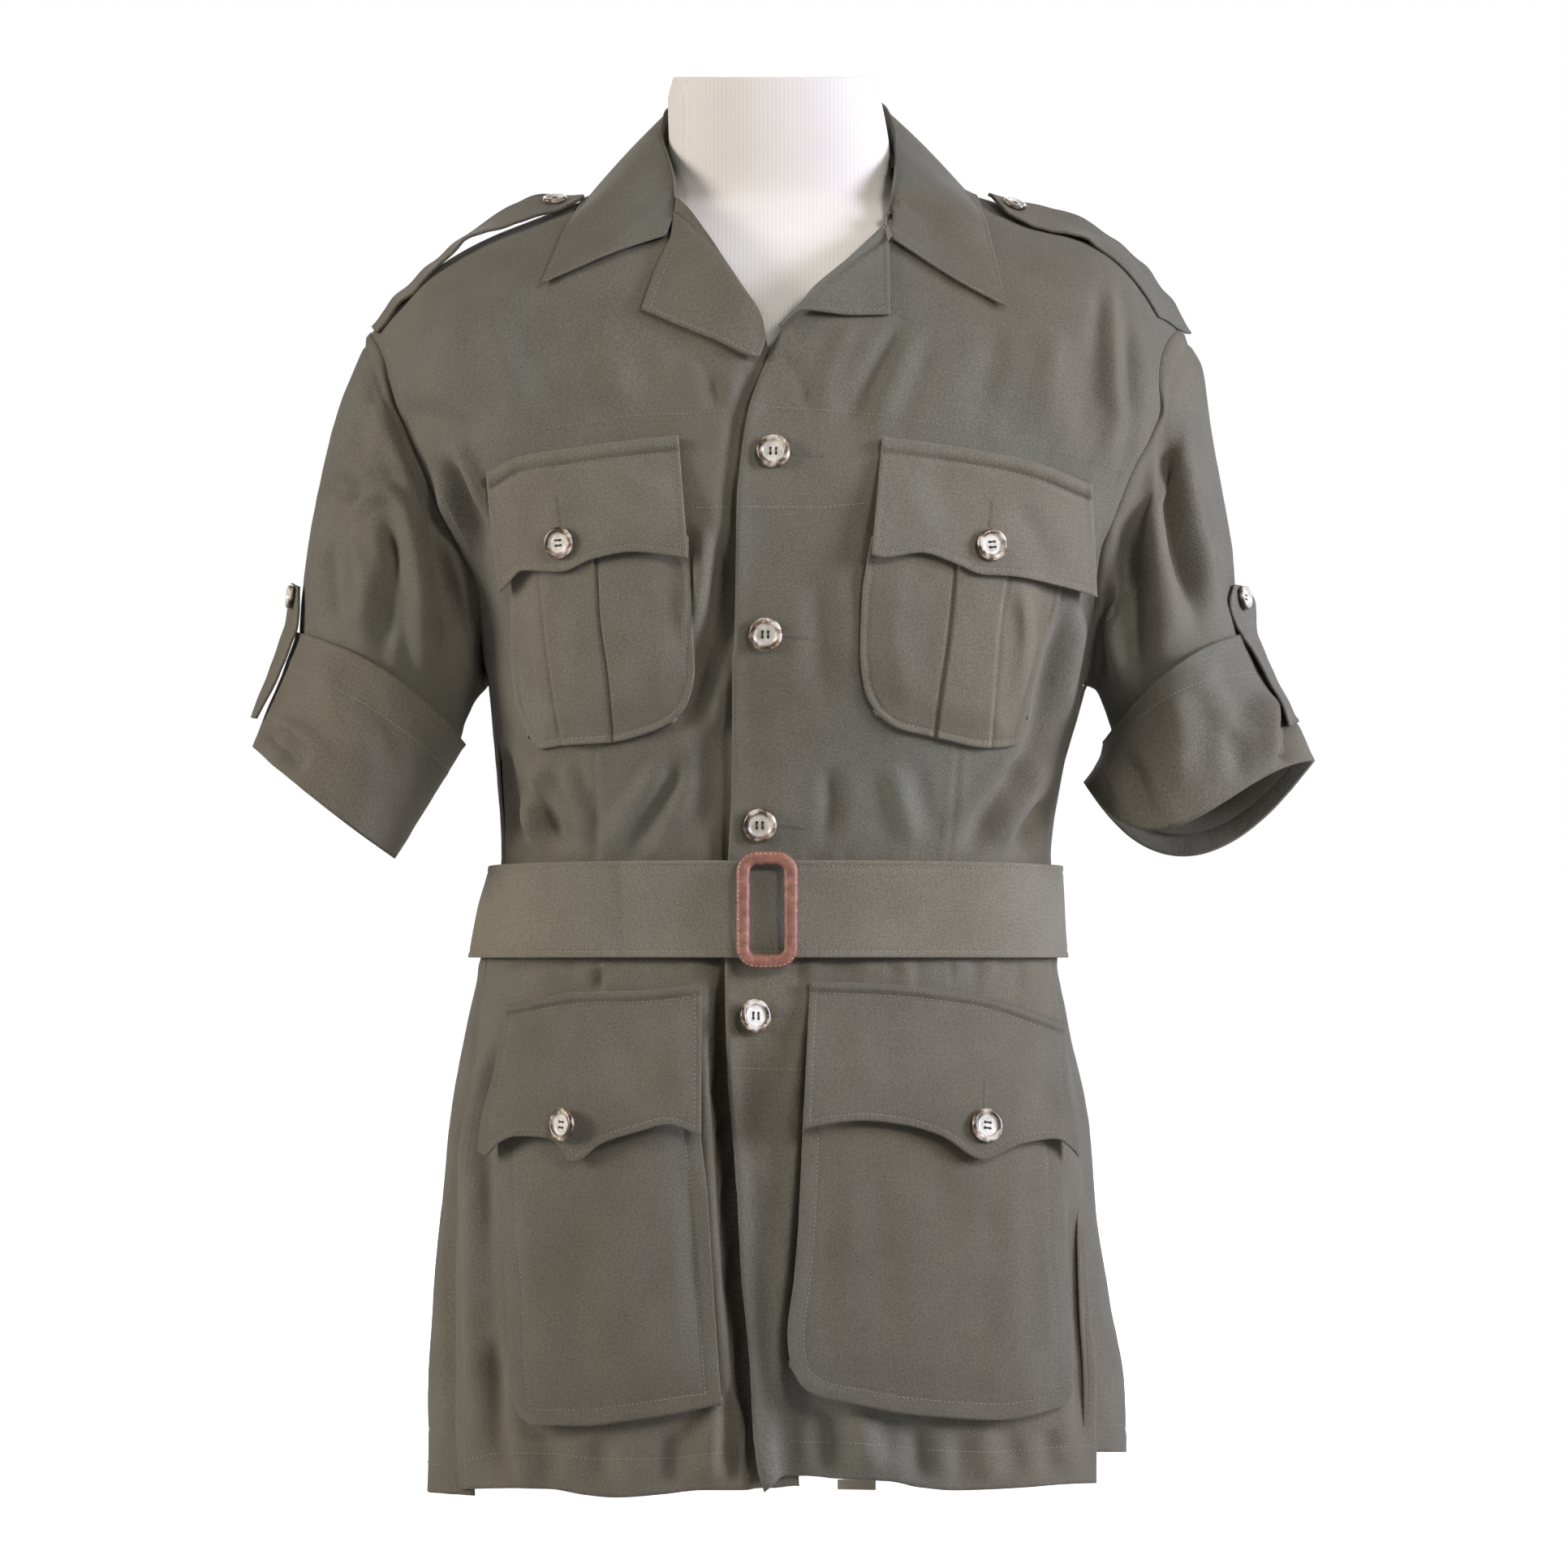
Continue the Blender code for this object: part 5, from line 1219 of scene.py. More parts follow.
# ---- folds: panel, path, half width at its start and end (units), rise (metres), sharpness
SOFT = 2.0
FOLDS = (
    # left front
    ("front_left", ((893, 640), (889, 700), (882, 760), (868, 812), (846, 880), (834, 925)), (9, 20), -0.0050, 1.6),
    ("front_left", ((868, 640), (864, 720), (860, 800)), (10, 12), 0.0016, SOFT),
    ("front_left", ((880, 880), (872, 960), (866, 1050)), (16, 18), -0.0022, SOFT),
    ("front_left", ((846, 930), (812, 985), (764, 1052)), (10, 16), -0.0026, SOFT),
    ("front_left", ((822, 935), (796, 990), (742, 1052)), (12, 14), 0.0018, SOFT),
    ("front_left", ((546, 560), (572, 620), (600, 694)), (9, 13), -0.0040, SOFT),
    ("front_left", ((538, 590), (566, 660), (596, 736)), (8, 10), 0.0026, SOFT),
    ("front_left", ((556, 540), (580, 580), (604, 640)), (8, 9), 0.0020, SOFT),
    ("front_left", ((612, 905), (622, 975), (642, 1052)), (11, 14), -0.0034, SOFT),
    ("front_left", ((664, 935), (656, 990), (652, 1052)), (9, 13), 0.0026, SOFT),
    ("front_left", ((642, 950), (668, 1000), (702, 1052)), (9, 11), -0.0030, SOFT),
    ("front_left", ((690, 935), (716, 1000), (728, 1052)), (8, 10), 0.0018, SOFT),
    ("front_left", ((912, 440), (895, 490), (884, 560)), (7, 10), 0.0008, SOFT),
    ("front_left", ((850, 420), (878, 470), (902, 540)), (7, 10), -0.0009, SOFT),
    ("front_left", ((640, 372), (664, 430), (702, 530)), (14, 22), -0.0009, SOFT),
    ("front_left", ((600, 380), (618, 440), (650, 520)), (13, 20), 0.0009, SOFT),
    ("front_left", ((740, 390), (752, 450), (776, 510)), (14, 20), 0.0012, SOFT),
    ("front_left", ((490, 500), (540, 520), (600, 540)), (14, 22), -0.0016, SOFT),
    # left skirt
    ("front_left", ((742, 1190), (736, 1222)), (8, 8), -0.0016, SOFT),
    ("front_left", ((882, 1205), (891, 1340), (903, 1516), (916, 1676), (928, 1820)), (9, 13), -0.0042, 1.7),
    ("front_left", ((893, 1700), (899, 1760), (897, 1836)), (7, 9), -0.0030, 1.6),
    ("front_left", ((876, 1730), (874, 1780), (872, 1836)), (12, 15), 0.0024, SOFT),
    ("front_left", ((620, 1262), (604, 1350), (596, 1440), (598, 1560)), (9, 12), -0.0026, SOFT),
    ("front_left", ((586, 1400), (584, 1560), (590, 1760)), (9, 12), 0.0022, SOFT),
    ("front_left", ((606, 1640), (610, 1740), (606, 1834)), (10, 16), -0.0030, SOFT),
    ("front_left", ((640, 1765), (648, 1800), (652, 1836)), (12, 16), 0.0020, SOFT),
    ("front_left", ((742, 1765), (742, 1800), (742, 1838)), (14, 20), -0.0018, SOFT),
    ("front_left", ((830, 1760), (828, 1800), (826, 1838)), (12, 14), -0.0020, SOFT),
    # right front
    ("front_right", ((950, 424), (968, 440), (992, 474), (1016, 530)), (5, 9), -0.0009, SOFT),
    ("front_right", ((1118, 380), (1080, 450), (1036, 540)), (7, 15), -0.0012, SOFT),
    ("front_right", ((1136, 400), (1100, 480), (1066, 560)), (9, 16), 0.0011, SOFT),
    ("front_right", ((1056, 390), (1026, 450), (1004, 540)), (8, 13), 0.0010, SOFT),
    ("front_right", ((1236, 400), (1222, 460), (1214, 530)), (14, 22), -0.0013, SOFT),
    ("front_right", ((1300, 400), (1294, 470), (1290, 550)), (16, 22), 0.0016, SOFT),
    ("front_right", ((1366, 330), (1369, 400), (1370, 482), (1378, 512), (1364, 600)), (7, 12), 0.0017, 1.8),
    ("front_right", ((1386, 380), (1392, 490), (1384, 560), (1346, 640)), (7, 13), -0.0012, SOFT),
    ("front_right", ((1350, 360), (1342, 470), (1334, 600)), (8, 14), -0.0005, SOFT),
    ("front_right", ((1376, 640), (1352, 700), (1340, 790)), (9, 12), -0.0024, SOFT),
    ("front_right", ((1338, 740), (1322, 810), (1300, 910)), (8, 14), 0.0022, SOFT),
    ("front_right", ((1316, 740), (1294, 830), (1270, 930), (1236, 1040)), (7, 14), -0.0026, SOFT),
    ("front_right", ((1290, 930), (1262, 980), (1210, 1052)), (10, 15), 0.0026, SOFT),
    ("front_right", ((1268, 930), (1230, 985), (1180, 1052)), (10, 14), -0.0030, SOFT),
    ("front_right", ((1292, 980), (1272, 1010), (1250, 1055)), (8, 11), -0.0022, SOFT),
    ("front_right", ((1010, 700), (1014, 800), (1010, 900)), (14, 20), -0.0012, SOFT),
    ("front_right", ((1100, 935), (1110, 985), (1128, 1052)), (12, 14), 0.0016, SOFT),
    ("front_right", ((1022, 940), (1024, 990), (1016, 1052)), (10, 12), -0.0014, SOFT),
    # right skirt
    ("front_right", ((1062, 1740), (1070, 1780), (1078, 1826)), (14, 20), 0.0026, SOFT),
    ("front_right", ((1020, 1735), (1024, 1780), (1030, 1822)), (12, 16), -0.0026, SOFT),
    ("front_right", ((1130, 1750), (1134, 1790), (1136, 1834)), (12, 16), -0.0022, SOFT),
    ("front_right", ((1210, 1755), (1216, 1795), (1222, 1838)), (14, 18), 0.0018, SOFT),
    ("front_right", ((1322, 1440), (1330, 1560), (1334, 1700), (1336, 1825)), (8, 12), -0.0026, SOFT),
    ("front_right", ((1290, 1755), (1296, 1790), (1300, 1830)), (12, 16), -0.0018, SOFT),
    # back
    ("back", ((610, 1420), (600, 1600), (590, 1810)), (16, 30), -0.0030, SOFT),
    ("back", ((700, 1440), (706, 1600), (700, 1800)), (22, 38), 0.0026, SOFT),
    ("back", ((840, 1380), (850, 1560), (846, 1800)), (22, 40), -0.0034, SOFT),
    ("back", ((990, 1420), (992, 1600), (1000, 1800)), (24, 42), 0.0026, SOFT),
    ("back", ((1120, 1390), (1116, 1560), (1126, 1800)), (22, 36), -0.0030, SOFT),
    ("back", ((1260, 1430), (1270, 1600), (1290, 1790)), (18, 34), 0.0024, SOFT),
    ("back", ((760, 760), (720, 880), (650, 1030)), (20, 14), -0.0032, SOFT),
    ("back", ((800, 860), (800, 950), (780, 1050)), (16, 12), 0.0022, SOFT),
    ("back", ((900, 900), (910, 980), (905, 1055)), (18, 12), -0.0024, SOFT),
    ("back", ((1030, 880), (1024, 960), (1030, 1055)), (18, 12), -0.0020, SOFT),
    ("back", ((1160, 800), (1196, 900), (1250, 1030)), (20, 14), -0.0032, SOFT),
    ("back", ((1110, 870), (1120, 960), (1150, 1050)), (16, 12), 0.0024, SOFT),
    ("back", ((620, 500), (640, 620), (670, 760)), (20, 26), 0.0026, SOFT),
    ("back", ((580, 520), (600, 640), (640, 800)), (16, 22), -0.0030, SOFT),
    ("back", ((1300, 500), (1280, 620), (1250, 760)), (20, 26), 0.0026, SOFT),
    ("back", ((1340, 520), (1320, 640), (1280, 800)), (16, 22), -0.0030, SOFT),
    # sleeves, fronts
    ("sleeve_left", ((426, 655), (450, 616), (480, 606), (506, 650), (518, 720), (522, 830)), (9, 13), 0.0030, SOFT),
    ("sleeve_left", ((468, 628), (484, 690), (478, 760), (474, 830)), (9, 13), -0.0034, SOFT),
    ("sleeve_left", ((396, 596), (426, 600), (448, 626)), (13, 10), -0.0024, SOFT),
    ("sleeve_left", ((436, 650), (450, 720), (440, 800)), (8, 11), 0.0018, SOFT),
    ("sleeve_left", ((404, 660), (410, 720), (414, 784)), (8, 11), -0.0022, SOFT),
    ("sleeve_left", ((492, 540), (520, 600), (546, 680), (556, 770), (544, 850)), (8, 12), -0.0026, SOFT),
    ("sleeve_left", ((472, 500), (490, 560), (530, 640), (572, 730), (572, 830)), (8, 12), 0.0020, SOFT),
    ("sleeve_left", ((500, 700), (500, 770), (506, 850)), (8, 10), -0.0018, SOFT),
    ("sleeve_left", ((466, 470), (448, 520), (440, 570)), (10, 14), -0.0016, SOFT),
    ("sleeve_right", ((1436, 532), (1440, 580), (1450, 645), (1466, 715), (1484, 788)), (9, 13), -0.0046, 1.7),
    ("sleeve_right", ((1456, 500), (1466, 600), (1480, 700), (1502, 780)), (12, 16), 0.0018, SOFT),
    ("sleeve_right", ((1416, 590), (1424, 680), (1440, 780), (1436, 840)), (12, 18), 0.0022, SOFT),
    ("sleeve_right", ((1392, 640), (1396, 740), (1400, 850)), (10, 15), -0.0022, SOFT),
    ("sleeve_right", ((1372, 690), (1376, 780), (1386, 860)), (8, 10), 0.0026, SOFT),
    ("sleeve_right", ((1490, 640), (1502, 700), (1508, 770)), (8, 11), -0.0016, SOFT),
)
# the same on the hidden half of each sleeve
HIDDEN = (
    ("sleeve_left", ((500, 540), (470, 640), (440, 770)), (16, 20), -0.0038, SOFT),
    ("sleeve_left", ((540, 620), (510, 720), (480, 830)), (14, 18), 0.0032, SOFT),
    ("sleeve_left", ((570, 700), (552, 790), (530, 870)), (12, 14), -0.0028, SOFT),
    ("sleeve_left", ((450, 500), (424, 600), (400, 700)), (14, 18), 0.0022, SOFT),
    ("sleeve_right", ((1430, 540), (1456, 640), (1490, 760)), (16, 20), -0.0012, SOFT),
    ("sleeve_right", ((1396, 620), (1420, 720), (1444, 820)), (14, 18), 0.0012, SOFT),
    ("sleeve_right", ((1372, 700), (1386, 790), (1400, 860)), (12, 14), -0.0012, SOFT),
)


def fold_sum(name, u, v, table=FOLDS, scale=2.1):
    total = np.zeros(np.shape(u))
    for panel, path, width, rise, sharp in table:
        if panel == name:
            total += crease(u, v, path, width, rise * scale, sharp)
    return total


def gathers(u, v, top, depth, seed, spacing=17.0, reach=46.0):
    """Small upright puckers that hang from a tight line and die away below it."""
    w = lattice(u, v, spacing, reach * 3, seed) + 0.6 * lattice(u, v, spacing * 0.6, reach * 2, seed + 5)
    fade = ease((v - top + 6.0) / 8.0) * np.exp(-np.maximum(v - top - 8.0, 0.0) / (reach * (0.75 + 0.5 * lattice(u, u * 0, 40.0, 9.0, seed + 9))))
    return depth * w * fade


def rumple(u, v, y, seed, big=0.0013, small=0.00045):
    """Slow unevenness of hanging cloth, longer than it is wide."""
    return (big * lattice(u + 900 * y, v, 88.0, 250.0, seed) + small * lattice(u - 600 * y, v, 30.0, 85.0, seed + 1)
            + 0.00012 * lattice(u, v + 500 * y, 9.0, 16.0, seed + 2))


def pucker(u, v, path, seed, depth=0.00035, pitch=13.0, reach=9.0):
    """The slight rippling along a seam."""
    d, q, _ = to_line(u, v, round_path(path, 40))
    length = np.linalg.norm(np.diff(np.asarray(path, float), axis=0), axis=1).sum()
    return depth * lattice(q * length, d * 0.4, pitch, 30.0, seed) * np.exp(-(d / reach) ** 2)


# seam and stitch lines of the panels, as seen
YOKE = {"left": ((560, 560), (610, 547), (660, 534), (726, 523), (793, 514), (856, 512), (900, 508)),
        "right": ((925, 503), (1000, 507), (1080, 514), (1179, 530), (1268, 550), (1348, 572), (1392, 588))}
HEM_LINE = {"left": ((568, 1799), (629, 1790), (679, 1791), (742, 1798), (819, 1797), (880, 1791), (926, 1789)),
            "right": ((966, 1776), (1026, 1777), (1080, 1780), (1134, 1786), (1217, 1789), (1290, 1784), (1350, 1781))}
DART = {"left": ((732, 922), (734, 1005), (736, 1056)), "right": ((1182, 922), (1176, 983), (1167, 1064))}
DART_LOW = {"left": ((738, 1180), (738, 1216)), "right": ((1171, 1178), (1171, 1206))}
SIDE_HEM = {"left": ((566, 1836), (562, 1700), (561, 1600), (562, 1500), (571, 1400), (580, 1350)),
            "right": ((1352, 1828), (1352, 1700), (1345, 1600), (1339, 1500), (1336, 1400), (1331, 1350))}


def front_relief(side, u, v, y):
    name = "front_" + side
    h = fold_sum(name, u, v) + rumple(u, v, y, 11 if side == "left" else 31)
    h += gathers(u, v, 1186.0, 0.0013, 41 if side == "left" else 43)
    h += 0.0009 * lattice(u, v, 15.0, 300.0, 47) * np.exp(-np.maximum(1058.0 - v, 0) / 26.0) * ease((1075.0 - v) / 10.0)
    # yoke: the upper panel lies over the lower one
    d, q, s = to_line(u, v, round_path(YOKE[side], 40))
    above = s if side == "left" else s
    up = np.where(v < np.interp(u, *np.array(round_path(YOKE[side], 40)).T), 1.0, -1.0)
    h += np.where(up > 0, 0.00045 * np.exp(-(d / 6.0) ** 2), -0.00050 * np.exp(-(d / 3.0) ** 2))
    h += pucker(u, v, YOKE[side], 61)
    # hem: two layers up to its stitches
    d, q, s = to_line(u, v, round_path(HEM_LINE[side], 40))
    h += -0.00034 * np.exp(-(d / 2.6) ** 2) + 0.00022 * ease((v - np.interp(u, *np.array(round_path(HEM_LINE[side], 40)).T)) / 6.0)
    h += pucker(u, v, HEM_LINE[side], 63, 0.0005, 17.0, 16.0)
    # darts
    for line in (DART[side], DART_LOW[side]):
        d, q, s = to_line(u, v, np.asarray(line, float))
        h += -0.00075 * np.exp(-(d / 3.2) ** 2) + 0.00035 * np.exp(-((d - 7.0) / 4.0) ** 2)
    if side == "right":
        # below the belt the panel turns back behind the button band
        line = round_path(((1003, 1196), (993, 1350), (986, 1462), (973, 1609), (964, 1705), (957, 1769), (953, 1840)), 30)
        x = u - np.interp(v, line[:, 1], line[:, 0])
        deep = 0.0066 * ease((v - 1190.0) / 160.0)
        h -= deep * ease((x + 5.0) / 13.0) * (1.0 - ease((x - 16.0) / 95.0) * 0.80)
        h += 0.0014 * np.exp(-((x + 7.0) / 9.0) ** 2) * ease((v - 1190.0) / 100.0)
    # vent edge
    d, q, s = to_line(u, v, SIDE_HEM[side])
    h += 0.00020 * np.exp(-((d - 4.0) / 3.5) ** 2)
    return h


# ---- panels
F_SKIRT = dense(0.050, 10, 150, 0.001, 1)
F_BODY, F_TOP, F_COLS = 64, 50, dense(0.045, 5, 78, 0.06, 6)
grid = {}
for side in ("left", "right"):
    g = front_grid(side, F_SKIRT, F_BODY, F_TOP, F_COLS)
    grid["front_" + side] = g
back = back_grid(F_SKIRT, F_BODY, F_TOP, 120)
n_low = len(F_SKIRT) - 1
armhole = {}
for side, col in (("left", 0), ("right", -1)):
    f = grid["front_" + side][n_low:, -1]
    b = back[n_low:, col]
    armhole[side] = (f[::-1].copy(), np.concatenate([[f[0]], b[1:-1], [f[-1]]]))
PLAIN = {"front_left": net(grid["front_left"]), "front_right": net(grid["front_right"])}
for side in ("left", "right"):
    name = "front_" + side
    g = grid[name]
    u, v = seen(g)
    n = outward(g)
    h = front_relief(side, u, v, g[..., 1])
    # folds fade out at the collar seam and at the side seam
    s = F_COLS[None, :]
    rows = np.linspace(0, 1, g.shape[0])[:, None]
    fade = 1.0 - 0.8 * ease((rows - 0.90) / 0.10)
    side_fade = 1.0 - 0.75 * ease((s - 0.93) / 0.07) * ease((1345.0 - v) / 40.0)
    g = g + n * (h * fade * side_fade)[..., None]
    grid[name] = g
g = grid["front_left"]
u, v = seen(g)
past = u - column(CENTRE_EDGE["right"], 1, v)
under = ease((past + 30.0) / 24.0) * (WALL + 0.0020)
# below the belt the panel falls away under the band, above it only a little
under = under + ease((past + 20.0) / 11.0) * (0.0070 * ease((v - 1188.0) / 50.0) + 0.0016 * ease((1056.0 - v) / 40.0) * ease((v - 560.0) / 80.0))
grid["front_left"] = g - outward(g) * under[..., None]
g = grid["front_right"]
u, v = seen(g)
d = (F_COLS[None, :] * 1.0) * np.ones(g.shape[:2])
edge_px = u - u[:, :1]
roll = 0.0004 * np.exp(-((edge_px - 5.0) / 4.0) ** 2) + (0.0016 + 0.0024 * ease((v - 1190.0) / 100.0)) * ease(1 - edge_px / 26.0) * ease((v - 450.0) / 60.0)
grid["front_right"] = g + outward(g) * roll[..., None]

u, v = seen(back)
h = fold_sum("back", u, v) + rumple(u, v, back[..., 1], 71, 0.0011, 0.0004)
h += gathers(u, v, 1190.0, 0.0014, 81, 20.0, 60.0)
h += 0.0011 * lattice(u, v, 18.0, 300.0, 87) * np.exp(-np.maximum(1075.0 - v, 0) / 40.0) * ease((1090.0 - v) / 12.0)
cols = np.linspace(0, 1, back.shape[1])[None, :]
rows = np.linspace(0, 1, back.shape[0])[:, None]
h = h * ease(cols / 0.05) * ease((1 - cols) / 0.05) * (1.0 - 0.8 * ease((rows - 0.90) / 0.10))
hem_line_back = 1762.0
h += -0.00034 * np.exp(-((v - hem_line_back) / 2.8) ** 2) + 0.00022 * ease((v - hem_line_back) / 6.0)
grid["back"] = back + outward(back) * h[..., None]

for side in ("left", "right"):
    cloth("front_" + side + "_cloth", grid["front_" + side], DRILL if side == "left" else DRILL_B, ("front_" + side,))
cloth("back_cloth", grid["back"], DRILL_C, ("back",))

# ---- sleeves and cuffs
RING = 132
ANGLE = np.linspace(0, 2 * math.pi, RING, endpoint=False)
for side, sign in (("left", -1.0), ("right", 1.0)):
    name = "sleeve_" + side
    g = sleeve_grid(side, armhole[side], 70, 10, RING)
    u, v = seen(g)
    facing = np.sin(ANGLE)[None, :] * np.ones(g.shape[:2])
    seen_side = ease((facing + 0.15) / 0.5)
    hid_side = ease((-facing + 0.15) / 0.5)
    row = np.arange(g.shape[0])[:, None] / 70.0
    inside = ease((1.03 - row) / 0.10)
    head = ease(row / 0.10)
    h = (fold_sum(name, u, v) * seen_side + fold_sum(name, u, v, HIDDEN) * hid_side) * head * inside
    h += rumple(u, v, g[..., 1], 91 if side == "left" else 95, 0.0015, 0.0005) * head * inside
    # the head is eased into the armhole, with a raised seam band
    over = ease((560.0 - v) / 90.0)
    h += (0.0006 + 0.0004 * over) * np.exp(-((row - 0.026) / 0.015) ** 2) - 0.0008 * over * np.exp(-((row - 0.056) / 0.010) ** 2)
    h += 0.0005 * lattice(np.cumsum(np.ones(RING))[None, :] * np.ones(g.shape[:2]), row * 40, 3.1, 14.0, 99) * np.exp(-(row / 0.09) ** 2)
    g = g + outward(g, True) * h[..., None]
    # the first rings tuck in under the edge of the body
    inner = g[0] - np.array([sign * 0.0035, 0.0, 0.0])
    centre = g[0].mean(axis=0)
    inner = inner + unit(centre - inner) * 0.0016
    g[0] = g[0] + unit(centre - g[0]) * 0.0004
    g = np.concatenate([inner[None], g])
    grid[name] = g
    cloth(name + "_cloth", g, DRILL_C if side == "left" else DRILL, (name,), wrap=True, wall=0.0010)

CUFF_FOLDS = {
    "left": (
        (((400, 800), (412, 860), (450, 940), (470, 1010)), (12, 20), 0.0026, SOFT),
        (((450, 840), (470, 900), (505, 960)), (10, 14), -0.0022, SOFT),
        (((346, 900), (362, 925), (366, 955)), (12, 14), -0.0030, SOFT),
        (((330, 905), (352, 895), (380, 925)), (7, 10), 0.0026, SOFT),
        (((480, 900), (500, 950), (500, 1020)), (14, 16), 0.0018, SOFT),
        (((316, 900), (340, 905), (380, 950)), (8, 14), -0.0034, SOFT)),
    "right": (
        (((1500, 800), (1520, 850), (1560, 900)), (12, 16), -0.0026, SOFT),
        (((1440, 850), (1456, 900), (1450, 980)), (14, 20), 0.0036, SOFT),
        (((1380, 925), (1404, 960), (1424, 1030)), (8, 12), -0.0040, SOFT),
        (((1352, 935), (1376, 975), (1396, 1010)), (8, 10), 0.0024, SOFT),
        (((1548, 850), (1562, 900), (1566, 950)), (12, 15), 0.0060, SOFT),
        (((1588, 858), (1580, 905), (1588, 948)), (8, 10), -0.0105, 1.7),
        (((1510, 890), (1524, 930), (1530, 972)), (10, 14), -0.0034, SOFT)),
}
CUFF_LINE = {"left": 0.285, "right": 0.300}
for side, sign in (("left", -1.0), ("right", 1.0)):
    name = "cuff_" + side
    g = cuff_grid(side, 44, RING)
    u, v = seen(g)
    facing = np.sin(ANGLE)[None, :] * np.ones(g.shape[:2])
    row = np.linspace(0, 1, 45)[:, None] * np.ones(g.shape[:2])
    h = np.zeros(g.shape[:2])
    for path, width, rise, sharp in CUFF_FOLDS[side]:
        h += crease(u, v, path, width, rise, sharp) * ease((facing + 0.1) / 0.4)
    h += rumple(u, v, g[..., 1], 103, 0.0012, 0.0005)
    h += -0.0004 * np.exp(-((row - CUFF_LINE[side]) / 0.012) ** 2)
    h += 0.0005 * np.exp(-((row - 0.012) / 0.03) ** 2) + 0.0006 * lattice(u, v, 26.0, 60.0, 107) * np.exp(-((row - CUFF_LINE[side]) / 0.07) ** 2)
    g = g + outward(g, True) * h[..., None]
    # rounded top fold going down inside, and a rounded lower fold going up inside
    centre = g.mean(axis=1, keepdims=True)
    inward = unit(centre - g)
    top_in = [g[0] + inward[0] * 0.0016 + (g[1] - g[0]) * 0.2, g[0] + inward[0] * 0.0030 + (g[4] - g[0])]
    low_in = [g[-1] + inward[-1] * 0.0018 + (g[-2] - g[-1]) * 0.3, g[-1] + inward[-1] * 0.0030 + (g[-6] - g[-1]),
              g[-1] + inward[-1] * 0.0034 + (g[-14] - g[-1]), g[-1] + inward[-1] * 0.0036 + (g[-22] - g[-1])]
    grid[name] = g
    whole = np.concatenate([np.stack(top_in[::-1]), g, np.stack(low_in)])
    cloth(name + "_cloth", whole, DRILL_B if side == "left" else DRILL_C, (name,), wrap=True, wall=0.0008)

TREE = {"front_left": net(grid["front_left"]), "front_right": net(grid["front_right"]),
        "fronts": net(grid["front_left"], grid["front_right"]), "back": net(grid["back"])}
for side in ("left", "right"):
    TREE["sleeve_" + side] = net(closed(grid["sleeve_" + side]))
    TREE["cuff_" + side] = net(closed(grid["cuff_" + side]))
FRONTWARD = np.array([0.0, -1.0, 0.0])

# ---- lapels
for side in ("left", "right"):
    sides = LAPEL[side]
    T, S = dense(0.10, 6, 26, 0.05, 3), dense(0.08, 5, 34, 0.10, 5)
    uv = patch(sides, T, S)
    outline = [sides["outer"], sides["foot"], sides["head"]]
    d = np.minimum(to_line(uv[..., 0], uv[..., 1], round_path(sides["outer"]))[0],
                   to_line(uv[..., 0], uv[..., 1], round_path(sides["foot"]))[0])
    t = T[:, None] + 0 * S[None, :]
    rise = 0.0028 + 0.0030 * t + stitched(d, 8.5) + 0.0007 * lattice(uv[..., 0], uv[..., 1], 60.0, 60.0, 121)
    g, n = lay(TREE["fronts"], uv, rise, False)
    g = stand_off(soften(g, 2), TREE["fronts"], WALL + 0.0004, FRONTWARD)
    grid["lapel_" + side] = g
    # the fold at the inner edge rolls in to the form
    inner = g[-1]
    roll_in = [inner + np.array([0.0, 0.0012, 0.0004]), inner + np.array([0.0, 0.0034, -0.0004]) - unit(g[-4] - inner) * -0.0012]
    cloth("lapel_" + side + "_cloth", np.concatenate([g, np.stack(roll_in)]), DRILL_C if side == "left" else DRILL,
          ("lapel_" + side,), out=FRONTWARD, wall=0.0012)

# ---- collar
TREE["shoulders"] = net(grid["front_left"], grid["front_right"], grid["back"])
N_COLLAR = 220
cols = np.linspace(0, 1, N_COLLAR)
fold = at(*np.array([r[:3] for r in COLLAR]).T)
outer = []
for r in COLLAR:
    if r[5] is None:
        p, n = spot(TREE["fronts"], r[3], r[4])
        outer.append(np.array(p + n * (WALL + GAP + 0.0016)))
    else:
        outer.append(at(r[3], r[4], r[5]))
outer = np.array(outer)
places = np.linspace(0, 1, len(COLLAR))
fold, outer = smooth(places, fold, cols), smooth(places, outer, cols)
fall_t = dense(0.02, 2, 30, 0.12, 7)
fall = []
wavy = 0.0012 * lattice(cols * 900.0, cols * 0, 60.0, 10.0, 131)
for t in fall_t[1:]:
    bulge = np.array([0.0, -0.0030, 0.0014]) * math.sin(math.pi * t)
    fall.append(fold + (outer - fold) * t + bulge + (wavy * math.sin(math.pi * t * 0.9))[:, None] * np.array([0.0, -1.0, 0.4]))
away = unit((fold - np.array([-0.004, 0.006, 0.0])) * np.array([1.0, 1.0, 0.0]))
crest = fold + np.array([0.0, 0.0, 0.0012]) + away * 0.0012
depth = STAND * (0.12 + 0.88 * ease((np.minimum(cols, 1 - cols) - 0.15) * 5.0))
stand = []
for k in np.linspace(1, 0, 7):
    base = fold - away * 0.0004 - np.array([0, 0, 0.0010])
    stand.append(base - np.array([0, 0, 1.0]) * (depth * k)[:, None] + away * 0.0006 * k)
g = np.stack(stand + [crest] + fall)
n_stand = 8
body = g[n_stand:]
normal = outward(body, False, np.stack([body[..., 0], body[..., 1] - 0.02, 0.06 + 0 * body[..., 0]], -1))
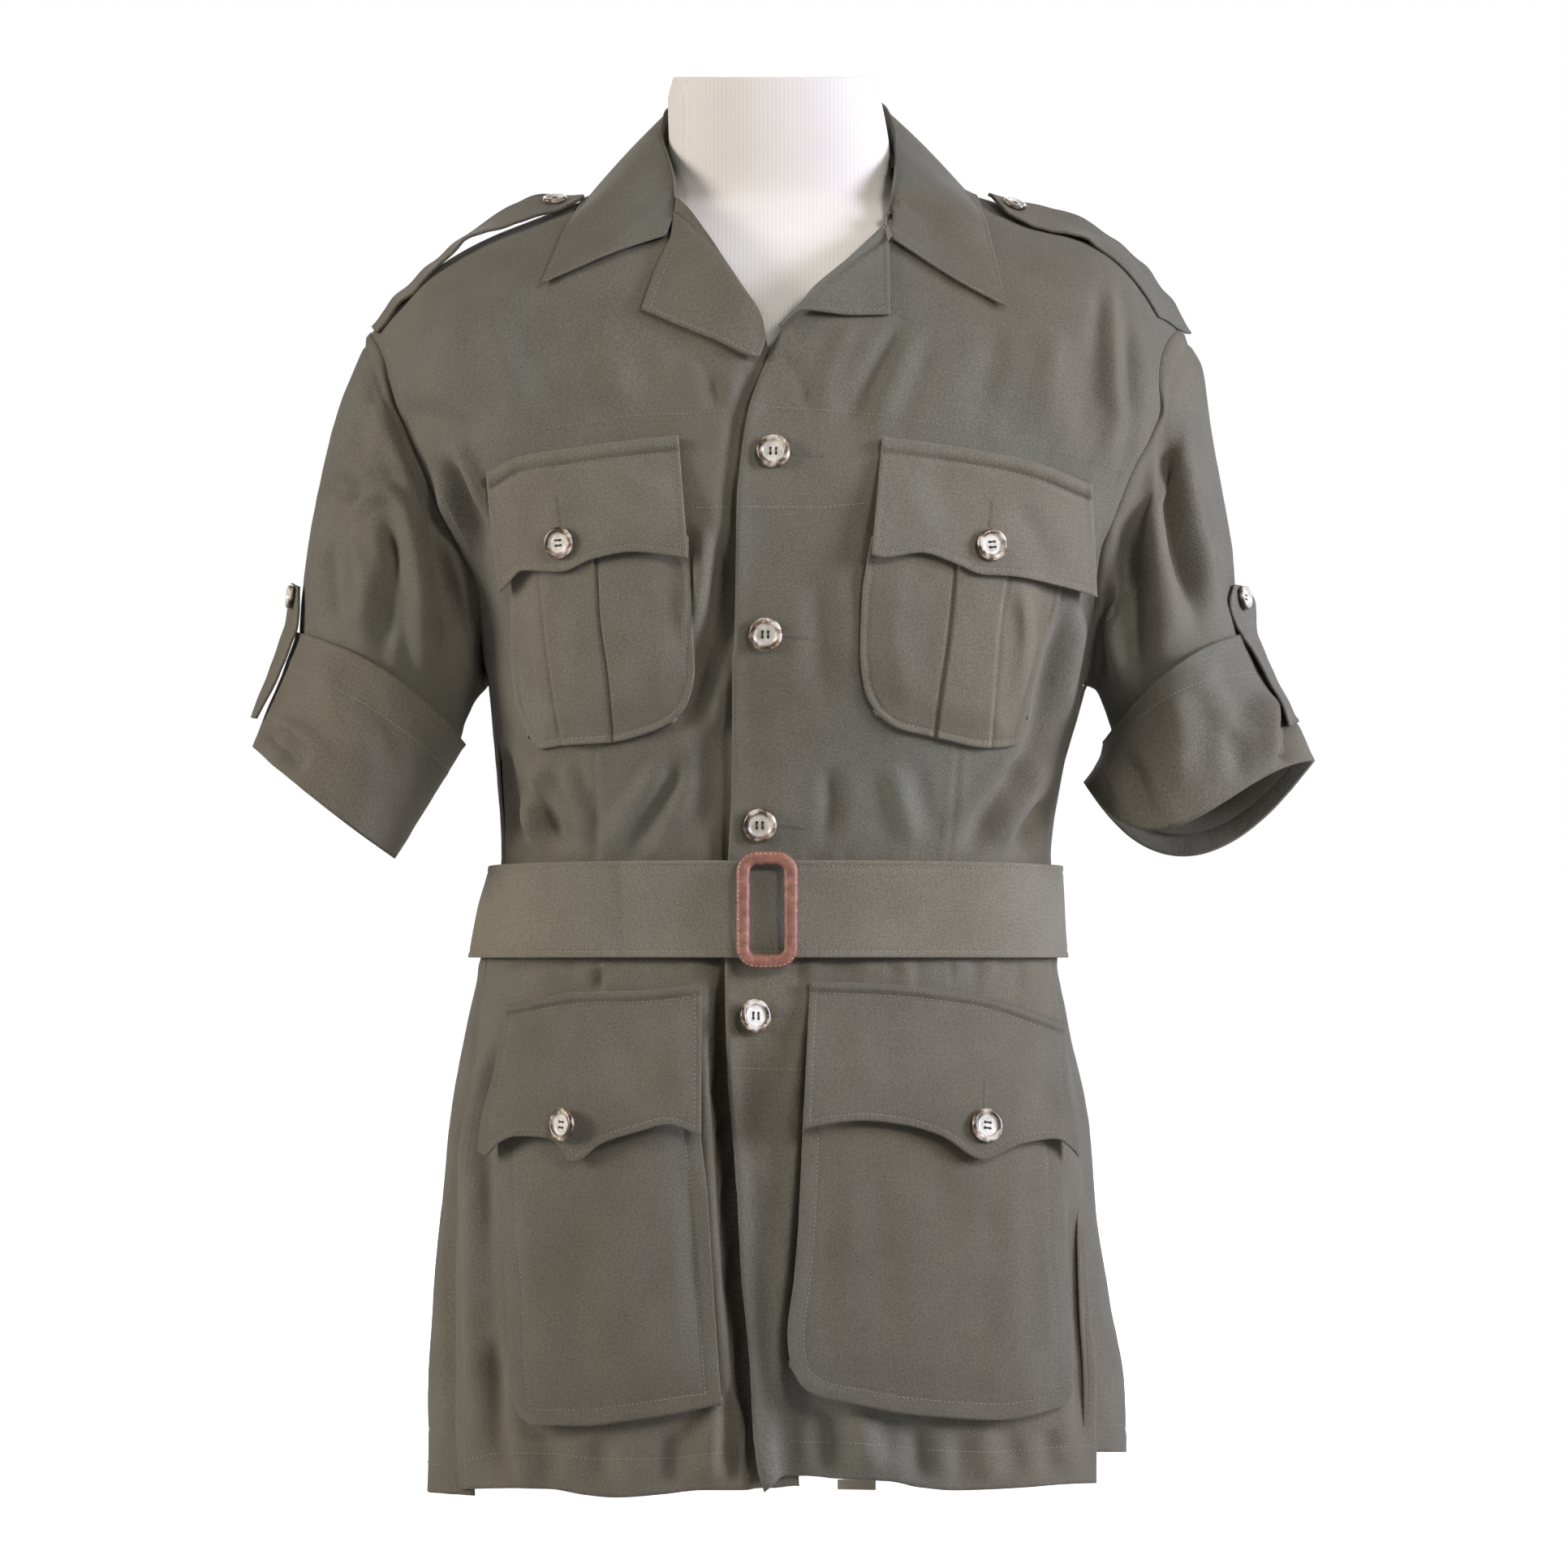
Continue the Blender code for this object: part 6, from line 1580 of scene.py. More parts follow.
# edge relief: distance to the outer edge and to the two short ends
to_edge = np.linalg.norm(np.cumsum(np.linalg.norm(np.diff(body[::-1], axis=0), axis=-1, keepdims=True), axis=0), axis=-1)
to_edge = np.concatenate([np.zeros((1, N_COLLAR)), to_edge])[::-1] / 0.000452
start_end = np.concatenate([np.zeros((body.shape[0], 1)), np.cumsum(np.linalg.norm(np.diff(body, axis=1), axis=-1), axis=1)], axis=1)
to_end = np.minimum(start_end, start_end[:, -1:] - start_end) / 0.000452
front_end = np.minimum(to_edge, 1e9)
relief = stitched(front_end, 8.5)
body = body + normal * relief[..., None]
for _ in range(6):
    moved = 0.0
    flat_pts = body.reshape(-1, 3)
    push = np.zeros(flat_pts.shape)
    for k, p in enumerate(flat_pts):
        hit, q, _, dist = TREE["shoulders"].find_nearest(Vector(p), 0.012)
        if hit is None:
            continue
        ref = Vector((hit.x, hit.y, 0.05 if hit.z > 0.68 else 0.0))
        if q.dot(ref) < 0:
            q = -q
        off = (Vector(p) - hit).dot(q)
        if abs(off) < 0.6 * dist and dist > WALL + 0.0004:
            continue
        if off < WALL + 0.0004:
            push[k] = np.array(q) * (WALL + 0.0004 - off)
            moved = max(moved, WALL + 0.0004 - off)
    body = body + push.reshape(body.shape)
    if moved < 1e-5:
        break
g[n_stand:] = body
grid["collar"] = g
cloth("collar_cloth", g[::-1], DRILL_B, ("collar",), wall=0.0011)
TREE["collar"] = net(g[n_stand - 1:])

# ---- pockets and their flaps
PLEAT = {"left": (((665, 690), (673, 782), (682, 849), (695, 921)), ((731, 680), (735, 760), (744, 826), (752, 917))),
         "right": (((1181, 690), (1172, 782), (1161, 858), (1154, 912)), ((1243, 700), (1232, 760), (1223, 871), (1219, 924)))}
POCKET_FOLDS = {
    "chest_left": ((((640, 740), (648, 820), (664, 915)), (9, 12), -0.0022, SOFT),
                   (((700, 720), (708, 800), (716, 900)), (12, 12), 0.0008, SOFT),
                   (((800, 700), (810, 780), (800, 880)), (20, 20), 0.0008, SOFT)),
    "chest_right": ((((1258, 715), (1268, 790), (1260, 880)), (9, 12), 0.0020, SOFT),
                    (((1282, 730), (1280, 800), (1262, 890)), (8, 10), -0.0022, SOFT),
                    (((1110, 700), (1104, 780), (1120, 870)), (16, 20), 0.0010, SOFT)),
    "hip_left": ((((640, 1440), (650, 1560), (660, 1700)), (14, 18), 0.0016, SOFT),
                 (((700, 1460), (712, 1580), (706, 1720)), (16, 22), -0.0014, SOFT),
                 (((780, 1420), (770, 1560), (772, 1720)), (18, 26), 0.0014, SOFT),
                 (((846, 1420), (856, 1540), (868, 1700)), (10, 14), -0.0020, SOFT)),
    "hip_right": ((((1030, 1440), (1020, 1560), (1022, 1690)), (16, 22), -0.0014, SOFT),
                  (((1120, 1430), (1128, 1560), (1120, 1700)), (20, 28), 0.0014, SOFT),
                  (((1220, 1460), (1214, 1600), (1226, 1720)), (18, 26), -0.0012, SOFT),
                  (((1290, 1450), (1296, 1600), (1292, 1710)), (12, 16), 0.0012, SOFT)),
}


def pocket(kind, side):
    sides = (CHEST_POCKET if kind == "chest" else HIP_POCKET)[side]
    T, S = dense(0.09, 9, 46, 0.01, 1), dense(0.09, 9, 120 if kind == "chest" else 50, 0.09, 9)
    uv = patch(sides, T, S)
    u, v = uv[..., 0], uv[..., 1]
    d = np.full(u.shape, 1e9)
    for key in ("left", "right", "bottom"):
        d = np.minimum(d, to_line(u, v, round_path(sides[key], 40))[0])
    key = kind + "_" + side
    if kind == "chest":
        full = 0.0022 + 0.0030 * ease((d - 6.0) / 44.0)
        h = full + stitched(d, 8.5, 0.00035, 0.00045)
    else:
        low = ease((v - 1400.0) / 240.0)
        full = 0.0060 + 0.0030 * low + 0.0030 * ease((d - 10.0) / 60.0)
        h = full + stitched(d, 20.0, 0.0004, 0.0005)
    for path, width, rise, sharp in POCKET_FOLDS[key]:
        h = h + crease(u, v, path, width, rise, sharp)
    h = h + 0.0006 * lattice(u, v, 60.0, 110.0, 141 + len(key)) + 0.00025 * lattice(u, v, 22.0, 40.0, 143)
    h = h + 0.0003 * lattice(u, v, 16.0, 16.0, 147) * np.exp(-(d / 14.0) ** 2)
    if kind == "chest":
        # the pleat lies on the pocket, its two folds as sharp steps
        a, b = (round_path(p, 30) for p in PLEAT[side])
        ua, ub = np.interp(v, a[:, 1], a[:, 0]), np.interp(v, b[:, 1], b[:, 0])
        on = ease((u - ua + 1.2) / 2.4) * ease((ub - u + 1.2) / 2.4)
        h = h + 0.0012 * on
        ka, kb = (0.0006, 0.0013) if side == "left" else (0.0013, 0.0006)
        h = h - ka * np.exp(-((u - ua + 2.6) / 2.4) ** 2) - kb * np.exp(-((u - ub - 2.6) / 2.4) ** 2)
    aim = uv.copy()
    for _ in range(3):
        base, n = lay(PLAIN["front_" + side], aim, 0.0)
        base = soften(base, 3)
        g = base + n * h[..., None]
        aim = aim + np.clip(uv - np.stack(seen(g), -1), -9.0, 9.0) * 0.8
    g = stand_off(g, TREE["front_" + side], WALL + 0.0004, FRONTWARD)
    grid[key.replace("_", "_pocket_")] = g
    # the edge turns back to the panel underneath
    drop = 0.0020 if kind == "chest" else 0.0066
    def rim(a, b, fall, inward):
        return a + unit(b - a) * inward + np.array([0.0, fall, 0.0])
    wide = [rim(g[0], g[3], drop * 0.4, 0.0004), rim(g[0], g[6], drop, 0.0030)]
    whole = np.concatenate([np.stack(wide[::-1]), g])
    l = [rim(whole[:, 0], whole[:, 3], drop * 0.4, 0.0004), rim(whole[:, 0], whole[:, 6], drop, 0.0030)]
    r = [rim(whole[:, -1], whole[:, -4], drop * 0.4, 0.0004), rim(whole[:, -1], whole[:, -7], drop, 0.0030)]
    whole = np.concatenate([np.stack(l[::-1], 1), whole, np.stack(r, 1)], axis=1)
    # chest pieces take the brightened drill (painted light), hip pieces the darkened drill (painted shade)
    cloth(kind + "_pocket_" + side + "_cloth", whole, DRILL_CHEST_PAINTED_LIGHT if kind == "chest" else DRILL_HIP_PAINTED_SHADE,
          (kind + "_pocket_" + side,), out=FRONTWARD, wall=0.0009)
    return g


def flap(kind, side):
    sides = (CHEST_FLAP if kind == "chest" else HIP_FLAP)[side]
    T, S = dense(0.12, 9, 34, 0.20, 12), dense(0.07, 7, 62, 0.07, 7)
    uv = patch(sides, T, S)
    u, v = uv[..., 0], uv[..., 1]
    d = np.full(u.shape, 1e9)
    for key in ("left", "right", "bottom"):
        d = np.minimum(d, to_line(u, v, round_path(sides[key], 50))[0])
    top = to_line(u, v, round_path(sides["top"], 50))[0]
    t = T[:, None] + 0 * S[None, :]
    key = kind + "_" + side
    line = 20.0 if kind == "chest" else 14.0
    full = FLAP_STAND[kind] * 0.80 * ease((top - line) / 150.0) ** 0.8
    h = 0.0030 + full + stitched(d, 8.5)
    h = h + 0.0016 * np.exp(-((top - line * 0.40) / (line * 0.40)) ** 2) - 0.0012 * np.exp(-((top - line) / 3.4) ** 2)
    h = h + 0.0007 * lattice(u, v, 70.0, 70.0, 151 + len(key)) + 0.0002 * lattice(u, v, 20.0, 26.0, 153)
    h = h + 0.00035 * lattice(u, v, 15.0, 40.0, 157) * np.exp(-((top - line) / 12.0) ** 2)
    for path, width, rise, sharp in FLAP_FOLDS[key]:
        h = h + crease(u, v, path, width, rise, sharp)
    aim = uv.copy()
    for _ in range(3):
        base, n = lay(PLAIN["front_" + side], aim, 0.0)
        base = soften(base, 4)
        g = base + n * h[..., None]
        aim = aim + np.clip(uv - np.stack(seen(g), -1), -9.0, 9.0) * 0.8
    both = net(grid["front_" + side], grid[kind + "_pocket_" + side])
    g = stand_off(g, both, WALL + 0.0006, FRONTWARD, 4)
    grid[kind + "_flap_" + side] = g
    # chest flaps take the brightened drill (painted light), hip flaps the darkened drill (painted shade)
    cloth(kind + "_flap_" + side + "_cloth", g, DRILL_CHEST_PAINTED_LIGHT if kind == "chest" else DRILL_HIP_PAINTED_SHADE,
          (kind + "_flap_" + side,), out=FRONTWARD, wall=0.0014)
    TREE[kind + "_flap_" + side] = net(g)
    return g


FLAP_FOLDS = {
    "chest_left": ((((760, 560), (790, 600), (838, 600)), (12, 16), 0.0014, SOFT),
                   (((640, 600), (660, 650), (668, 695)), (14, 16), -0.0010, SOFT)),
    "chest_right": ((((1110, 580), (1130, 620), (1150, 670)), (14, 18), 0.0010, SOFT),
                    (((1250, 620), (1280, 670), (1300, 712)), (14, 16), -0.0012, SOFT)),
    "hip_left": ((((740, 1236), (770, 1300), (800, 1380)), (16, 22), -0.0016, SOFT),
                 (((650, 1250), (640, 1320), (640, 1390)), (14, 18), 0.0014, SOFT),
                 (((830, 1236), (836, 1310), (830, 1380)), (12, 16), 0.0012, SOFT)),
    "hip_right": ((((1050, 1230), (1060, 1300), (1070, 1370)), (16, 22), 0.0012, SOFT),
                  (((1290, 1270), (1290, 1330), (1284, 1400)), (12, 16), -0.0012, SOFT)),
}
for side in ("left", "right"):
    for kind in ("chest", "hip"):
        pocket(kind, side)
        TREE[kind + "_pocket_" + side] = net(grid[kind + "_pocket_" + side])
        flap(kind, side)

# ---- belt
N_BELT = 360
turn = np.linspace(0, 360, N_BELT, endpoint=False)
share = (1 - np.cos(np.radians(turn))) / 2
B_ROWS = dense(0.12, 6, 12, 0.12, 6)
rows_v = np.array([(BELT_FOOT[0] + (BELT_FOOT[1] - BELT_FOOT[0]) * share) * (1 - t)
                   + (BELT_TOP[0] + (BELT_TOP[1] - BELT_TOP[0]) * share) * t for t in B_ROWS])
wide = np.where(turn > 180, turn - 360, turn)
g = torso(rows_v, wide[None, :] + 0 * rows_v)
out = unit(g * np.array([1.0, 1.0, 0.0]))
B_U = np.cumsum(np.ones(N_BELT)) * (2 * math.pi * 0.155 / N_BELT) / 0.000466
d_edge = np.minimum(B_ROWS, 1 - B_ROWS)[:, None] * 116.0 + 0 * rows_v
kink = 0.0016 * np.exp(-((seen(g)[0] - 774.0) / 9.0) ** 2) * (wide[None, :] > -89) * (wide[None, :] < 89)
lead = np.concatenate([lattice(B_U, B_U * 0, 95.0, 9.0, 161)])[None, :]
h = (BELT_WALL + 0.0042 + 0.0006 * lead + 0.0006 * lattice(B_U[None, :] + 0 * d_edge, B_ROWS[:, None] * 116 + 0 * d_edge, 130.0, 90.0, 163)
     + stitched(d_edge, 8.0, 0.0003, 0.0004) - kink)
seam_blend = ease(np.minimum(turn, 360 - turn) / 14.0)[None, :]
h = h * 1.0
h[:, 0] = h[:, -1] * 0.5 + h[:, 1] * 0.5
g = g + out * h[..., None]
for _ in range(6):
    moved = 0.0
    for i in range(g.shape[0]):
        for j in range(g.shape[1]):
            p = Vector(g[i, j])
            hit, q, _, dist = TREE["shoulders"].find_nearest(p, 0.012)
            if hit is None:
                continue
            if q.dot(Vector((hit.x, hit.y, 0.0))) < 0:
                q = -q
            off = (p - hit).dot(q)
            if off < BELT_WALL + 0.0002:
                g[i, j] += np.array(q) * (BELT_WALL + 0.0002 - off)
                moved = max(moved, BELT_WALL + 0.0002 - off)
    if moved < 1e-5:
        break
grid["belt"] = g
# the belt wears the brightened drill, painted light
cloth("belt_cloth", g, DRILL_BELT_PAINTED_LIGHT, ("belt",), wall=0.0020, wrap=True)
TREE["belt"] = net(closed(g))

# ---- buckle: a covered frame
hit, n = spot(TREE["belt"], BUCKLE["u"], BUCKLE["v"])
head, _ = spot(TREE["belt"], BUCKLE["u"], BUCKLE["v"] - 50.0)
toe, _ = spot(TREE["belt"], BUCKLE["u"], BUCKLE["v"] + 50.0)
lean = (head.y - toe.y) / (head.z - toe.z)
size = UNIT * (VIEW + hit.y)
bw, bh, br = BUCKLE["wide"] / 2 * size, BUCKLE["high"] / 2 * size, BUCKLE["corner"] * size
line = []
for cx, cz, a0 in ((bw - br, bh - br, 0), (-bw + br, bh - br, 90), (-bw + br, -bh + br, 180), (bw - br, -bh + br, 270)):
    for i in range(9):
        a = math.radians(a0 + 90 * i / 8)
        line.append((cx + br * math.cos(a), cz + br * math.sin(a)))
line = np.array(line + line[:1])
pos = np.concatenate([[0], np.cumsum(np.linalg.norm(np.diff(line, axis=0), axis=1))])
N_PATH, N_TUBE = 200, 28
q = np.linspace(0, pos[-1], N_PATH, endpoint=False)
px, pz = np.interp(q, pos, line[:, 0]), np.interp(q, pos, line[:, 1])
tx, tz = np.roll(px, -1) - np.roll(px, 1), np.roll(pz, -1) - np.roll(pz, 1)
ln = np.hypot(tx, tz)
nx, nz = tz / ln, -tx / ln
sign_out = np.sign(nx * px + nz * pz)
nx, nz = nx * sign_out, nz * sign_out
proud = 0.0
for x, z in zip(px, pz):
    for reach in (0.88, 1.0, 1.12):
        u, v = seen(np.array([hit.x + x * reach, hit.y, hit.z + z * reach]))
        near, _ = spot(TREE["belt"], float(u), float(v))
        if near is not None and abs(near.z - hit.z) < 0.0275:
            proud = max(proud, hit.y + lean * z - near.y)
tube = []
for k in range(N_TUBE):
    a = 2 * math.pi * k / N_TUBE
    off = 0.00375 * math.copysign(abs(math.cos(a)) ** 0.85, math.cos(a))
    depth_ = 0.0030 * math.copysign(abs(math.sin(a)) ** 0.85, math.sin(a))
    bumpy = 0.00012 * lattice(q * 4000.0, q * 0 + k * 3.0, 9.0, 5.0, 171)
    tube.append(np.stack([hit.x + px + nx * (off + bumpy), hit.y + lean * (pz + nz * off) - proud - 0.0036 + depth_ + 0 * px,
                          hit.z + pz + nz * (off + bumpy)], -1))
tube = np.stack(tube, 1)
faces = [(i * N_TUBE + k, i * N_TUBE + (k + 1) % N_TUBE, ((i + 1) % N_PATH) * N_TUBE + (k + 1) % N_TUBE,
          ((i + 1) % N_PATH) * N_TUBE + k) for i in range(N_PATH) for k in range(N_TUBE)]
LEATHER = leather_material()
ob = solid("buckle_covered", (tube + np.array([SHIFT[0], SHIFT[1], 0.0])).reshape(-1, 3), faces, LEATHER, ("buckle",))
bm = bmesh.new()
bm.from_mesh(ob.data)
bmesh.ops.recalc_face_normals(bm, faces=bm.faces)
bm.to_mesh(ob.data)
bm.free()
ob.data.shade_smooth()
BUCKLE_STITCH = []
rim_line = tube[:, int(N_TUBE * 0.86)] * 1.0
rim_line = np.concatenate([rim_line, rim_line[:1]])
front_n = np.stack([nx * 0.5, -np.ones(N_PATH), nz * 0.5], -1)
front_n = np.concatenate([front_n, front_n[:1]])
sew_points(rim_line, unit(front_n), 0.0026, 0.0017, 0.00026, BUCKLE_STITCH, 0.0001)

# ---- straps
def strap_grid(edges, rows, cols):
    s = shares(rows)
    a, b = along(edges["back"], s), along(edges["front"], s)
    t = shares(cols)[:, None, None]
    q = a[None] * (1 - t) + b[None] * t
    return at(q[..., 0], q[..., 1], q[..., 2])


def lift_off(g, tree, need, toward, rounds=6):
    for _ in range(rounds):
        push = np.zeros(g.shape)
        for i in range(g.shape[0]):
            for j in range(g.shape[1]):
                hit, n, _, dist = tree.find_nearest(Vector(g[i, j]), 0.02)
                if hit is None:
                    continue
                if n.dot(Vector(toward)) < 0:
                    n = -n
                off = (Vector(g[i, j]) - hit).dot(n)
                if abs(off) < 0.6 * dist and dist > need:
                    continue
                if off < need:
                    push[i, j] = np.array(n) * (need - off)
        if np.abs(push).max() < 1e-5:
            break
        g = g + push
    return g


BUTTON_SPOTS = []
for side, sign in (("left", -1.0), ("right", 1.0)):
    up = np.array([sign * 0.45, -0.15, 0.9])
    rows, cols = dense(0.05, 5, 70, 0.02, 2), dense(0.16, 4, 10, 0.16, 4)
    g = strap_grid(EPAULETTE[side], rows, cols)
    s = rows[None, :] * 330.0 + 0 * cols[:, None]
    e = np.minimum(cols, 1 - cols)[:, None] * 90.0 + 0 * s
    n = outward(g, False, np.broadcast_to(up, g.shape))
    h = (0.0010 * lattice(s, e * 0, 30.0, 9.0, 181) + 0.0010 * lattice(s, cols[:, None] * 60 + 0 * s, 24.0, 40.0, 183)
         + stitched(np.minimum(e, s), 8.0, 0.0003, 0.0003))
    g = g + n * h[..., None]
    around = net(grid["front_" + side], grid["back"], closed(grid["sleeve_" + side]), grid["collar"][n_stand - 1:])
    g = lift_off(g, around, WALL + 0.0006, up)
    grid["epaulette_" + side] = g
    cloth("epaulette_" + side + "_cloth", g, DRILL_C, ("epaulette_" + side,), out=up, wall=0.0016)
    TREE["epaulette_" + side] = net(g)
    outward_ = np.array([sign, -0.2, 0.1])
    tab = strap_grid(SLEEVE_TAB[side], dense(0.05, 4, 46, 0.02, 2), cols)
    rows = dense(0.05, 4, 46, 0.02, 2)
    s = rows[None, :] * 180.0 + 0 * cols[:, None]
    e = np.minimum(cols, 1 - cols)[:, None] * 60.0 + 0 * s
    n = outward(tab, False, np.broadcast_to(outward_, tab.shape))
    tab = tab + n * (0.0008 * lattice(s, e * 0, 28.0, 9.0, 187) + stitched(np.minimum(e, s), 7.0, 0.0003, 0.0003))[..., None]
    arm = net(closed(grid["sleeve_" + side]), closed(grid["cuff_" + side]))
    tab = lift_off(tab, arm, WALL + 0.0006, outward_)
    grid["sleeve_tab_" + side] = tab
    cloth("sleeve_tab_" + side + "_cloth", tab, DRILL_B, ("sleeve_tab_" + side,), out=outward_, wall=0.0016)
    for key, h_, ref in (("epaulette", g, up), ("tab", tab, outward_)):
        k = int(h_.shape[1] * 0.13)
        n = normals(h_)[h_.shape[0] // 2, k]
        n = n if n.dot(ref) > 0 else -n
        BUTTON_SPOTS.append(("button_%s_%s" % (key, side), h_[h_.shape[0] // 2, k], n, 0.0070, 0.0))

# ---- buttons: a turned disc with a raised rim and four holes
def button_mesh(radius, thick):
    r = radius
    prof = [(0.0, 0.62), (0.30, 0.60), (0.50, 0.58), (0.60, 0.64), (0.66, 0.80), (0.72, 0.95), (0.80, 1.0), (0.88, 0.97),
            (0.95, 0.82), (1.0, 0.55), (0.985, 0.32), (0.92, 0.12), (0.78, 0.0), (0.0, 0.0)]
    pr = smooth(np.linspace(0, 1, 13), np.array(prof[:13]), np.linspace(0, 1, 34))
    seg = 56
    verts, faces = [(0, 0, prof[0][1] * thick)], []
    for a, z in pr[1:]:
        for k in range(seg):
            t = 2 * math.pi * k / seg
            verts.append((a * r * math.cos(t), a * r * math.sin(t), z * thick))
    verts.append((0, 0, 0))
    rings = len(pr) - 1
    faces += [(0, 1 + k, 1 + (k + 1) % seg) for k in range(seg)]
    for i in range(rings - 1):
        for k in range(seg):
            a, b = 1 + i * seg + k, 1 + i * seg + (k + 1) % seg
            faces.append((a, a + seg, b + seg, b))
    last = 1 + (rings - 1) * seg
    faces += [(last + (k + 1) % seg, last + k, len(verts) - 1) for k in range(seg)]
    me = bpy.data.meshes.new("button_body")
    me.from_pydata(verts, [], faces)
    ob = bpy.data.objects.new("button_body", me)
    bpy.context.scene.collection.objects.link(ob)
    gap, hole = r * 0.168, r * 0.092
    cut_v, cut_f = [], []
    for sx in (-1, 1):
        for sy in (-1, 1):
            base = len(cut_v)
            for z in (-0.2 * thick, 1.2 * thick):
                for k in range(16):
                    t = 2 * math.pi * k / 16
                    cut_v.append((sx * gap + hole * math.cos(t), sy * gap + hole * math.sin(t), z))
            cut_f += [(base + k, base + (k + 1) % 16, base + 16 + (k + 1) % 16, base + 16 + k) for k in range(16)]
            cut_f += [tuple(base + k for k in range(16))[::-1], tuple(base + 16 + k for k in range(16))]
    cm = bpy.data.meshes.new("button_holes")
    cm.from_pydata(cut_v, [], cut_f)
    cut = bpy.data.objects.new("button_holes", cm)
    bpy.context.scene.collection.objects.link(cut)
    mod = ob.modifiers.new("holes", "BOOLEAN")
    mod.operation = "DIFFERENCE"
    mod.object = cut
    mod.solver = "EXACT"
    bpy.context.view_layer.update()
    done = bpy.data.meshes.new_from_object(ob.evaluated_get(bpy.context.evaluated_depsgraph_get()))
    bpy.data.objects.remove(cut, do_unlink=True)
    bpy.data.objects.remove(ob, do_unlink=True)
    done.shade_smooth()
    done.set_sharp_from_angle(angle=math.radians(48))
    return done, gap


BIG, GAP_BIG = button_mesh(BUTTON_R, BUTTON_T)
SMALL, GAP_SMALL = button_mesh(0.0070, 0.0030)
BAR_STITCH = []
for name, u, v, on, radius in BUTTONS:
    tree = TREE[on] if on in TREE else net(grid[on])
    hit, n = spot(tree, u, v)
    ns = [spot(tree, u + a, v + b)[1] for a, b in ((0, 0), (-12, 0), (12, 0), (0, -12), (0, 12))]
    n = np.mean([np.array(m) for m in ns if m is not None], axis=0)
    BUTTON_SPOTS.append((name, np.array(hit), unit(n), radius, {"button_front_4": 0.30, "button_hip_left": -0.35}.get(name, 0.0)))
for k, (name, p, n, radius, swing) in enumerate(BUTTON_SPOTS):
    n = unit(np.asarray(n, float))
    if swing:
        n = unit(n + np.array([math.sin(swing) * 1.6, 0.0, 0.0]))
    small = radius < 0.008
    me = (SMALL if small else BIG).copy()
    me.name = name
    ob = bpy.data.objects.new(name + "_turned", me)
    z = Vector(n)
    # the mesh's x stays level, so each button's rows of holes stand upright
    x = Vector((1.0, 0.0, 0.0)) - z * z.x
    x.normalize()
    y = z.cross(x)
    spin = Matrix.Rotation(0.0 if "front" in name else 0.06 * (k % 5 - 2), 3, "Z")
    rot = Matrix((x, y, z)).transposed() @ spin
    scale = radius / (0.0070 if small else BUTTON_R)
    back_ = 0.0006 + (0.0022 if swing else 0.0)
    centre = Vector(p) + z * back_ + Vector((SHIFT[0], SHIFT[1], 0.0))
    ob.matrix_world = Matrix.Translation(centre) @ rot.to_4x4() @ Matrix.Diagonal((scale, scale, 1.0, 1.0))
    finish_piece(ob, horn_material(k + 1), (name,))
    gap = (GAP_SMALL if small else GAP_BIG) * scale
    thick = 0.0030 if small else BUTTON_T
    upright = "front" in name
    store = BAR_STITCH
    for s in (-1, 1):
        for rise_ in (0.0, 0.00022):
            a = Vector((s * gap, 0.0, thick * 0.62)) if upright else Vector((0.0, s * gap, thick * 0.62))
            d = Vector((0.0, 1.0, 0.0)) if upright else Vector((1.0, 0.0, 0.0))
            for sh in (-0.00022, 0.00022):
                c = a + (Vector((sh, 0, 0)) if upright else Vector((0, sh, 0)))
                w = centre + rot @ (c + Vector((0, 0, rise_)))
                w = np.array(w) - np.array([SHIFT[0], SHIFT[1], 0.0])
                spindle(w, np.array(rot @ d), np.array(z), gap * 2.5, 0.00024, store)

# ---- dress form
N_FORM, R_FORM = 120, 190
angles = np.linspace(0, 360, N_FORM, endpoint=False)
vs = [r[0] for r in FORM][::-1]
rows_ = np.concatenate([np.linspace(1790, 440, 90), np.linspace(440, 112, 90)[1:], np.linspace(112, 106, 7)[1:]])
rings = []
for v in rows_:
    left, right, front, rear = (float(column(FORM, k, v)) for k in (1, 2, 3, 4))
    s, c = np.sin(np.radians(angles)), np.cos(np.radians(angles))
    scale = UNIT * VIEW
    xl, xr = (left - MID) * scale, (right - MID) * scale
    e = 2.0 / (2.0 + 0.25 * float(ease((v - 380.0) / 200.0)))
    x = (xl + xr) / 2 + (xr - xl) / 2 * np.sign(s) * np.abs(s) ** e
    y = -np.where(c > 0, front, rear) * np.sign(c) * np.abs(c) ** e
    # the cut top of the neck is seen as a straight line
    level = float(ease((190.0 - v) / 70.0))
    z = EYE_Z - (v - MID) * scale
    z = z * (1 - level) + level * (EYE_Z - (v - 11.0 - MID) * UNIT * (VIEW + np.minimum(y, 0.0)))
    rings.append(np.stack([x, y, z + 0 * y], -1))
s, c = np.sin(np.radians(angles)), np.cos(np.radians(angles))
top = rings[-1]
mid_top = top.mean(axis=0)
for t in (0.9, 0.6, 0.3, 0.02):
    rings.append(mid_top + (top - mid_top) * t - np.array([0.0, 0.0, 0.010 * (1 - t)]))
low = rings[0] * np.array([0.94, 0.94, 1.0]) - np.array([0, 0, 0.004])
foot = np.stack([FOOT_HALF * s - 0.003, FOOT_Y - FOOT_DEEP * c, 0 * s], -1)
lowest = [foot * np.array([0.02, 0.02, 1.0]) + np.array([0, FOOT_Y * 0.98, 0]), foot,
          foot + np.array([0, 0, low[0, 2]]), low]
body = np.stack(lowest + rings)
R = body.shape[0]
girth = np.concatenate([np.zeros((R, 1)), np.cumsum(np.linalg.norm(np.diff(closed(body), axis=1), axis=-1), axis=1)], axis=1)
rib = 0.00115 * 2 * math.pi
verts = (body + np.array([SHIFT[0], SHIFT[1], 0.0])).reshape(-1, 3)
faces, uv = [], []
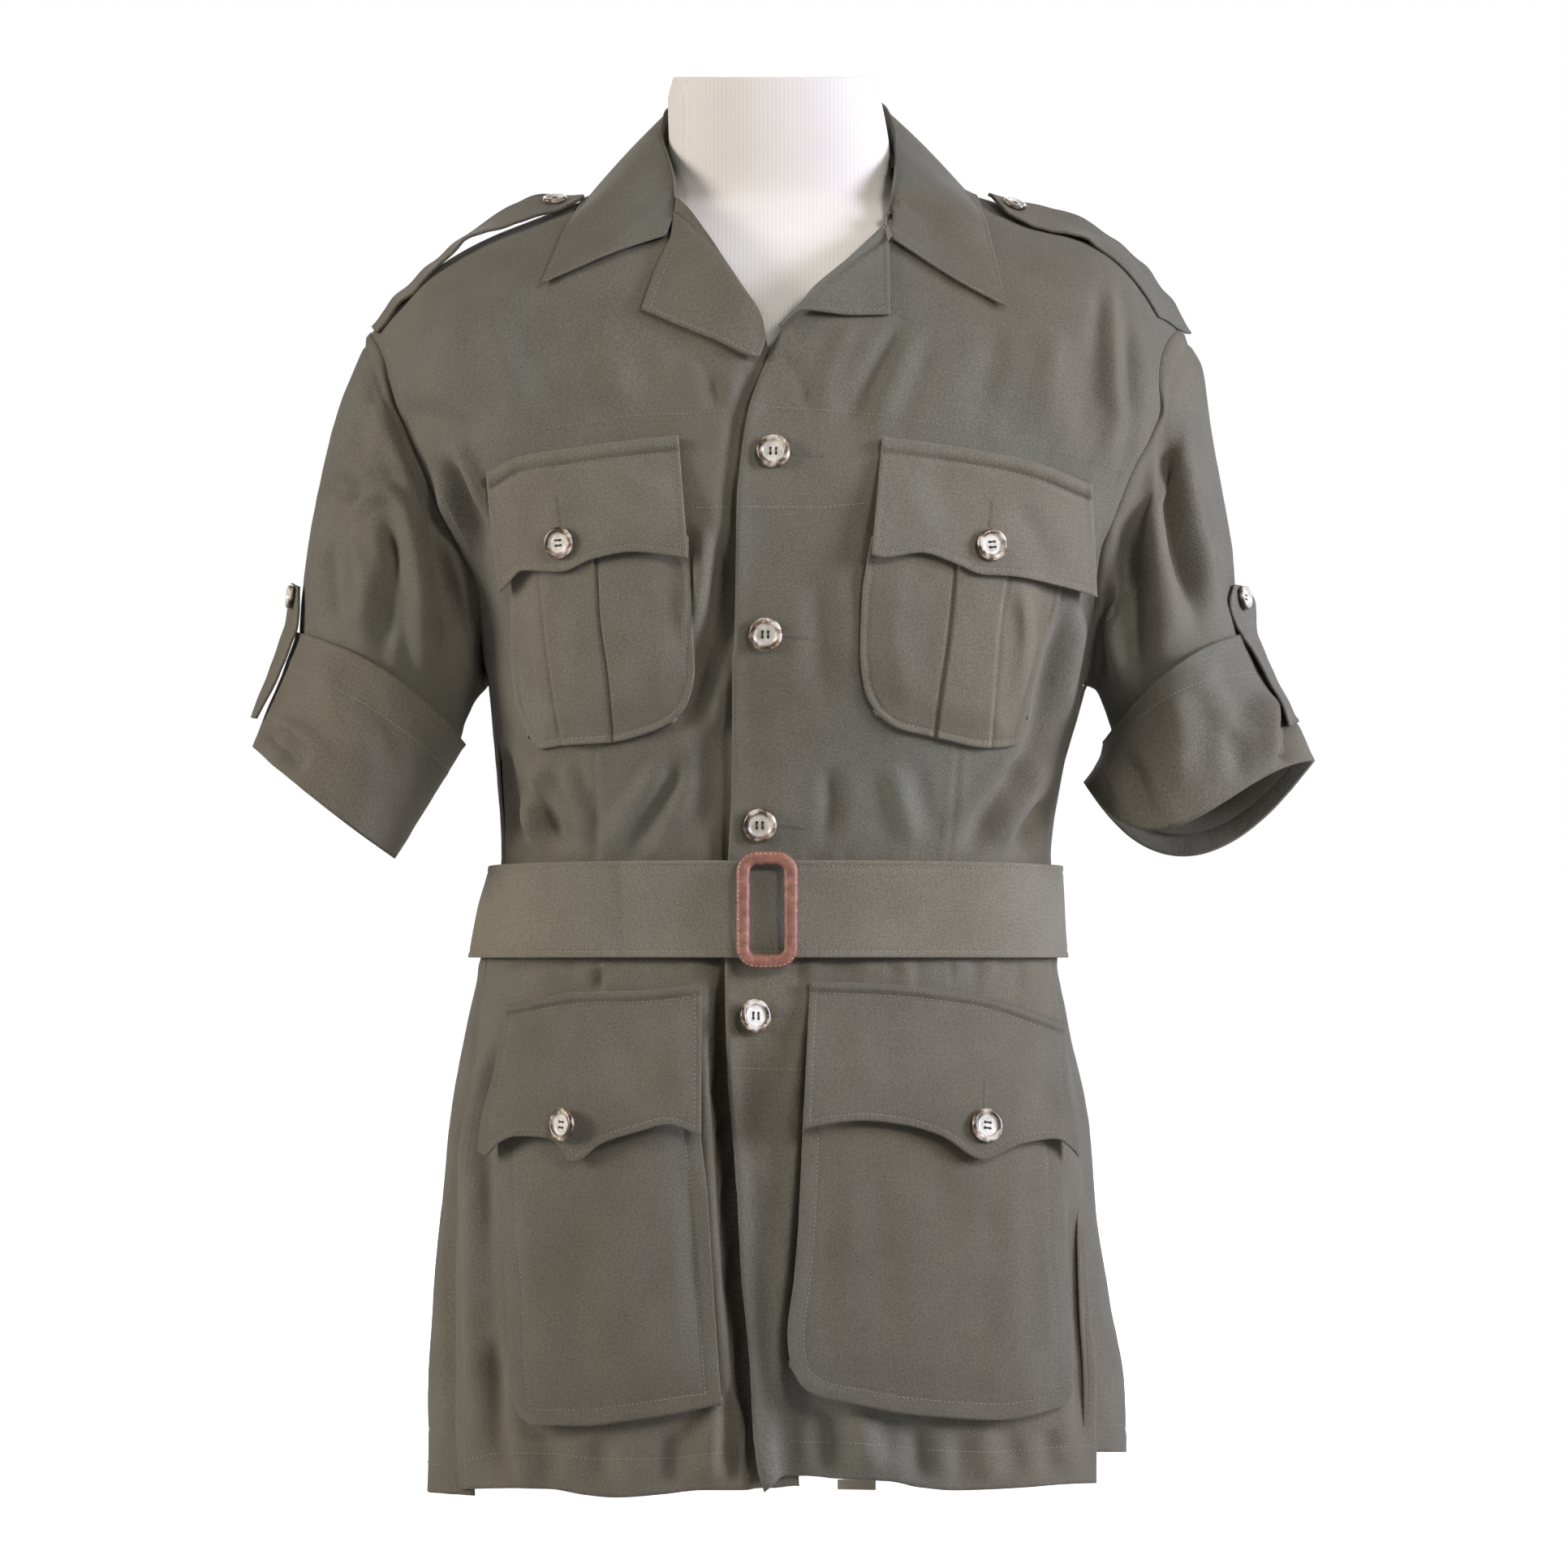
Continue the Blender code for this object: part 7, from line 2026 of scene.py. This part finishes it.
for i in range(R - 1):
    for j in range(N_FORM):
        k = (j + 1) % N_FORM
        faces.append((i * N_FORM + j, i * N_FORM + k, (i + 1) * N_FORM + k, (i + 1) * N_FORM + j))
        for jj, ii in ((j, i), (j + 1, i), (j + 1, i + 1), (j, i + 1)):
            p = body[ii, jj % N_FORM]
            wide_ = float(ease((abs(p[0]) - 0.044) / 0.016))
            uv.append((p[0] + math.copysign(0.8 * wide_ * (p[1] + 0.02), p[0]) if ii > 3 else 0.0, p[2]))
faces.append(tuple(range(N_FORM))[::-1])
uv += [(0.0, 0.0)] * N_FORM
faces.append(tuple((R - 1) * N_FORM + j for j in range(N_FORM)))
uv += [(0.0, 0.0)] * N_FORM
# the plate the form stands on is a piece of its own, so it can be pale and glow: painted light that cancels the
# jacket's shadow on it
n_foot = 2 * N_FORM
GLOWING_PLATE = plain_material("plate", (0.92, 0.92, 0.91), 0.8)
glow_ = GLOWING_PLATE.node_tree.nodes["Principled BSDF"]
# the emission is painted light that lifts the plate out of its shadow
glow_.inputs["Emission Color"].default_value = (1.0, 1.0, 1.0, 1.0)
glow_.inputs["Emission Strength"].default_value = 0.80
plate_v = [tuple(p) for p in verts[:3 * N_FORM]]
plate_f = [f for f in faces if max(f) < 3 * N_FORM]
solid("dress_form_plate", plate_v, plate_f + [tuple(range(2 * N_FORM, 3 * N_FORM))], GLOWING_PLATE, (), smooth_it=False)
keep = [k for k, f in enumerate(faces) if min(f) >= 2 * N_FORM]
loops = np.cumsum([0] + [len(f) for f in faces])
uv = [uv[i] for k in keep for i in range(loops[k], loops[k + 1])] + [(0.0, 0.0)] * N_FORM
faces = [tuple(i - 2 * N_FORM for i in faces[k]) for k in keep] + [tuple(range(N_FORM))[::-1]]
solid("dress_form_knit", verts[2 * N_FORM:], faces, knit_material(), ("dress_form",), uv=uv)
# the small beige block that shows below the hem
LUG = plain_material("lug", (0.56, 0.49, 0.39), 0.7)
lug = at(np.array([1025.0, 1079.0, 1079.0, 1025.0]), np.array([1823.0, 1823.0, 1836.0, 1835.0]), -0.012) + np.array([SHIFT[0], SHIFT[1], 0.0])
deep_ = lug + np.array([0.0, 0.020, 0.0])
solid("dress_form_block", list(lug) + list(deep_), [(0, 1, 2, 3), (4, 7, 6, 5), (0, 4, 5, 1), (1, 5, 6, 2), (2, 6, 7, 3), (3, 7, 4, 0)],
      LUG, (), smooth_it=False)

# ---- stitches
def edge_lines(name, sides, keys, d, tree, toward, **kw):
    for key in keys:
        sew_line(tree, inset(sides[key], d, toward), **kw)


for side in ("left", "right"):
    t = TREE["front_" + side]
    for path in (YOKE[side], HEM_LINE[side]):
        sew_line(t, inset(path, 3.0 if path is YOKE[side] else 0.01, (path[2][0], path[2][1] - 300)), smoothly=True)
    side_line = [(u - (0 if side == "left" else 10), v) for u, v in SIDE_HEM[side]]
    sew_line(t, [(u + (8 if side == "left" else 0), v) for u, v in side_line])
sew_line(TREE["front_left"], ((850, 626), (876, 625), (903, 624)))
sew_line(TREE["front_right"], ((921, 624), (1000, 625), (1066, 620)))
sew_line(TREE["front_right"], ((903, 1316), (950, 1317), (989, 1317)))
# armhole stitching on the body side
for side, sign in (("left", 1.0), ("right", -1.0)):
    path = [(u + sign * 11.0, v) for v, u in SIDE_EDGE[side] if 430 <= v <= 800][::-1]
    sew_line(TREE["front_" + side], path)
for side in ("left", "right"):
    centre = tuple(np.mean([p for key in ("inner", "outer") for p in LAPEL[side][key]], axis=0))
    tree = net(grid["lapel_" + side])
    for key in ("outer", "foot"):
        sew_line(tree, inset(LAPEL[side][key], 8.5, centre))
    for kind, table, pt in (("chest", CHEST_POCKET, 8.5), ("hip", HIP_POCKET, 20.0)):
        sides = table[side]
        centre = tuple(np.mean([p for key in ("left", "right") for p in sides[key]], axis=0))
        tree = TREE[kind + "_pocket_" + side]
        outline = list(sides["left"]) + list(sides["bottom"])[1:] + list(sides["right"])[::-1][1:]
        if kind == "chest":
            outline = (list(sides["bottom"]) + list(sides["right"])[::-1][1:] if side == "left"
                       else list(sides["left"]) + list(sides["bottom"])[1:])
        full = round_path(outline, 140)
        sew_line(tree, inset(full, pt, centre), smoothly=False)
        fl = (CHEST_FLAP if kind == "chest" else HIP_FLAP)[side]
        tree = TREE[kind + "_flap_" + side]
        centre = tuple(np.mean([p for key in ("left", "right") for p in fl[key]], axis=0))
        for key in ("left", "right", "bottom"):
            sew_line(tree, inset(fl[key], 8.5, centre), smoothly=False)
        sew_line(tree, inset(fl["top"], 20.0 if kind == "chest" else 14.0, centre))
# collar edges
g = grid["collar"][n_stand:]
n = outward(g, False, np.stack([g[..., 0], g[..., 1] - 0.02, 0.06 + 0 * g[..., 0]], -1))
from_edge = np.cumsum(np.linalg.norm(np.diff(g[::-1], axis=0), axis=-1), axis=0)
pts, nrm = [], []
for j in range(4, N_COLLAR - 4):
    x = np.interp(0.0038, np.concatenate([[0.0], from_edge[:, j]]), np.arange(g.shape[0]))
    i = int(x)
    f = x - i
    gg, nn = g[::-1, j], n[::-1, j]
    pts.append(gg[i] * (1 - f) + gg[i + 1] * f)
    nrm.append(nn[i])
sew_points(np.array(pts), np.array(nrm))
# belt, both edges
g = closed(grid["belt"])
n = unit(g * np.array([1.0, 1.0, 0.0]))
for t in (8.0 / 116.0, 1 - 8.0 / 116.0):
    i = int(np.argmin(np.abs(B_ROWS - t)))
    sew_points(g[i], n[i])
# cuffs, sleeve heads
for side in ("left", "right"):
    g = closed(grid["cuff_" + side])
    n = outward(grid["cuff_" + side], True)
    n = np.concatenate([n, n[:, :1]], axis=1)
    i = int(round(CUFF_LINE[side] * 44))
    sew_points(g[i], n[i])
    for key, w in (("epaulette_", 4), ("sleeve_tab_", 4)):
        e = grid[key + side]
        ref = np.array([(-1 if side == "left" else 1) * 0.6, -0.2, 0.6])
        m = outward(e, False, np.broadcast_to(ref, e.shape))
        for i in (3, e.shape[0] - 4):
            sew_points(e[i, 3:], m[i, 3:])
        sew_points(e[3:-3, 4], m[3:-3, 4])
# back hem
g = grid["back"]
u, v = seen(g)
n = outward(g)
i = int(np.argmin(np.abs(v.mean(axis=1) - 1762.0)))
sew_points(g[i, 2:-2], n[i, 2:-2])

# buttonholes: bars along both lips of a slit
HOLE = []
HOLES = (
    ("front_right", (976, 558), (1017, 561)), ("front_right", (962, 783), (998, 786)),
    ("front_right", (956, 1016), (993, 1019)), ("front_right", (946, 1251), (978, 1249)),
    ("chest_flap_left", (684, 610), (690, 650)), ("chest_flap_right", (1223, 618), (1220, 652)),
    ("hip_flap_left", (694, 1337), (700, 1366)), ("hip_flap_right", (1215, 1331), (1214, 1368)),
)
for on, a, b in HOLES:
    tree = TREE[on]
    a, b = np.array(a, float), np.array(b, float)
    length = np.linalg.norm(b - a)
    t = (b - a) / length
    s = np.array([-t[1], t[0]])
    rng = np.random.RandomState(int(a[0]))
    for k in range(int(length / 1.5)):
        for lip in (-1, 0, 1):
            c = a + t * (k * 1.5 + rng.uniform(-0.3, 0.3)) + s * lip * (1.4 + rng.uniform(-0.4, 0.4))
            p, n = spot(tree, c[0], c[1])
            q, _ = spot(tree, c[0] + s[0], c[1] + s[1])
            if p is None or q is None:
                continue
            spindle(np.array(p) + np.array(n) * 0.00012, np.array(q) - np.array(p), np.array(n), 0.0014, 0.00020, HOLE)
sew("stitches", STITCH, THREAD)
sew("buttonhole_stitches", HOLE, HOLE_THREAD)
sew("button_threads", BAR_STITCH, DARK_THREAD)
sew("buckle_stitches", BUCKLE_STITCH, PALE_THREAD)

# ---- floor, light, camera
me = bpy.data.meshes.new("floor")
me.from_pydata([(-14, -5, 0), (14, -5, 0), (14, 20, 0), (-14, 20, 0)], [], [(0, 1, 2, 3)])
floor = bpy.data.objects.new("floor", me)
bpy.context.scene.collection.objects.link(floor)
m, nt, b = start("floor")
b.inputs["Base Color"].default_value = (0.93, 0.93, 0.93, 1.0)
b.inputs["Roughness"].default_value = 0.9
b.inputs["Emission Color"].default_value = (1.0, 1.0, 1.0, 1.0)
ray = nt.nodes.new("ShaderNodeLightPath")
glow = nt.nodes.new("ShaderNodeMath")
glow.operation = "MULTIPLY"
glow.inputs[1].default_value = 1.05
nt.links.new(ray.outputs["Is Camera Ray"], glow.inputs[0])
nt.links.new(glow.outputs["Value"], b.inputs["Emission Strength"])
floor.data.materials.append(m)


def area_light(name, where, aim, wide, high, power, colour=(1.0, 1.0, 1.0), spread=None):
    data = bpy.data.lights.new(name, "AREA")
    data.shape = "RECTANGLE"
    data.size, data.size_y, data.energy, data.color = wide, high, power, colour
    if spread:                            # a gridded box: less light away from its axis
        half = math.radians(spread) / 2
        data.spread = 2 * half
        data.energy = power * (math.tan(half) - half) / math.tan(half)
    ob = bpy.data.objects.new(name, data)
    ob.location = where
    ob.rotation_mode = "QUATERNION"
    ob.rotation_quaternion = (Vector(aim) - Vector(where)).to_track_quat("-Z", "Y")
    bpy.context.scene.collection.objects.link(ob)
    return ob


area_light("side_right", (2.4, -0.75, 1.05), (0.0, 0.0, 0.46), 0.8, 1.3, 152.0, (0.80, 0.82, 1.0), 50)
area_light("side_left", (-2.4, -0.75, 1.05), (0.0, 0.0, 0.46), 0.8, 1.3, 92.0, (1.0, 0.92, 0.87), 50)
area_light("front_right_light", (1.5, -2.5, 1.9), (0.0, 0.0, 0.48), 0.7, 0.7, 70.0, (1.0, 0.965, 0.90), 30)
area_light("front_left_light", (-1.5, -2.5, 1.9), (0.0, 0.0, 0.42), 0.8, 0.8, 7.0)
area_light("rear", (0.0, 2.4, 1.6), (0.0, 0.0, 0.5), 2.0, 1.4, 32.0)

scene = bpy.context.scene
world = bpy.data.worlds.new("studio")
scene.world = world
world.use_nodes = True
wt = world.node_tree
back_node = wt.nodes["Background"]
back_node.inputs["Color"].default_value = (1.0, 1.0, 1.0, 1.0)
back_node.inputs["Strength"].default_value = 1.0
path_node = wt.nodes.new("ShaderNodeLightPath")
dim = wt.nodes.new("ShaderNodeBackground")
dim.inputs["Color"].default_value = (1.0, 1.0, 1.0, 1.0)
dim.inputs["Strength"].default_value = 0.06
pick = wt.nodes.new("ShaderNodeMixShader")
wt.links.new(path_node.outputs["Is Camera Ray"], pick.inputs["Fac"])
wt.links.new(dim.outputs["Background"], pick.inputs[1])
wt.links.new(back_node.outputs["Background"], pick.inputs[2])
wt.links.new(pick.outputs["Shader"], wt.nodes["World Output"].inputs["Surface"])
scene.view_settings.view_transform = "Standard"
scene.view_settings.look = "None"
scene.view_settings.exposure = 0.0

cam_data = bpy.data.cameras.new("camera")
cam_data.lens = 120.0
cam_data.sensor_width = 36.0
cam = bpy.data.objects.new("camera", cam_data)
cam.location = (SHIFT[0], -VIEW + SHIFT[1], EYE_Z)
cam.rotation_euler = (math.pi / 2, 0.0, 0.0)
scene.collection.objects.link(cam)
scene.camera = cam
